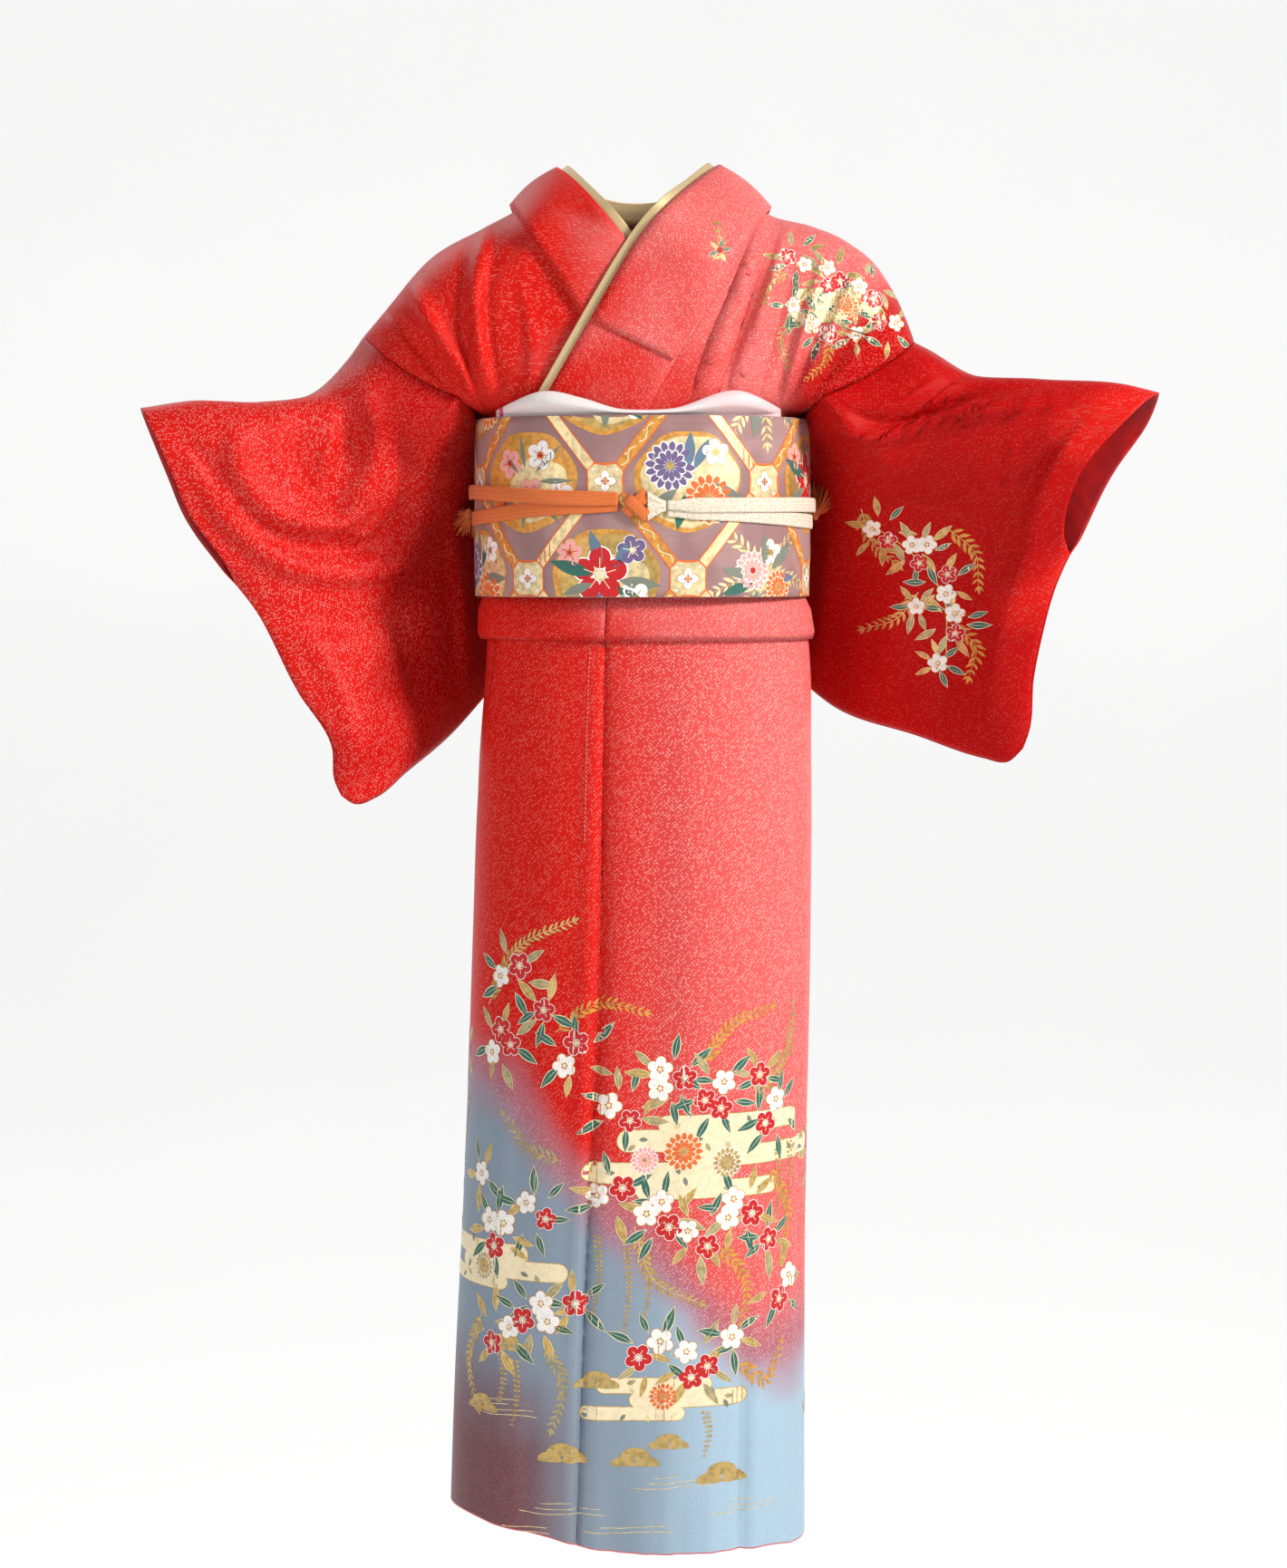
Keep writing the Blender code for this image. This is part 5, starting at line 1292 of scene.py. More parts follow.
def collar_strip(ends, across, lift, beyond=0.0):
    """A strip of the collar between two stations, raised by a distance."""
    first, last = ends
    stations = np.arange(first * STATION_STEPS, last * STATION_STEPS + 1) / STATION_STEPS
    seam, edge, normal, bulge = collar_rails(stations)
    width = np.linalg.norm(edge - seam, axis=-1)
    grid = []
    for w in across:
        place = np.where(w > 1.0, 1.0 + (w - 1.0) * beyond / width, w)
        point = seam + (edge - seam) * place[:, None]
        swell = math.sin(math.pi * min(w, 1.0)) * bulge + lift
        grid.append(point + normal * swell[:, None])
    return np.array(grid)


def between(rows, count):
    """Smooth rows between a few rows of points."""
    rows = np.asarray(rows)
    flat = rows.reshape(len(rows), -1)
    steps = run_through(np.arange(len(rows)), flat, np.linspace(0.0, len(rows) - 1, count))
    return steps.reshape(count, *rows.shape[1:])


def make_bodice(silk, lining):
    """Both body panels above the obi."""
    for side in ("left", "right"):
        grid = bodice(side, BODICE_COLUMNS, BODICE_ROWS)
        name = "bodice_" + side
        cloth(name, grid, (grid + grid[::-1]) / 2, [silk, lining], "draped", ["obi_wrap"])


def make_sleeves(silks, lining):
    """Both sleeves, with the lining inside."""
    for side in ("left", "right"):
        grid = sleeve(side, SLEEVE_COLUMNS, SLEEVE_STEPS)
        name = "sleeve_" + side
        centre = (grid + grid[::-1]) / 2
        cloth(name, grid, centre, [silks[side], lining], "hung", ["bodice_" + side])


def make_collar(silk, gold):
    """The collar, the over-collar and the strip of false collar."""
    across = shares(COLLAR_COLUMNS)
    grid = collar_strip((0, 19), across, 0.0)
    cloth("collar", grid, axis_of(grid), [silk], "folded", ["bodice_left", "bodice_right"])
    grid = collar_strip(OVER_COLLAR_STATIONS, 0.02 + 0.965 * across, LAYER)
    cloth("over_collar", grid, axis_of(grid), [silk], "folded", ["collar"])
    strip = np.linspace(0.75, 2.0, COLLAR_COLUMNS)
    grid = collar_strip(DATE_ERI_STATIONS, strip, -DATE_ERI_DROP, DATE_ERI_SHOWS)
    cloth("date_eri", grid, axis_of(grid), [gold], "folded", ["collar"])


def make_skirt(silk, lining):
    """The panels below the obi, the left front lapped over the right."""
    inset = gap_angle(PANEL_GAP)
    side = SIDE_SEAM_ANGLE
    back = BACK_SEAM_ANGLE
    panels = [
        # name, first line, last line, layer, width in metres
        ("skirt_front_left", lambda z: okumi_seam(z) + inset, fixed(side), 1, 0.235),
        ("okumi_left", okumi_edge, lambda z: okumi_seam(z) - inset, 1, 0.16),
        ("skirt_front_right", fixed(-side), fixed(UNDER_SEAM_ANGLE - inset), 0, 0.25),
        ("okumi_right", fixed(UNDER_SEAM_ANGLE + inset), fixed(UNDER_EDGE_ANGLE), 0, 0.12),
        ("skirt_back_left", fixed(side - SIDE_LAP_ANGLE), fixed(180.0 - back), 0, 0.2),
        ("skirt_back_right", fixed(-180.0 + back), fixed(-side - 2 * inset), 0, 0.19),
    ]
    rows = round((SKIRT_TOP - HEM) / SKIRT_SPACING)
    for name, first, last, layers, width in panels:
        grid = skirt_panel(first, last, layers, round(width / SKIRT_SPACING), rows)
        piece = cloth(name, grid, axis_of(grid), [silk, lining], "hung", ["obi_wrap"])
        hem_faces = np.zeros(len(piece.data.polygons), dtype=int)
        hem_faces[-(grid.shape[1] - 1):] = 1
        piece.data.polygons.foreach_set("material_index", hem_faces)


def make_ohashori(silk):
    """The fold of cloth below the obi."""
    inset = gap_angle(PANEL_GAP)
    side = SIDE_SEAM_ANGLE
    panels = [
        # name, first line, last line, columns
        ("ohashori_front", lambda z: okumi_seam(z) + inset, fixed(side - inset), 60),
        ("ohashori_okumi", fixed(-side + inset), lambda z: okumi_seam(z) - inset, 52),
        ("ohashori_back_left", fixed(side + inset), fixed(180.0 - BACK_SEAM_ANGLE), 48),
        ("ohashori_back_right", fixed(-180.0 + BACK_SEAM_ANGLE), fixed(-side - inset), 48),
    ]
    for name, first, last, columns in panels:
        grid = ohashori_panel(first, last, columns)
        cloth(name, grid, axis_of(grid), [silk], "folded", ["obi_wrap"])


def make_obi(ground, reverse):
    """The wrap round the body, then what is tied behind."""
    angle = obi_columns(-OBI_END_ANGLE, OBI_END_ANGLE)[None, :]
    z = np.linspace(OBI_BOTTOM, OBI_TOP, OBI_STEPS)[:, None]
    share = np.linspace(0.0, math.pi, OBI_STEPS)[:, None]
    pressed = 0.0005 * np.exp(-(((z + 0.328) / 0.016) ** 2))
    bow = OBI_BOW * np.sin(share) - pressed + 0.0003 * np.sin(np.radians(angle) * 23.0) * np.sin(share)
    grid = obi_point(angle, z, bow)
    cloth("obi_wrap", grid, axis_of(grid), [ground, reverse], "folded", ["bodice_left"], OBI_WALL)
    make_drum(ground, reverse)
    make_te(reverse)


def make_drum(ground, reverse):
    """The drum and its tail, which hang behind."""
    for name, rows, count, half_width, hold in (
        ("obi_drum", DRUM_ROWS, DRUM_POINTS, DRUM_HALF_WIDTH, DRUM_BOW),
        ("obi_tare", TARE_ROWS, TARE_POINTS, TARE_HALF_WIDTH, 0.0),
    ):
        grid = hung(rows, count, half_width, hold)
        across = (grid[..., 0] - OBI_CENTRE_X) / half_width
        grid[..., 1] += 0.0007 * np.sin(across * 7.0 + grid[..., 2] * 31.0) * (1 - across**2)
        centre = grid.copy()
        centre[..., 1:] = DRUM_MIDDLE if name == "obi_drum" else axis_of(grid)[..., 1:]
        cloth(name, grid, centre, [ground, reverse], "folded", ["obi_wrap"], TAIL_WALL)


def make_te(reverse):
    """The tied end, which shows at both sides of the drum."""
    rows = np.array(TE_ROWS)
    fine = run_through(-rows[:, 0], rows, np.linspace(-rows[0, 0], -rows[-1, 0], TE_POINTS))
    across = np.linspace(-1.0, 1.0, TE_COLUMNS)
    te = np.zeros((TE_POINTS, TE_COLUMNS, 3))
    te[..., 0] = (fine[:, 3:] + fine[:, 2:3]) / 2 + (fine[:, 3:] - fine[:, 2:3]) / 2 * across
    te[..., 1] = TE_PLACE - TE_END_CURL * np.abs(across) ** 5
    te[..., 2] = fine[:, :1] + (fine[:, 1:2] - fine[:, :1]) * np.abs(across) ** 4
    cloth("obi_te", te, axis_of(te), [reverse], "folded", ["obi_wrap"], TAIL_WALL)


def make_obiage(silk):
    """The scarf's two humps along the top of the obi."""
    angle = obi_columns(obi_angle(OBIAGE_ROWS[0][0]), obi_angle(OBIAGE_ROWS[-1][0]))
    rim = obi_point(angle, np.full(len(angle), OBIAGE_TUCK), -OBIAGE_INSIDE)
    x = rim[:, 0]
    high, swell = look_up(OBIAGE_ROWS, x)
    level = np.full(len(angle), OBI_TOP + OBIAGE_RISE)
    rows = [rim, obi_point(angle, level, -OBIAGE_INSIDE)]
    for share, fullness, added in OBIAGE_PROFILE:
        rows.append(over_collar_point(x, level + (high - level) * share, added + swell / LAYER * fullness))
    rows.append(over_collar_point(x, high - OBIAGE_RISE, OBIAGE_EDGE_LAYERS))
    grid = between(rows, SCARF_STEPS)
    cloth("obiage", grid, axis_of(grid), [silk], "folded", ["obi_wrap"])


def make_pad(silk):
    """The padded roll that carries the drum, wrapped in the scarf."""
    rounds = np.linspace(0.0, 2 * math.pi, PAD_SIDES + 1)
    along = np.linspace(-1.0, 1.0, PAD_RINGS)
    radius = PAD_RADIUS * np.sqrt(1 - (PAD_TAPER * along) ** 4)
    creases = 0.0006 * np.sin(rounds[None, :] * 3 + along[:, None] * 9.0)
    reach = radius[:, None] - 0.0004 + creases
    roll = np.zeros((len(along), len(rounds), 3))
    roll[..., 0] = OBI_CENTRE_X + along[:, None] * PAD_HALF_LENGTH
    roll[..., 1] = PAD_PLACE[0] + reach * np.cos(rounds)
    roll[..., 2] = PAD_PLACE[1] + reach * np.sin(rounds)
    centre = roll.copy()
    centre[..., 1:] = PAD_PLACE
    weld(cloth("obiage_pad", roll, centre, [silk], "gathered", ["obi_drum"]).data)


def over_collar_point(x, z, layers):
    """A point in front of the bodice and of the collar's end, by layers."""
    base = EDGE_LAYERS + (FRONT_LAYERS - EDGE_LAYERS) * ease(np.abs(x), 0.14, 0.116)
    depth = depth_at(x, z, "left", FRONT) + (base + layers) * LAYER + SCARF_CLEAR
    return np.stack([x, -depth, z], axis=-1)


def hung(rows, count, half_width, bow):
    """A length of the obi that hangs behind, from its side profile."""
    across = np.linspace(-1.0, 1.0, DRUM_COLUMNS)
    profile = run_along(rows, shares(count))
    grid = np.zeros((count, DRUM_COLUMNS, 3))
    grid[..., 0] = OBI_CENTRE_X + half_width * across
    grid[..., 1] = profile[:, :1] - bow * across**2
    grid[..., 2] = profile[:, 1:]
    return grid


def weld(mesh):
    """Close the seam and the poles of a tube."""
    shape = bmesh.new()
    shape.from_mesh(mesh)
    bmesh.ops.remove_doubles(shape, verts=shape.verts, dist=0.000001)
    shape.to_mesh(mesh)
    shape.free()


def braid_mesh(name, line, up, widths, thick):
    """A flat braid along a line: up is across its width."""
    tangent = unit(np.gradient(line, axis=0))
    up = unit(up - tangent * (up * tangent).sum(axis=-1, keepdims=True))
    out = np.cross(tangent, up)
    turn = np.linspace(0.0, 2 * math.pi, BRAID_SIDES + 1)
    wide = np.sign(np.cos(turn)) * np.abs(np.cos(turn)) ** 0.55
    deep = np.sign(np.sin(turn)) * np.abs(np.sin(turn)) ** 0.85
    widths = np.broadcast_to(widths, len(line))
    ring = up[:, None] * (wide[None, :, None] * widths[:, None, None] / 2)
    grid = line[:, None] + ring + out[:, None] * deep[None, :, None] * thick / 2
    centre = np.repeat(np.concatenate([line[:1], line, line[-1:]])[:, None], BRAID_SIDES + 1, axis=1)
    grid = np.concatenate([centre[:1], grid, centre[-1:]])
    mesh = grid_mesh(name, outward(grid, centre))
    weld(mesh)
    return mesh


def cord_line(side, at_knot, at_side, layer, last):
    """The middle of a braid round the obi, from the knot to the side or the drum."""
    sign = sign_of(side)
    middle = obi_columns(sign * CORD_START, sign * last)
    angle = np.concatenate([[CORD_START], np.sort(np.abs(middle)), [last]]) * sign
    level = at_knot + (at_side - at_knot) * ease(np.abs(angle), CORD_START, STRAND_END_ANGLE)
    out = OBI_WALL / 2 + OBI_BOW + SEAM_GAP + BRAID_THICK * (0.5 + 1.1 * layer)
    line = obi_point(angle, level, out)
    if last == CORD_BEHIND_ANGLE:
        behind = [(OBI_CENTRE_X + sign * x, y, at_side) for x, y in CORD_BACK_ROWS]
        run = run_along([tuple(line[-1]), *behind], shares(CORD_BACK_POINTS))
        line = np.concatenate([line, run[1:]])
    return line


def make_cord(orange, cream):
    """The two halves of the cord and their tucked ends."""
    for name, at_knot, at_side, layer, last, narrow in CORD_ROWS:
        side = name.split("_")[-1]
        finish, slot = (cream, "cream_cord") if side == "left" else (orange, "orange_cord")
        line = cord_line(side, at_knot, at_side, layer, last)
        widths = CORD_WIDTH * (narrow + (1 - narrow) * ease(distances(line), 0.0, 0.03))
        mesh = braid_mesh(name, line, (0.0, 0.0, 1.0), widths, BRAID_THICK)
        add_piece(name + "_braid", mesh, [finish], [name])


def make_knot(orange, cream):
    """The knot: two orange turns that cross, and a cream fold held by them."""
    base = OBI_WALL / 2 + OBI_BOW + 2 * SEAM_GAP + BRAID_THICK
    fan = np.linspace(-1.0, 1.0, KNOT_ROWS)
    for number, (start_x, start_z, end_x, end_z, width, rise) in enumerate(KNOT_TURNS):
        x = start_x + (end_x - start_x) * (fan + 1) / 2
        z = start_z + (end_z - start_z) * (fan + 1) / 2
        line = obi_point(obi_angle(x), z, base + rise * np.sqrt(1 - np.abs(fan) ** 4))
        across = (start_z - end_z, 0.0, end_x - start_x)
        mesh = braid_mesh("knot_turn", line, across, width, BRAID_THICK)
        nodes = ["obijime_knot"] if number == 0 else []
        add_piece("knot_turn_%d" % number, mesh, [orange], nodes)
    k = shares(KNOT_ROWS)[:, None]
    x = KNOT_FOLD_X[0] + (KNOT_FOLD_X[1] - KNOT_FOLD_X[0]) * k + 0.0 * fan
    z = KNOT_FOLD_Z + (0.0046 + 0.0092 * (1 - k) ** 1.3) * fan
    pleats = 0.0006 * np.cos(fan * 3 * math.pi)
    grid = obi_point(obi_angle(x), z, base + 0.004 * np.sqrt(1 - 0.9 * k**3) + pleats)
    grid = outward(grid, axis_of(grid))
    fold = add_piece("knot_fold", grid_mesh("knot_fold", grid), [cream])
    thicken(fold, KNOT_FOLD_THICK)


def new_tree(name, **inputs):
    """A Geometry Nodes tree with named inputs of given kinds."""
    tree = bpy.data.node_groups.new(name, "GeometryNodeTree")
    tree.interface.new_socket("Geometry", in_out="INPUT", socket_type="NodeSocketGeometry")
    for label, kind in inputs.items():
        tree.interface.new_socket(label, in_out="INPUT", socket_type="NodeSocket" + kind)
    tree.interface.new_socket("Geometry", in_out="OUTPUT", socket_type="NodeSocketGeometry")
    return tree, tree.nodes.new("NodeGroupInput").outputs


def finish_tree(tree, geometry, material):
    """End a tree by making its copies real and giving them their material."""
    real = put(tree, "GeometryNodeRealizeInstances", {0: geometry})[0]
    dressed = put(tree, "GeometryNodeSetMaterial", {0: real, "Material": material})[0]
    put(tree, "NodeGroupOutput", {0: dressed})


def tassel_tree():
    """Strands that fan out of a tassel's head."""
    tree, given = new_tree("tassel strands", Count="Int", Length="Float", Width="Float", Spread="Float",
                           Thickness="Float", Seed="Int", Material="Material")
    square = {"Min": (-1.0, -1.0, 0.0), "Max": (1.0, 1.0, 0.0), "Seed": given["Seed"]}
    place = put(tree, "FunctionNodeRandomValue", square, data_type="FLOAT_VECTOR")[0]
    where = put(tree, "ShaderNodeVectorMath", {0: place, "Scale": given["Width"]}, operation="SCALE")[0]
    points = put(tree, "GeometryNodePoints", {"Count": given["Count"], "Position": where})[0]
    parts = put(tree, "ShaderNodeSeparateXYZ", {0: place})
    tilt_x = times(tree, times(tree, parts["Y"], -1.0), given["Spread"])
    tilt_y = times(tree, parts["X"], given["Spread"])
    spin = put(tree, "FunctionNodeRandomValue", {2: -0.6, 3: 0.6, "Seed": given["Seed"]}, data_type="FLOAT")
    angles = put(tree, "ShaderNodeCombineXYZ", {0: tilt_x, 1: tilt_y, 2: spin[1]})[0]
    turn = put(tree, "FunctionNodeEulerToRotation", {0: angles})[0]
    size = put(tree, "FunctionNodeRandomValue", {2: 0.78, 3: 1.06, "Seed": given["Seed"]}, data_type="FLOAT")
    bend = put(tree, "ShaderNodeCombineXYZ", {2: times(tree, given["Length"], 0.5)})[0]
    aside = times(tree, given["Length"], 0.16)
    tip = put(tree, "ShaderNodeCombineXYZ", {0: aside, 2: given["Length"]})[0]
    ends = {"Resolution": 6, "Start": (0.0, 0.0, 0.0), "Middle": bend, "End": tip}
    strand = put(tree, "GeometryNodeCurveQuadraticBezier", ends)[0]
    rim = put(tree, "GeometryNodeCurvePrimitiveCircle", {"Resolution": 4, "Radius": given["Thickness"]})
    tube = put(tree, "GeometryNodeCurveToMesh", {0: strand, 1: rim[0], "Fill Caps": True})[0]
    laid = {"Points": points, "Instance": tube, "Rotation": turn, "Scale": size[1]}
    copies = put(tree, "GeometryNodeInstanceOnPoints", laid)[0]
    finish_tree(tree, copies, given["Material"])
    return tree


def stitch_tree():
    """Short stitches along an edge path."""
    tree, given = new_tree("run of stitches", Spacing="Float", Length="Float", Thickness="Float",
                           Material="Material")
    curve = put(tree, "GeometryNodeMeshToCurve", {0: given["Geometry"]})[0]
    steps = {0: curve, "Length": given["Spacing"]}
    points = put(tree, "GeometryNodeResampleCurve", steps, mode="LENGTH")[0]
    along = put(tree, "GeometryNodeInputTangent")[0]
    turn = put(tree, "FunctionNodeAlignRotationToVector", {"Vector": along}, axis="Z")[0]
    form = {"Vertices": 6, "Radius": given["Thickness"], "Depth": given["Length"]}
    stitch = put(tree, "GeometryNodeMeshCylinder", form)["Mesh"]
    laid = {"Points": points, "Instance": stitch, "Rotation": turn}
    copies = put(tree, "GeometryNodeInstanceOnPoints", laid)[0]
    finish_tree(tree, copies, given["Material"])
    return tree


def made_with(tree, base, values):
    """The plain mesh that a tree makes from a base mesh."""
    item = in_scene(tree.name, base)
    maker = item.modifiers.new("maker", "NODES")
    maker.node_group = tree
    for socket in tree.interface.items_tree:
        if socket.in_out == "INPUT" and socket.name in values:
            maker[socket.identifier] = values[socket.name]
    ready = item.evaluated_get(bpy.context.evaluated_depsgraph_get())
    mesh = bpy.data.meshes.new_from_object(ready)
    bpy.data.objects.remove(item, do_unlink=True)
    return mesh


def make_tassels(orange):
    """The two tassels at the cord's ends, each a bound head and loose strands."""
    tree = tassel_tree()
    for number, side in enumerate(("left", "right")):
        values = {**TASSEL_STRANDS, "Seed": 5 + number, "Material": orange}
        mesh = made_with(tree, bpy.data.meshes.new("root"), values)
        turn = Vector(TASSEL_AIMS[side]).to_track_quat("Z", "Y").to_matrix().to_4x4()
        place = Matrix.Translation(TASSEL_ROOTS[side]) @ turn
        mesh.transform(place)
        add_piece("tassel_" + side + "_strands", mesh, [], ["tassel_" + side])
        bound = tassel_head()
        bound.transform(place)
        add_piece("tassel_" + side + "_head", bound, [orange])


def tassel_head():
    """The head of a tassel, bound round with thread."""
    width, depth, height = TASSEL_HEAD
    level = np.linspace(-height, TASSEL_NECK, TASSEL_RINGS)[:, None]
    turns = np.linspace(0.0, 2 * math.pi, TASSEL_SIDES)[None, :]
    swell = 1.0 + 0.12 * np.sin(level / 0.0011 * math.pi)
    ends = rounded((level + height) / 0.003)
    head = np.zeros((TASSEL_RINGS, TASSEL_SIDES, 3))
    head[..., 0] = width * 0.5 * swell * ends * np.cos(turns)
    head[..., 1] = depth * 0.5 * swell * ends * np.sin(turns)
    head[..., 2] = level
    mesh = grid_mesh("tassel_head", outward(head, axis_of(head)))
    weld(mesh)
    return mesh


def make_stitches(thread):
    """Basting down the overlap's seam below the fold."""
    tree = stitch_tree()
    z = np.linspace(*STITCH_HEIGHTS, STITCH_POINTS)
    angle = okumi_seam(z) - STITCH_TURN
    line = skirt_point(angle, z, 1)
    away = ring_point(angle, z, 1.0) - ring_point(angle, z, 0.0)
    line = line + away * (CLOTH / 2 + 0.0002)
    base = bpy.data.meshes.new("seam path")
    base.from_pydata(line.tolist(), [(k, k + 1) for k in range(len(line) - 1)], [])
    mesh = made_with(tree, base, {**STITCHES, "Material": thread})
    add_piece("seam_stitches", mesh, [])


def toward(turn):
    """One step in a direction on the cloth, given as an angle."""
    return np.array([math.cos(turn), math.sin(turn)])


def turned(points, aim):
    """Flat points turned so that +u becomes the aim, an angle in radians."""
    u, v = points[..., 0], points[..., 1]
    cosine, sine = math.cos(aim), math.sin(aim)
    return np.stack([u * cosine - v * sine, u * sine + v * cosine], axis=-1)


def disc(centre, radius, squash=1.0, aim=0.0, ripple=0.0, lobes=5):
    """Outline of a round or lobed dot."""
    turn = np.linspace(0.0, 2 * math.pi, max(12, round(radius / 0.0006)), endpoint=False)
    reach = radius * (1 + ripple * np.cos(lobes * turn))
    points = np.stack([reach * np.cos(turn), reach * squash * np.sin(turn)], axis=-1)
    return turned(points, aim) + np.asarray(centre)


def blade(base, aim, length, width, fullest, sharpness, bend=0.0):
    """Outline of a petal or a leaf from its base outwards."""
    t = shares(max(6, round(length / 0.0011)))
    half = width / 2 * np.sin(math.pi * t**fullest) ** sharpness
    sway = bend * length * t * t
    first = np.stack([length * t, sway - half], axis=-1)
    last = np.stack([length * t, sway + half], axis=-1)[::-1][1:-1]
    return turned(np.concatenate([first, last]), aim) + np.asarray(base)


def ribbon(path, width, taper=0.0):
    """Outline of a line of even or tapering width along a smooth path."""
    t = shares(max(4, round(distances(path)[-1] / 0.0018)))
    line = run_along(path, t)
    along = unit(np.gradient(line, axis=0))
    side = np.stack([-along[:, 1], along[:, 0]], axis=-1) * (width / 2 * (1 - taper * t))[:, None]
    return np.concatenate([line - side, (line + side)[::-1]])


def bar(left, right, v, half):
    """Outline of a level band with rounded ends."""
    turn = np.linspace(-math.pi / 2, math.pi / 2, 9)
    end = np.stack([half * np.cos(turn), half * np.sin(turn)], axis=-1)
    sides = np.linspace(left + half, right - half, max(2, round((right - left) / 0.004)))
    under = np.stack([sides, np.full(len(sides), -half)], axis=-1)
    over = np.stack([sides[::-1], np.full(len(sides), half)], axis=-1)
    first = np.stack([left + half - end[:, 0], end[:, 1]], axis=-1)[::-1]
    last = end + [right - half, 0.0]
    return np.concatenate([under[1:-1], last, over[1:-1], first]) + [0.0, v]


def add(design, outline, ink, layer):
    """Keep an outline to be laid on the cloth."""
    design.append((np.asarray(outline), ink, layer))


def blossom(design, centre, radius, ink, aim, heart="cream_gold"):
    """A five-petalled blossom with a pale edge to each petal and a bright heart."""
    rim = "white" if ink in ("crimson", "purple") else "orange_gold"
    size = 1.04 * radius * math.sin(math.pi / PETALS) / (1 + math.sin(math.pi / PETALS))
    for number in range(PETALS):
        turn = aim + 2 * math.pi * number / PETALS
        out = toward(turn)
        lobe = np.asarray(centre) + (radius - size) * out
        add(design, disc(lobe, size * 1.16, 1.0, turn), rim, 3)
        add(design, disc(lobe, size * 1.02, 1.0, turn), ink, 4)
        line = [centre + 0.1 * radius * out, centre + 0.3 * radius * out, lobe]
        add(design, ribbon(line, 0.0006), heart, 5)
    add(design, disc(centre, radius * 0.16), heart, 6)


def rosette(design, centre, radius, ink, aim, rim, heart="gold"):
    """A many-petalled round flower in two rings."""
    for count, reach, inner, layer in ((16, 1.0, 0.3, 3), (12, 0.66, 0.1, 5)):
        for number in range(count):
            turn = aim + 2 * math.pi * (number + layer / 4) / count
            base = np.asarray(centre) + inner * radius * toward(turn)
            length = radius * (reach - inner)
            width = 2 * math.pi * reach * radius / count * 0.92
            add(design, blade(base, turn, length, width, 1.7, 0.6), rim, layer)
            add(design, blade(base, turn, length * 0.93, width * 0.68, 1.7, 0.6), ink, layer + 1)
    add(design, disc(centre, radius * 0.15), heart, 7)


def leaf(design, base, aim, length, ink, vein="cream_gold", bend=0.0):
    """A slender leaf with a fine vein and a light edge."""
    width = length * 0.32
    add(design, blade(base, aim, length, width, 0.92, 1.05, bend), vein, 2)
    start = np.asarray(base) + turned(np.array([0.03 * length, 0.0]), aim)
    add(design, blade(start, aim, length * 0.93, width * 0.8, 0.92, 1.05, bend), ink, 3)
    middle = turned(np.array([0.45 * length, bend * length * 0.2]), aim) + base
    tip = turned(np.array([0.84 * length, bend * length * 0.7]), aim) + base
    add(design, ribbon([base, middle, tip], 0.0005, 0.6), vein, 4)


def posy(design, centre, seed, flowers, leaves, size):
    """Some blossoms set close together with leaves spread round them."""
    chance = random.Random(seed)
    start = chance.uniform(0.0, 2 * math.pi)
    inks = ["crimson", "white", "crimson", "white", "crimson"]
    shift = chance.randrange(2)
    for number in range(leaves):
        turn = start + 2 * math.pi * number / leaves + chance.uniform(-0.25, 0.25)
        reach = size * (1.55 if flowers > 1 else 0.8) * chance.uniform(0.85, 1.15)
        base = np.asarray(centre) + reach * toward(turn)
        ink = chance.choice(["green", "green", "gold", "olive", "gold"])
        vein = "cream_gold" if ink == "green" else "pale_gold"
        length = size * chance.uniform(1.8, 2.5)
        leaf(design, base, turn + chance.uniform(-0.3, 0.3), length, ink, vein, chance.uniform(-0.12, 0.12))
    for number in range(flowers):
        turn = start + 2.4 * number
        reach = 0.0 if flowers == 1 else size * 1.1
        place = np.asarray(centre) + reach * toward(turn)
        radius = size * chance.uniform(0.88, 1.06)
        blossom(design, place, radius, inks[(number + shift) % 5], chance.uniform(0, 1.2))


def frond(design, path, seed, ink, length=0.012, gap=0.0062):
    """A curved stem with small leaves down both sides."""
    vein = "pale_gold" if ink == "gold" else "gold"
    chance = random.Random(seed)
    count = max(3, round(distances(path)[-1] / gap))
    add(design, ribbon(path, 0.0009, 0.5), vein, 1)
    buds = run_along(path, np.linspace(0.06, 1.0, count))
    aims = np.gradient(buds, axis=0)
    for number, (place, aim) in enumerate(zip(buds, aims)):
        heading = math.atan2(aim[1], aim[0])
        for side in (-1, 1):
            turn = heading + side * chance.uniform(0.65, 0.95)
            size = length * (1.0 - 0.45 * number / count) * chance.uniform(0.85, 1.1)
            add(design, blade(place, turn, size, size * 0.3, 0.9, 1.0, -0.1 * side), ink, 2)
    add(design, blade(buds[-1], heading, length * 0.7, length * 0.24, 0.9, 1.0), ink, 2)


def trail(design, path, seed, ink):
    """A hanging string of small buds in pairs that grow smaller to its end."""
    chance = random.Random(seed)
    count = max(4, round(distances(path)[-1] / 0.0042))
    add(design, ribbon(path, 0.0005), ink, 1)
    for number, place in enumerate(run_along(path, shares(count))):
        radius = 0.0017 * (1.0 - 0.5 * number / count)
        for side in (-1, 1):
            centre = place + [side * radius * 1.5, chance.uniform(-0.0006, 0.0006)]
            add(design, disc(centre, radius, 0.8), ink, 2)


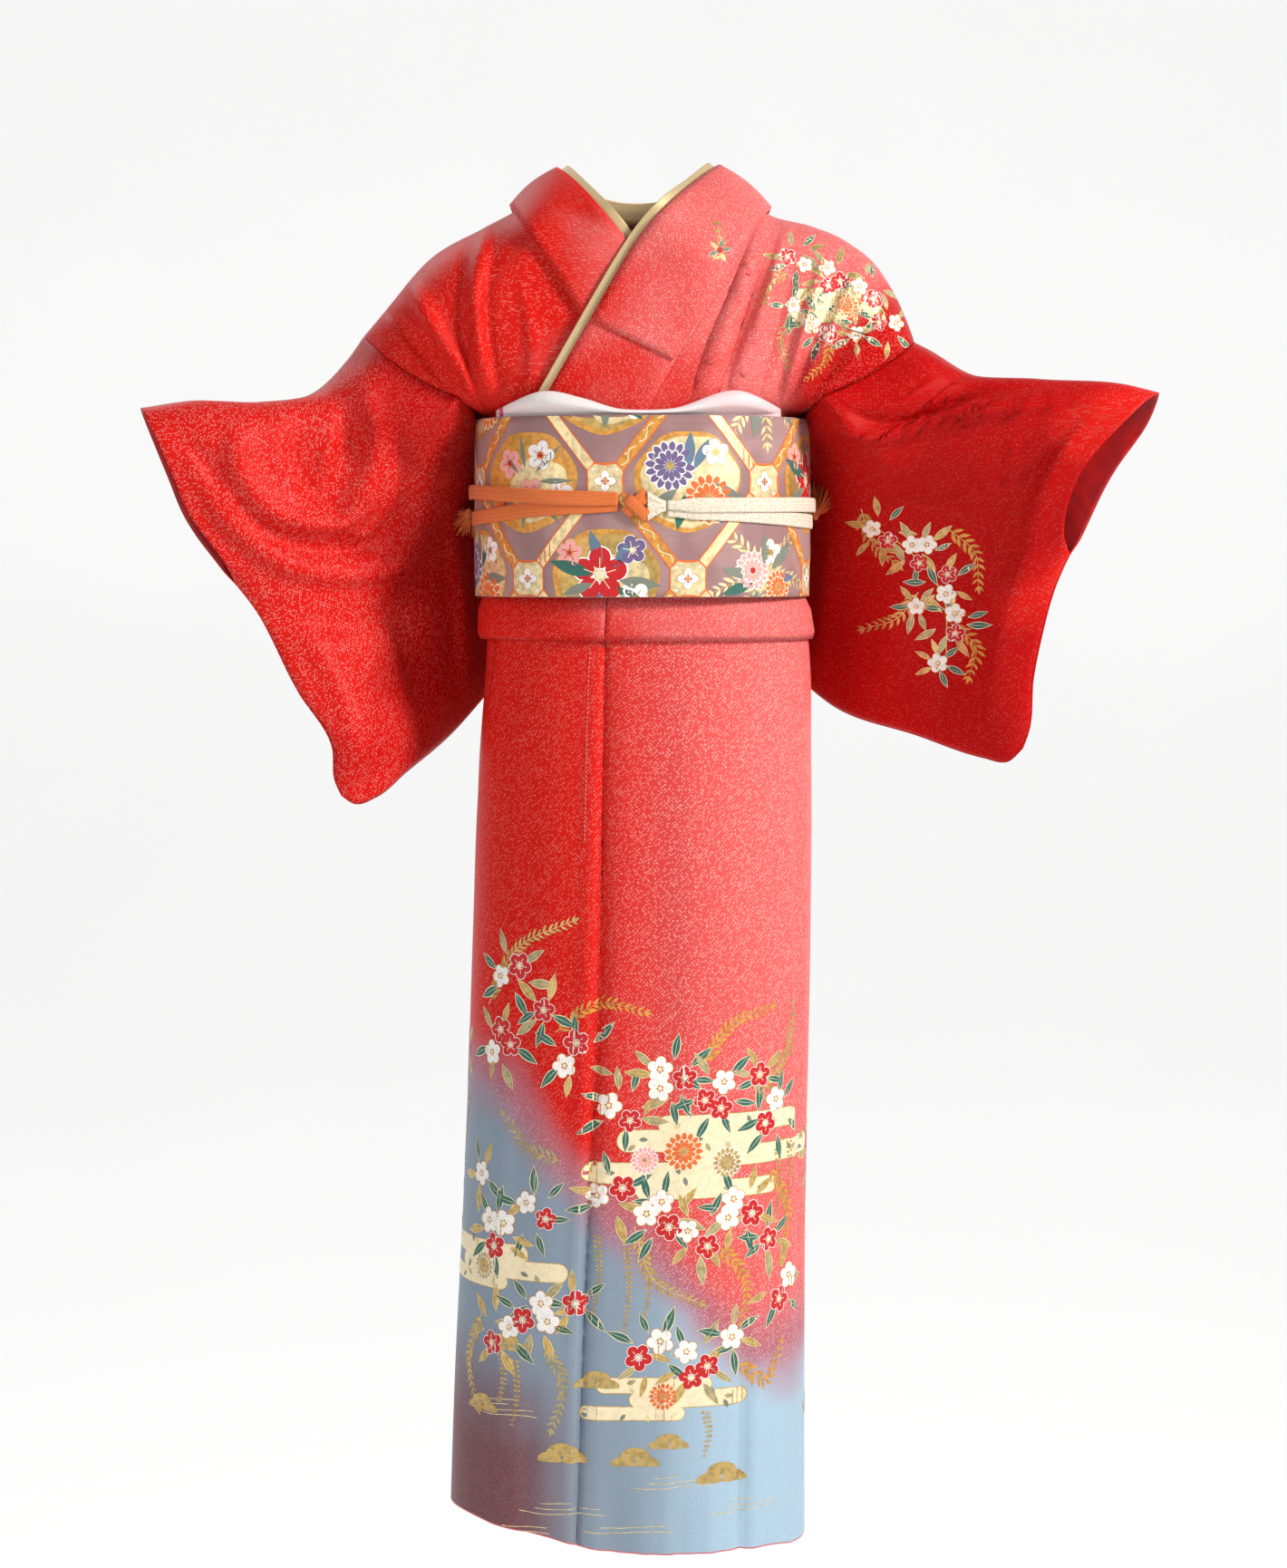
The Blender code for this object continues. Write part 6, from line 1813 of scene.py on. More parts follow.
def mist(design, bars, seed):
    """Level bands of mist with a fine edge, scattered with small fallen leaves."""
    chance = random.Random(seed)
    for left, right, v, half in bars:
        add(design, bar(left - 0.0008, right + 0.0008, v, half + 0.0008), "gold", 0)
    for left, right, v, half in bars:
        add(design, bar(left, right, v, half), "cream_gold", 1)
    for left, right, v, half in bars:
        for _ in range(max(1, round((right - left) / 0.03))):
            place = (chance.uniform(left + half, right - half), v + chance.uniform(-0.4, 0.4) * half)
            ink = chance.choice(["olive", "grey_green", "pale_gold"])
            length = min(half * 1.3, 0.009)
            add(design, blade(place, chance.uniform(0, 6.28), length, length * 0.5, 0.9, 1.0), ink, 2)


def pine(design, centre, size):
    """A low tuft of pine: three rounded heads with needles fanned in each."""
    for shift, rise, scale in ((-0.62, 0.0, 0.62), (0.62, 0.0, 0.62), (0.0, 0.34, 0.78)):
        middle = np.asarray(centre) + [shift * size, rise * size]
        head = np.linspace(0.0, math.pi, 13)
        arch = np.stack([np.cos(head), np.sin(head) * 0.72], axis=-1) * size * scale
        floor = np.linspace(-1.0, 1.0, 7)[1:-1, None] * [size * scale, 0.0]
        add(design, np.concatenate([arch, floor + [0.0, -0.1 * size * scale]]) + middle, "gold", 2)
        for turn in np.linspace(0.25, math.pi - 0.25, 7):
            aim = np.array([math.cos(turn), math.sin(turn) * 0.72]) * size * scale
            add(design, ribbon([middle, middle + aim * 0.5, middle + aim * 0.92], 0.0006), "olive", 3)


def ripples(design, centre, width, count):
    """A few thin level lines of running water."""
    for number in range(count):
        shift = 0.006 * math.sin(2.1 * number)
        length = width * (0.65 + 0.35 * math.cos(1.3 * number))
        u = np.linspace(-length / 2, length / 2, 9)
        v = 0.0011 * np.sin(u / 0.012) + 0.0048 * (number - count / 2)
        line = np.stack([u + shift, v], axis=-1) + np.asarray(centre)
        add(design, ribbon(line, 0.0007), "pale_gold", 1)


def clipped(outline, axis, limit, keep_below):
    """The part of an outline on one side of a limit."""
    sign = 1.0 if keep_below else -1.0
    kept = []
    for first, last in zip(outline, np.roll(outline, -1, axis=0)):
        inside = sign * (limit - first[axis]) >= 0
        if inside:
            kept.append(first)
        if inside != (sign * (limit - last[axis]) >= 0):
            share = (limit - first[axis]) / (last[axis] - first[axis])
            kept.append(first + (last - first) * share)
    return np.array(kept)


def within(outline, window):
    """An outline cut to a window of lowest and highest u and v."""
    (low_u, high_u), (low_v, high_v) = window
    for axis, limit, below in ((0, low_u, False), (0, high_u, True), (1, low_v, False), (1, high_v, True)):
        if len(outline) < 3:
            return outline
        outline = clipped(outline, axis, limit, below)
    return outline


def filled(outline, spacing):
    """Triangles that fill an outline, with points inside it as well."""
    low, high = outline.min(axis=0), outline.max(axis=0)
    counts = np.maximum(((high - low) / spacing).astype(int), 0)
    u = low[0] + spacing * (np.arange(counts[0]) + 0.5)
    v = low[1] + spacing * (np.arange(counts[1]) + 0.5)
    inner = np.stack(np.meshgrid(u, v), axis=-1).reshape(-1, 2)
    if len(inner):
        crossings = np.zeros(len(inner), dtype=int)
        near = np.full(len(inner), np.inf)
        for a, b in zip(outline, np.roll(outline, -1, axis=0)):
            spans = (a[1] > inner[:, 1]) != (b[1] > inner[:, 1])
            rise = b[1] - a[1] if b[1] != a[1] else 1e-12
            crossings += spans & (inner[:, 0] < a[0] + (inner[:, 1] - a[1]) / rise * (b[0] - a[0]))
            near = np.minimum(near, np.linalg.norm(inner - a, axis=1))
        inner = inner[(crossings % 2 == 1) & (near > spacing * 0.45)]
    points = [Vector(point) for point in np.concatenate([outline, inner]).tolist()]
    loop = list(range(len(outline)))
    made = delaunay_2d_cdt(points, [], [loop], 1, 1e-7)
    return np.array([tuple(point) for point in made[0]]).reshape(-1, 2), [list(face) for face in made[2]]


def face_of(names):
    """A search tree over the outer side of some sheets of cloth."""
    points = []
    faces = []
    for name in names:
        grid, thick = PIECES[name]
        outer = grid + normals_of(grid) * thick / 2
        faces += (quads(*grid.shape[:2]) + len(points)).tolist()
        points += outer.reshape(-1, 3).tolist()
    return BVHTree.FromPolygons(points, faces)


def batches_of(design, window, spacing):
    """The filled outlines of a design, gathered for each ink: points, triangles and lifts."""
    batches = {}
    for order, (outline, ink, layer) in enumerate(design):
        if window is not None:
            outline = within(outline, window)
        if len(outline) < 3:
            continue
        flat, faces = filled(outline, spacing)
        if len(faces) == 0:
            continue
        lift = INK_LIFT + INK_STEP * (layer * 8 + order % 7)
        points, triangles, lifts = batches.setdefault(ink, ([], [], []))
        start = sum(len(part) for part in points)
        points.append(flat)
        triangles += [[corner + start for corner in face] for face in faces]
        lifts.append(np.full(len(flat), lift))
    return batches


def lay(name, design, place, sheets, inks, window=None, spacing=0.0024):
    """Lay a design on the cloth: one piece for each ink, made from the cloth's points."""
    tree = face_of(sheets)
    made = []
    for ink, (points, triangles, lifts) in batches_of(design, window, spacing).items():
        start, aim = place(*np.concatenate(points).T)
        aim = unit(aim)
        surface = []
        for origin, direction, lift in zip(start.tolist(), aim.tolist(), np.concatenate(lifts)):
            hit, normal, _, _ = tree.ray_cast(Vector(origin), Vector(direction), 0.5)
            if hit is None:
                hit, normal, _, _ = tree.find_nearest(Vector(origin) + Vector(direction) * 0.03)
            surface.append(tuple(hit + normal * lift))
        mesh = bpy.data.meshes.new(name)
        mesh.from_pydata(surface, [], triangles)
        mesh.shade_smooth()
        made.append(add_piece("%s_%s" % (name, ink), mesh, [inks[ink]]))
    for sheet in SHEETS:
        if sheet[0].name == sheets[0] + "_cloth":
            sheet[-1].extend(made)


def round_section(u, v, point, height, out, away):
    """Places round a section, by the distance from the middle of its front at a height."""
    angles = np.linspace(-180.0, 180.0, 721)
    steps = distances(point(angles, height, out))
    angle = np.interp(u, steps - np.interp(0.0, angles, steps), angles)
    start = point(angle, v, away)
    return start, point(angle, v, 0.0) - start


def round_body(u, v):
    """Places round the skirt."""
    return round_section(u, v, ring_point, -0.9, LAYER, 0.04)


def round_obi(u, v):
    """Places round the obi."""
    return round_section(u, v, obi_point, -0.33, 0.0, 0.03)


def from_front(u, v):
    """Places seen from straight in front."""
    start = np.stack([u, np.full(len(u), -0.3), v], axis=-1)
    return start, np.tile([0.0, 1.0, 0.0], (len(u), 1))


def from_back(u, v):
    """Places seen from straight behind, where u runs towards the wearer's right."""
    start = np.stack([-u, np.full(len(u), 0.35), v], axis=-1)
    return start, np.tile([0.0, -1.0, 0.0], (len(u), 1))


# The hem's ornaments, from the middle of the front round to both sides
SKIRT_MISTS = [
    # seed and its bands: first u, last u, v, half height
    (11, [(0.02, 0.168, -0.905, 0.0085), (-0.018, 0.12, -0.92, 0.01), (0.04, 0.205, -0.936, 0.009),
          (-0.05, 0.09, -0.95, 0.0095), (0.0, 0.14, -0.966, 0.008)]),
    (12, [(-0.215, -0.1, -1.03, 0.008), (-0.19, -0.06, -1.045, 0.0085),
          (-0.23, -0.12, -1.058, 0.0065)]),
    (13, [(-0.03, 0.075, -1.148, 0.007), (0.0, 0.11, -1.161, 0.0075), (-0.045, 0.05, -1.174, 0.006)]),
    (14, [(0.25, 0.37, -0.985, 0.0085), (0.215, 0.33, -1.0, 0.009), (0.27, 0.4, -1.016, 0.0075),
          (-0.4, -0.3, -0.93, 0.008), (-0.37, -0.26, -0.945, 0.008)]),
]
SKIRT_POSIES = [
    # u, v, flowers, leaves
    (-0.128, -0.77, 2, 6), (-0.092, -0.8, 1, 5), (-0.14, -0.835, 3, 7),
    (-0.06, -0.842, 2, 6), (0.03, -0.862, 3, 8), (0.075, -0.878, 3, 8),
    (0.118, -0.862, 1, 5), (0.136, -0.9, 2, 7), (-0.014, -0.89, 2, 7),
    (0.1, -0.988, 3, 8), (0.062, -1.008, 2, 7), (0.024, -0.99, 3, 8),
    (0.132, -1.018, 1, 6), (-0.022, -0.972, 2, 6), (-0.096, -0.992, 2, 7),
    (-0.136, -1.012, 3, 8), (-0.16, -0.96, 1, 5), (-0.09, -1.086, 3, 8),
    (-0.128, -1.104, 2, 7), (-0.052, -1.072, 1, 5), (0.02, -1.118, 2, 7),
    (0.058, -1.128, 3, 8), (0.094, -1.106, 1, 6), (0.15, -1.064, 2, 6),
    (0.23, -0.95, 3, 8), (0.275, -0.962, 2, 7), (0.32, -1.04, 3, 8),
    (0.262, -1.048, 1, 6), (0.388, -1.0, 2, 7), (-0.25, -1.01, 2, 7),
    (-0.3, -0.89, 3, 8), (-0.345, -0.905, 2, 7), (-0.4, -1.0, 2, 7),
    (-0.35, -1.01, 1, 6), (0.42, -0.9, 1, 5), (-0.215, -0.85, 1, 5),
]
SKIRT_ROSETTES = [
    # u, v, radius, ink, rim
    (0.044, -0.93, 0.019, "orange", "cream_gold"), (0.086, -0.942, 0.015, "gold", "white"),
    (0.008, -0.938, 0.0135, "pink", "white"), (-0.15, -1.046, 0.014, "gold", "white"),
    (0.03, -1.158, 0.0135, "orange", "cream_gold"), (0.3, -1.0, 0.017, "orange", "cream_gold"),
    (-0.33, -0.938, 0.016, "pink", "white"),
]
SKIRT_FRONDS = [
    # path, ink
    ([(-0.158, -0.8), (-0.12, -0.742), (-0.066, -0.716)], "gold"),
    ([(-0.08, -0.82), (-0.036, -0.792), (0.004, -0.8)], "orange_gold"),
    ([(0.06, -0.85), (0.088, -0.812), (0.128, -0.8)], "orange_gold"),
    ([(0.12, -0.88), (0.152, -0.842), (0.16, -0.8)], "gold"),
    ([(0.13, -0.95), (0.158, -0.99), (0.15, -1.04)], "orange_gold"),
    ([(0.08, -1.02), (0.108, -1.056), (0.104, -1.092)], "orange_gold"),
    ([(0.0, -1.0), (0.02, -1.05), (0.062, -1.072)], "gold"),
    ([(-0.07, -0.94), (-0.104, -0.93), (-0.13, -0.902)], "olive"),
    ([(-0.15, -1.09), (-0.168, -1.14), (-0.15, -1.18)], "gold"),
    ([(-0.08, -1.11), (-0.06, -1.15), (-0.07, -1.19)], "olive"),
    ([(0.1, -1.13), (0.13, -1.15), (0.15, -1.12)], "orange_gold"),
    ([(0.24, -0.93), (0.27, -0.88), (0.32, -0.87)], "gold"),
    ([(0.34, -1.05), (0.37, -1.09), (0.36, -1.13)], "orange_gold"),
    ([(-0.31, -0.87), (-0.34, -0.82), (-0.39, -0.81)], "gold"),
    ([(-0.26, -0.99), (-0.22, -0.95), (-0.2, -0.9)], "orange_gold"),
]
SKIRT_TRAILS = [
    # u, top v, length
    (-0.006, -1.02, 0.085), (0.012, -1.03, 0.06), (-0.034, -1.01, 0.07), (0.142, -0.935, 0.075),
    (0.158, -0.93, 0.055), (-0.108, -1.13, 0.06), (-0.122, -1.125, 0.045), (0.29, -1.07, 0.07),
    (-0.28, -0.975, 0.07), (0.07, -1.175, 0.04),
]
SKIRT_PINES = [
    # u, v, size
    (-0.118, -1.12, 0.017), (-0.06, -1.22, 0.019), (-0.144, -1.18, 0.016), (0.006, -1.222, 0.018),
    (0.086, -1.24, 0.02), (-0.03, -1.15, 0.017), (0.036, -1.206, 0.015), (0.23, -1.2, 0.019),
    (0.33, -1.22, 0.02), (-0.26, -1.2, 0.019), (-0.35, -1.22, 0.02),
]
SKIRT_RIPPLES = [
    # u, v, width, number of lines
    (-0.12, -1.172, 0.07, 4), (-0.06, -1.262, 0.08, 3), (0.04, -1.236, 0.07, 3),
    (0.11, -1.262, 0.07, 3), (-0.1, -1.284, 0.06, 2), (0.0, -1.28, 0.08, 2),
    (0.28, -1.24, 0.09, 3), (-0.3, -1.25, 0.09, 3),
]

# The sprays above: posies, then curved stems
SHOULDER_MIST = [
    # first u, last u, v, half height
    (0.148, 0.21, -0.13, 0.0055), (0.162, 0.228, -0.141, 0.0055), (0.14, 0.196, -0.151, 0.0045),
]
SHOULDER_POSIES = [
    # u, v, flowers, leaves
    (0.15, -0.094, 2, 7), (0.182, -0.112, 3, 8), (0.218, -0.124, 2, 7),
    (0.172, -0.16, 2, 7), (0.206, -0.166, 1, 6), (0.236, -0.158, 2, 6),
    (0.146, -0.14, 1, 5),
]
SHOULDER_FRONDS = [
    # path, ink
    ([(0.15, -0.15), (0.134, -0.172), (0.14, -0.196)], "gold"),
    ([(0.18, -0.172), (0.176, -0.194), (0.16, -0.208)], "orange_gold"),
    ([(0.14, -0.11), (0.124, -0.12), (0.118, -0.136)], "gold"),
]
SLEEVE_POSIES = [
    # u, v, flowers, leaves
    (0.236, -0.352, 2, 7), (0.27, -0.372, 3, 8), (0.292, -0.402, 2, 7),
    (0.3, -0.44, 2, 7), (0.268, -0.424, 1, 6), (0.288, -0.478, 1, 6),
]
SLEEVE_FRONDS = [
    # path, ink
    ([(0.216, -0.33), (0.226, -0.36), (0.25, -0.384)], "gold"),
    ([(0.296, -0.35), (0.32, -0.372), (0.324, -0.404)], "orange_gold"),
    ([(0.27, -0.41), (0.25, -0.436), (0.222, -0.446)], "gold"),
    ([(0.3, -0.44), (0.322, -0.462), (0.316, -0.49)], "orange_gold"),
]
SLEEVE_STEM = [(0.226, -0.345), (0.262, -0.372), (0.292, -0.412), (0.296, -0.47)]
REAR_POSIES = [
    # u, v, flowers, leaves
    (0.26, -0.4, 3, 8), (0.292, -0.372, 2, 7), (0.236, -0.44, 2, 7),
    (0.282, -0.44, 1, 6),
]
REAR_FRONDS = [
    # path, ink
    ([(0.3, -0.36), (0.322, -0.33), (0.32, -0.3)], "gold"),
    ([(0.24, -0.45), (0.222, -0.48), (0.23, -0.51)], "orange_gold"),
]


def sprays(design, posies, posy_seed, fronds, frond_seed, size, *shape):
    """Posies of one size and curved stems, from their tables and first seeds."""
    for seed, (u, v, flowers, leaves) in enumerate(posies, posy_seed):
        posy(design, (u, v), seed, flowers, leaves, size)
    for seed, (path, ink) in enumerate(fronds, frond_seed):
        frond(design, path, seed, ink, *shape)


def skirt_design():
    """Blossoms, leaves, mist, pine and water round the lower half of the skirt."""
    design = []
    for seed, bars in SKIRT_MISTS:
        mist(design, bars, seed)
    sprays(design, SKIRT_POSIES, 1, SKIRT_FRONDS, 41, 0.012)
    for number, (u, top, length) in enumerate(SKIRT_TRAILS):
        path = [(u, top), (u + 0.003, top - length / 2), (u - 0.001, top - length)]
        trail(design, path, 60 + number, "gold")
    for u, v, radius, ink, rim in SKIRT_ROSETTES:
        rosette(design, (u, v), radius, ink, 0.1, rim)
    for u, v, size in SKIRT_PINES:
        pine(design, (u, v), size)
    for u, v, width, count in SKIRT_RIPPLES:
        ripples(design, (u, v), width, count)
    return design


def shoulder_design():
    """Sprays over the left shoulder, in front."""
    design = []
    mist(design, SHOULDER_MIST, 21)
    sprays(design, SHOULDER_POSIES, 61, SHOULDER_FRONDS, 68, 0.0088, 0.009, 0.005)
    rosette(design, (0.196, -0.14), 0.012, "orange", 0.0, "cream_gold")
    return design


def sleeve_design():
    """A loose spray on the front of the left sleeve."""
    design = []
    add(design, ribbon(SLEEVE_STEM, 0.001), "gold", 1)
    sprays(design, SLEEVE_POSIES, 75, SLEEVE_FRONDS, 71, 0.0092)
    return design


def right_sleeve_design():
    """A spray on the back of the right sleeve."""
    design = []
    sprays(design, REAR_POSIES, 91, REAR_FRONDS, 95, 0.0095)
    return design


def collar_design():
    """One small sprig on the left side of the collar."""
    design = []
    frond(design, [(0.07, -0.1), (0.077, -0.084), (0.074, -0.066)], 81, "gold", 0.0085, 0.006)
    for turn, ink in ((0.2, "green"), (1.3, "green"), (2.4, "gold"), (3.6, "green"), (5.2, "gold")):
        leaf(design, (0.076, -0.09), turn, 0.0125, ink)
    add(design, disc((0.0765, -0.0895), 0.003, 1.0, 0.0, 0.18), "crimson", 6)
    return design


def lattice(design, origin, rows, columns):
    """The obi's lattice: squares joined by slanting bands, with edged outlines."""
    for row in range(*rows):
        for column in range(*columns):
            u = origin[0] + LATTICE_WIDTH * (column + 0.5 * (row % 2))
            v = origin[1] + LATTICE_HEIGHT * row
            for side in (-1, 1):
                gold = (side > 0) != (row % 2 == 0)
                start = np.array([u + side * SQUARE_HALF * 0.8, v + SQUARE_HALF * 0.8])
                end = np.array([u + side * (LATTICE_WIDTH / 2 - SQUARE_HALF * 0.8),
                                v + LATTICE_HEIGHT - SQUARE_HALF * 0.8])
                middle = (start + end) / 2
                add(design, ribbon([start, middle, end], BAND_WIDTH + BAND_EDGES), "orange", 4)
                ink = "pale_gold" if gold else "orange_gold"
                add(design, ribbon([start, middle, end], BAND_WIDTH), ink, 5)
                if not gold:
                    curls(design, start, end)
            square(design, np.array([u, v]))


def square(design, middle):
    """A square of the lattice with cut corners and a small flower."""
    corner = SQUARE_HALF * 0.62
    frame = np.array([(-SQUARE_HALF, -corner), (-corner, -SQUARE_HALF), (corner, -SQUARE_HALF),
                      (SQUARE_HALF, -corner), (SQUARE_HALF, corner), (corner, SQUARE_HALF),
                      (-corner, SQUARE_HALF), (-SQUARE_HALF, corner)])
    add(design, frame * 1.09 + middle, "orange", 6)
    add(design, frame + middle, "pale_gold", 7)
    for number in range(4):
        turn = math.pi / 2 * number
        aim = toward(turn)
        add(design, disc(middle + aim * 0.0058, 0.0047, 0.95, turn, 0.06, 3), "gold", 8)
        add(design, disc(middle + aim * 0.0058, 0.004, 0.95, turn, 0.06, 3), "white", 9)
        add(design, disc(middle + aim * 0.0028, 0.001), "crimson", 10)
        add(design, disc(middle + turned(aim, math.pi / 4) * 0.0152, 0.0013), "white", 9)
    add(design, disc(middle, 0.0009), "crimson", 10)


def curls(design, start, end):
    """Cream curls down a slanting band."""
    run = end - start
    length = np.linalg.norm(run)
    aim = math.atan2(run[1], run[0])
    for number in range(3):
        middle = start + run * (number + 0.5) / 3
        t = np.linspace(-1.0, 1.0, 9)
        wave = np.stack([t * length / 7.5, 0.0026 * np.sin(t * math.pi)], axis=-1)
        add(design, ribbon(turned(wave, aim) + middle, 0.001), "cream_gold", 6)
        add(design, disc(middle + turned(np.array([0.0, 0.003]), aim), 0.0009), "cream_gold", 6)


CELL_CLOUDS = {"peony": "gold", "lily": "orange_gold", "rosettes": "pale_gold"}
CELL_BLOSSOMS = {
    # u, v, radius, ink, turn, heart
    "peony": [
        (-0.004, 0.003, 0.02, "crimson", 0.3, "cream_gold"), (0.021, -0.014, 0.012, "white", 0.9, "gold"),
        (-0.026, 0.019, 0.01, "pink", 0.2, "crimson"), (0.019, 0.021, 0.0105, "purple", 0.5, "cream_gold"),
    ],
    "rosettes": [(0.02, 0.021, 0.01, "white", 0.4, "gold")],
    "fern": [(0.006, 0.019, 0.01, "white", 0.4, "gold")],
}
CELL_ROSETTES = {
    # u, v, radius, ink, turn, rim, heart
    "rosettes": [
        (-0.013, 0.011, 0.019, "purple", 0.0, "white", "gold"),
        (0.015, -0.013, 0.019, "orange", 0.1, "cream_gold", "gold"),
    ],
    "fern": [
        (-0.01, 0.006, 0.015, "pink", 0.0, "white", "crimson"),
        (0.014, -0.006, 0.013, "orange", 0.2, "cream_gold", "gold"),
    ],
}
LILY_SPREAD = 1.35
LILY_BLOSSOMS = [
    # u, v, ink
    (-0.012, 0.01, "pink"), (0.008, 0.014, "white"), (0.002, -0.006, "pink"),
    (-0.016, -0.012, "orange"), (0.019, -0.008, "white"),
]
FERN_AIMS = (-2.9, -2.2, -1.5, -0.8, -0.1, 0.8, 2.3)


def cell(whole, centre, kind, seed):
    """What fills a cell of the lattice: a round cloud, flowers and leaves."""
    chance = random.Random(seed)
    design = []
    if kind != "fern":
        add(design, disc((0.0, 0.0), 0.039, 0.94, 0.2, 0.02, 7), "orange_gold", 1)
        add(design, disc((0.002, 0.0), 0.036, 0.92, 0.2, 0.03, 7), CELL_CLOUDS[kind], 2)
        add(design, disc((0.008, -0.006), 0.025, 0.9, 0.6, 0.05, 5), "pale_gold", 3)
    for number in range(7):
        turn = 2 * math.pi * number / 7 + chance.uniform(-0.3, 0.3)
        length = chance.uniform(0.022, 0.033)
        ink = "grey_green" if kind == "lily" else chance.choice(["grey_green", "green", "slate"])
        width = length * (0.16 if kind == "lily" else 0.3)
        add(design, blade(0.01 * toward(turn), turn, length, width, 0.9, 1.0), ink, 4)
    if kind == "lily":
        for u, v, ink in LILY_BLOSSOMS:
            place = (u * LILY_SPREAD, v * LILY_SPREAD)
            blossom(design, place, 0.0112, ink, chance.uniform(0, 1), "crimson")
    if kind == "fern":
        for aim in FERN_AIMS:
            tip = 0.042 * toward(aim)
            path = [(0.0, 0.004), (tip[0] / 2, tip[1] / 2 + 0.004), tuple(tip)]
            frond(design, path, seed, "pale_gold", 0.012, 0.0055)
    for u, v, radius, ink, turn, rim, heart in CELL_ROSETTES.get(kind, []):
        rosette(design, (u, v), radius, ink, turn, rim, heart)
    for u, v, radius, ink, turn, heart in CELL_BLOSSOMS.get(kind, []):
        blossom(design, (u, v), radius, ink, turn, heart)
    for outline, ink, layer in design:
        add(whole, outline * CELL_SCALE + centre, ink, layer)


def obi_design(origin, rows, columns):
    """The lattice and its cells over some rows and columns of the obi."""
    design = []
    number = 0
    for row in range(*rows):
        for column in range(*columns):
            u = origin[0] + LATTICE_WIDTH * (column + 0.5 + 0.5 * (row % 2))
            v = origin[1] + LATTICE_HEIGHT * row
            kind = CELL_KINDS[(2 * (row % 2) + column) % len(CELL_KINDS)]
            cell(design, (u, v), kind, 200 + number)
            number += 1
    lattice(design, origin, rows, columns)
    return design


def behind(heights, inset=0.0):
    """The window of what hangs behind, as wide as the drum less an inset."""
    edge = DRUM_HALF_WIDTH - 0.001
    return (-edge - OBI_CENTRE_X + inset, edge - OBI_CENTRE_X - inset), heights


def make_designs():
    """Lay every design on its cloth."""
    inks = {name: ink_finish(name) for name in INKS}
    skirt = ["skirt_front_left", "okumi_left", "skirt_back_left", "skirt_back_right", "skirt_front_right"]
    lay("hem_design", skirt_design(), round_body, skirt, inks, HEM_WINDOW, 0.0017)
    lay("shoulder_design", shoulder_design(), from_front, ["bodice_left"], inks)
    lay("sleeve_design", sleeve_design(), from_front, ["sleeve_left"], inks)
    lay("collar_design", collar_design(), from_front, ["over_collar", "collar"], inks)
    lay("right_sleeve_design", right_sleeve_design(), from_back, ["sleeve_right"], inks)
    design = obi_design(LATTICE_START, (-2, 2), (-3, 3))
    lay("obi_design", design, round_obi, ["obi_wrap"], inks, OBI_WINDOW)
    design = obi_design(DRUM_LATTICE_START, (-4, 2), (-2, 2))
    lay("drum_design", design, from_back, ["obi_drum"], inks, behind(DRUM_HEIGHTS))
    design = obi_design(TAIL_LATTICE_START, (-1, 2), (-2, 2))
    lay("tail_design", design, from_back, ["obi_tare"], inks, behind(TAIL_HEIGHTS, TAIL_INSET))


def lamp(name, place, aim, size, power, colour):
    """A soft area light aimed at a point."""
    light = bpy.data.lights.new(name, "AREA")
    light.shape = "RECTANGLE"
    light.size, light.size_y = size
    light.energy = power
    light.color = colour
    item = in_scene(name, light)
    item.location = place
    item.rotation_euler = (Vector(aim) - Vector(place)).to_track_quat("-Z", "Y").to_euler()


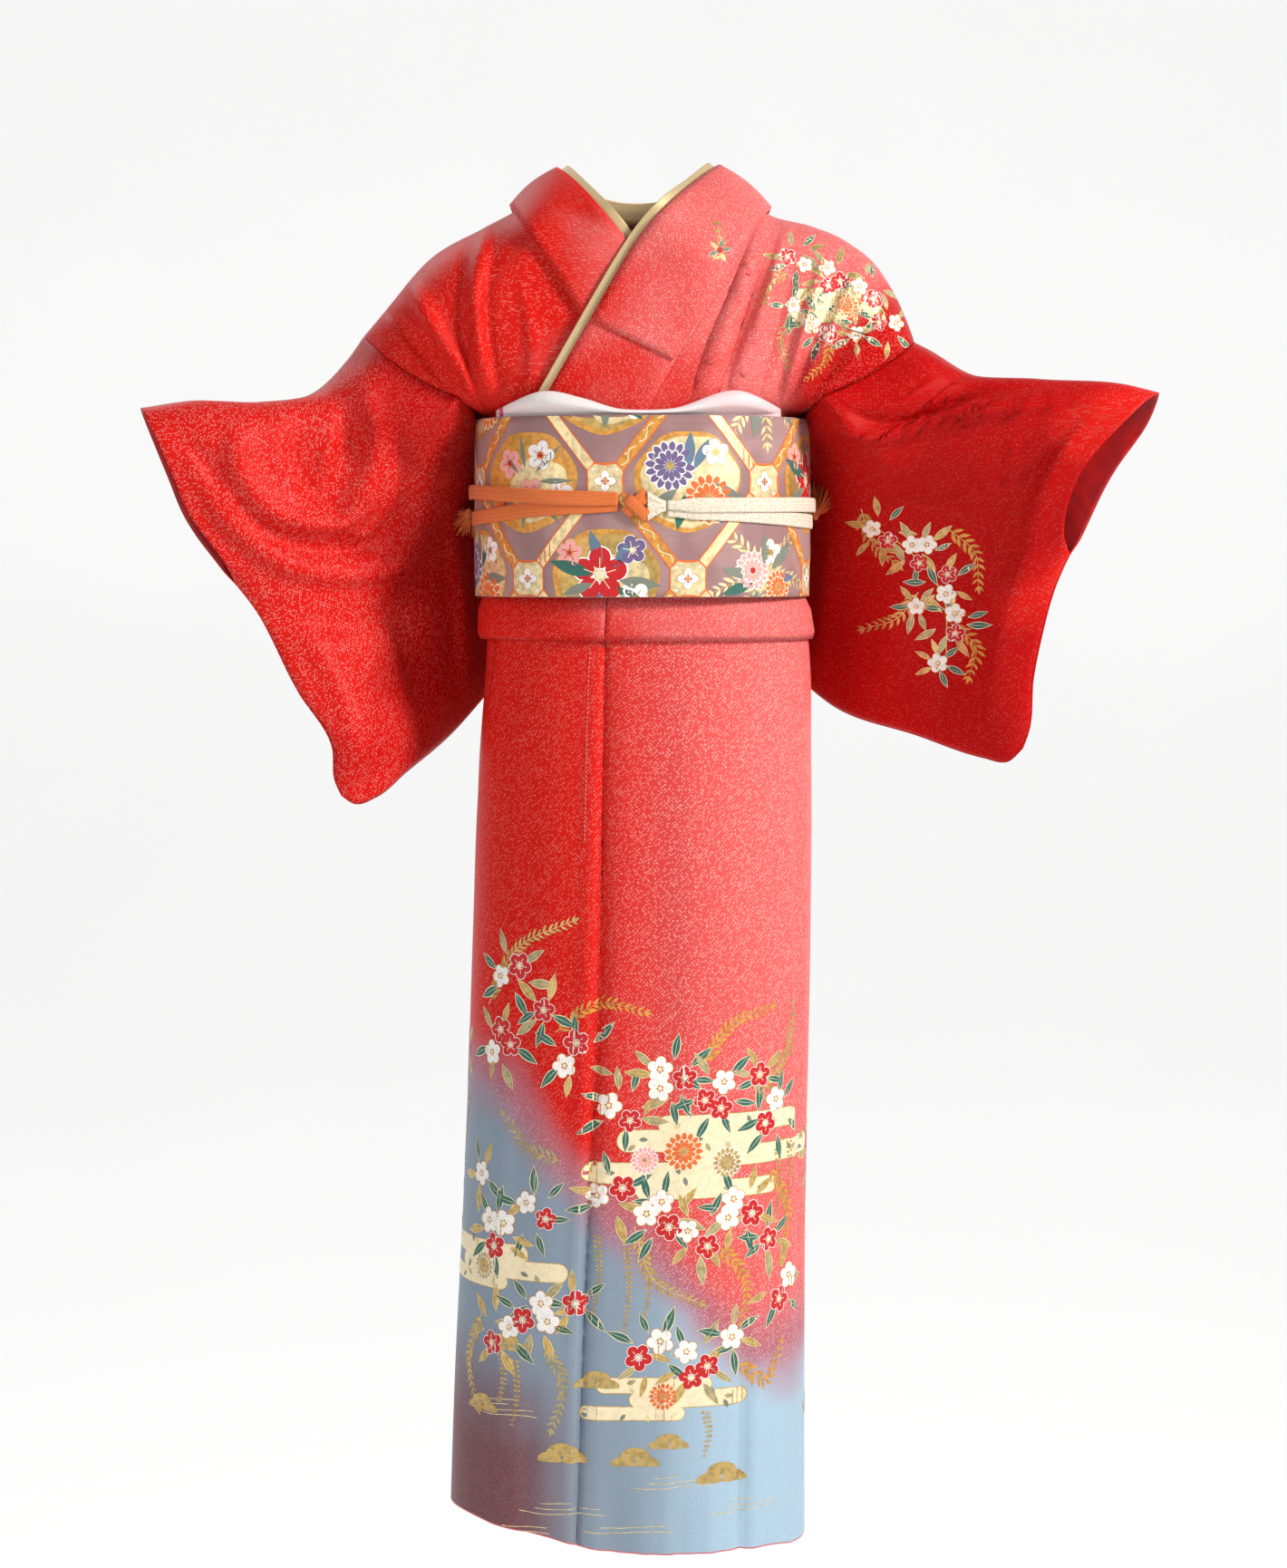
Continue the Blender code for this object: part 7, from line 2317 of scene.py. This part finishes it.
def make_backdrop():
    """Pale floor and backdrop in one sweep."""
    rows = run_along(SWEEP_ROWS, shares(60))
    grid = np.zeros((len(rows), 3, 3))
    grid[..., 0] = np.linspace(-SWEEP_HALF_WIDTH, SWEEP_HALF_WIDTH, 3)
    grid[..., 1:] = rows[:, None]
    backdrop = in_scene("backdrop", grid_mesh("backdrop", grid))
    finish, tree = new_finish("backdrop", 0.9)
    grain = put(tree, "ShaderNodeTexNoise", {"Vector": places(tree)[1], "Scale": 3.0})["Fac"]
    colour = blend(tree, grain, (0.4, 0.4, 0.4, 1.0), (0.42, 0.42, 0.42, 1.0))
    shader = tree.nodes["Principled BSDF"]
    tree.links.new(colour, shader.inputs["Base Color"])
    shader.inputs["Emission Color"].default_value = WHITE
    shader.inputs["Emission Strength"].default_value = BACKDROP_GLOW
    backdrop.data.materials.append(finish)


def make_lights():
    """Soft lights and an even pale sky."""
    world = bpy.data.worlds.new("studio")
    world.use_nodes = True
    sky = world.node_tree.nodes["Background"].inputs
    sky["Color"].default_value = WHITE
    sky["Strength"].default_value = WORLD_STRENGTH
    bpy.context.scene.world = world
    bpy.context.scene.view_settings.view_transform = "Standard"
    for row in LAMPS:
        lamp(*row)


def make_camera():
    """The camera, level and in front, with its frame shifted down to the hem."""
    camera = bpy.data.cameras.new("camera")
    camera.sensor_fit = "VERTICAL"
    camera.sensor_height = SENSOR
    camera.lens = LENS
    camera.shift_x = (FRAME[0] / 2 - AXIS[0]) / FRAME[1]
    camera.shift_y = (AXIS[1] - FRAME[1] / 2) / FRAME[1]
    view = in_scene("camera", camera)
    view.location = EYE
    view.rotation_euler = (math.pi / 2, 0.0, 0.0)
    bpy.context.scene.camera = view


def main():
    """Dress the whole garment."""
    lining = plain_silk("lining_silk", LINING_RED, DEEP_RED, 30.0)
    hem_lining = plain_silk("hem_lining", HEM_PINK, ROSE_RED, 30.0)
    silks = {name: figured_silk("silk_" + name, *values) for name, values in SILKS.items()}
    body_silk = silks["body"]
    orange = braid("braid_orange", CORD_ORANGE, CORD_ORANGE_PALE, 0.0)
    cream = braid("braid_cream", CORD_CREAM, CORD_PALE, 0.8)
    scarf = scarf_silk()
    ground = woven_obi()
    reverse = plain_silk("obi_reverse", OBI_REVERSE, OBI_REVERSE_PALE, 40.0)
    thread = plain_silk("thread", THREAD_RED, THREAD_PINK, 90.0)
    make_bodice(body_silk, lining)
    make_sleeves(silks, lining)
    make_collar(body_silk, strip_gold())
    make_skirt(dyed_silk(), hem_lining)
    make_ohashori(body_silk)
    make_obi(ground, reverse)
    make_obiage(scarf)
    make_pad(scarf)
    make_cord(orange, cream)
    make_knot(orange, cream)
    make_tassels(orange)
    make_stitches(thread)
    make_designs()
    make_backdrop()
    make_lights()
    make_camera()


main()
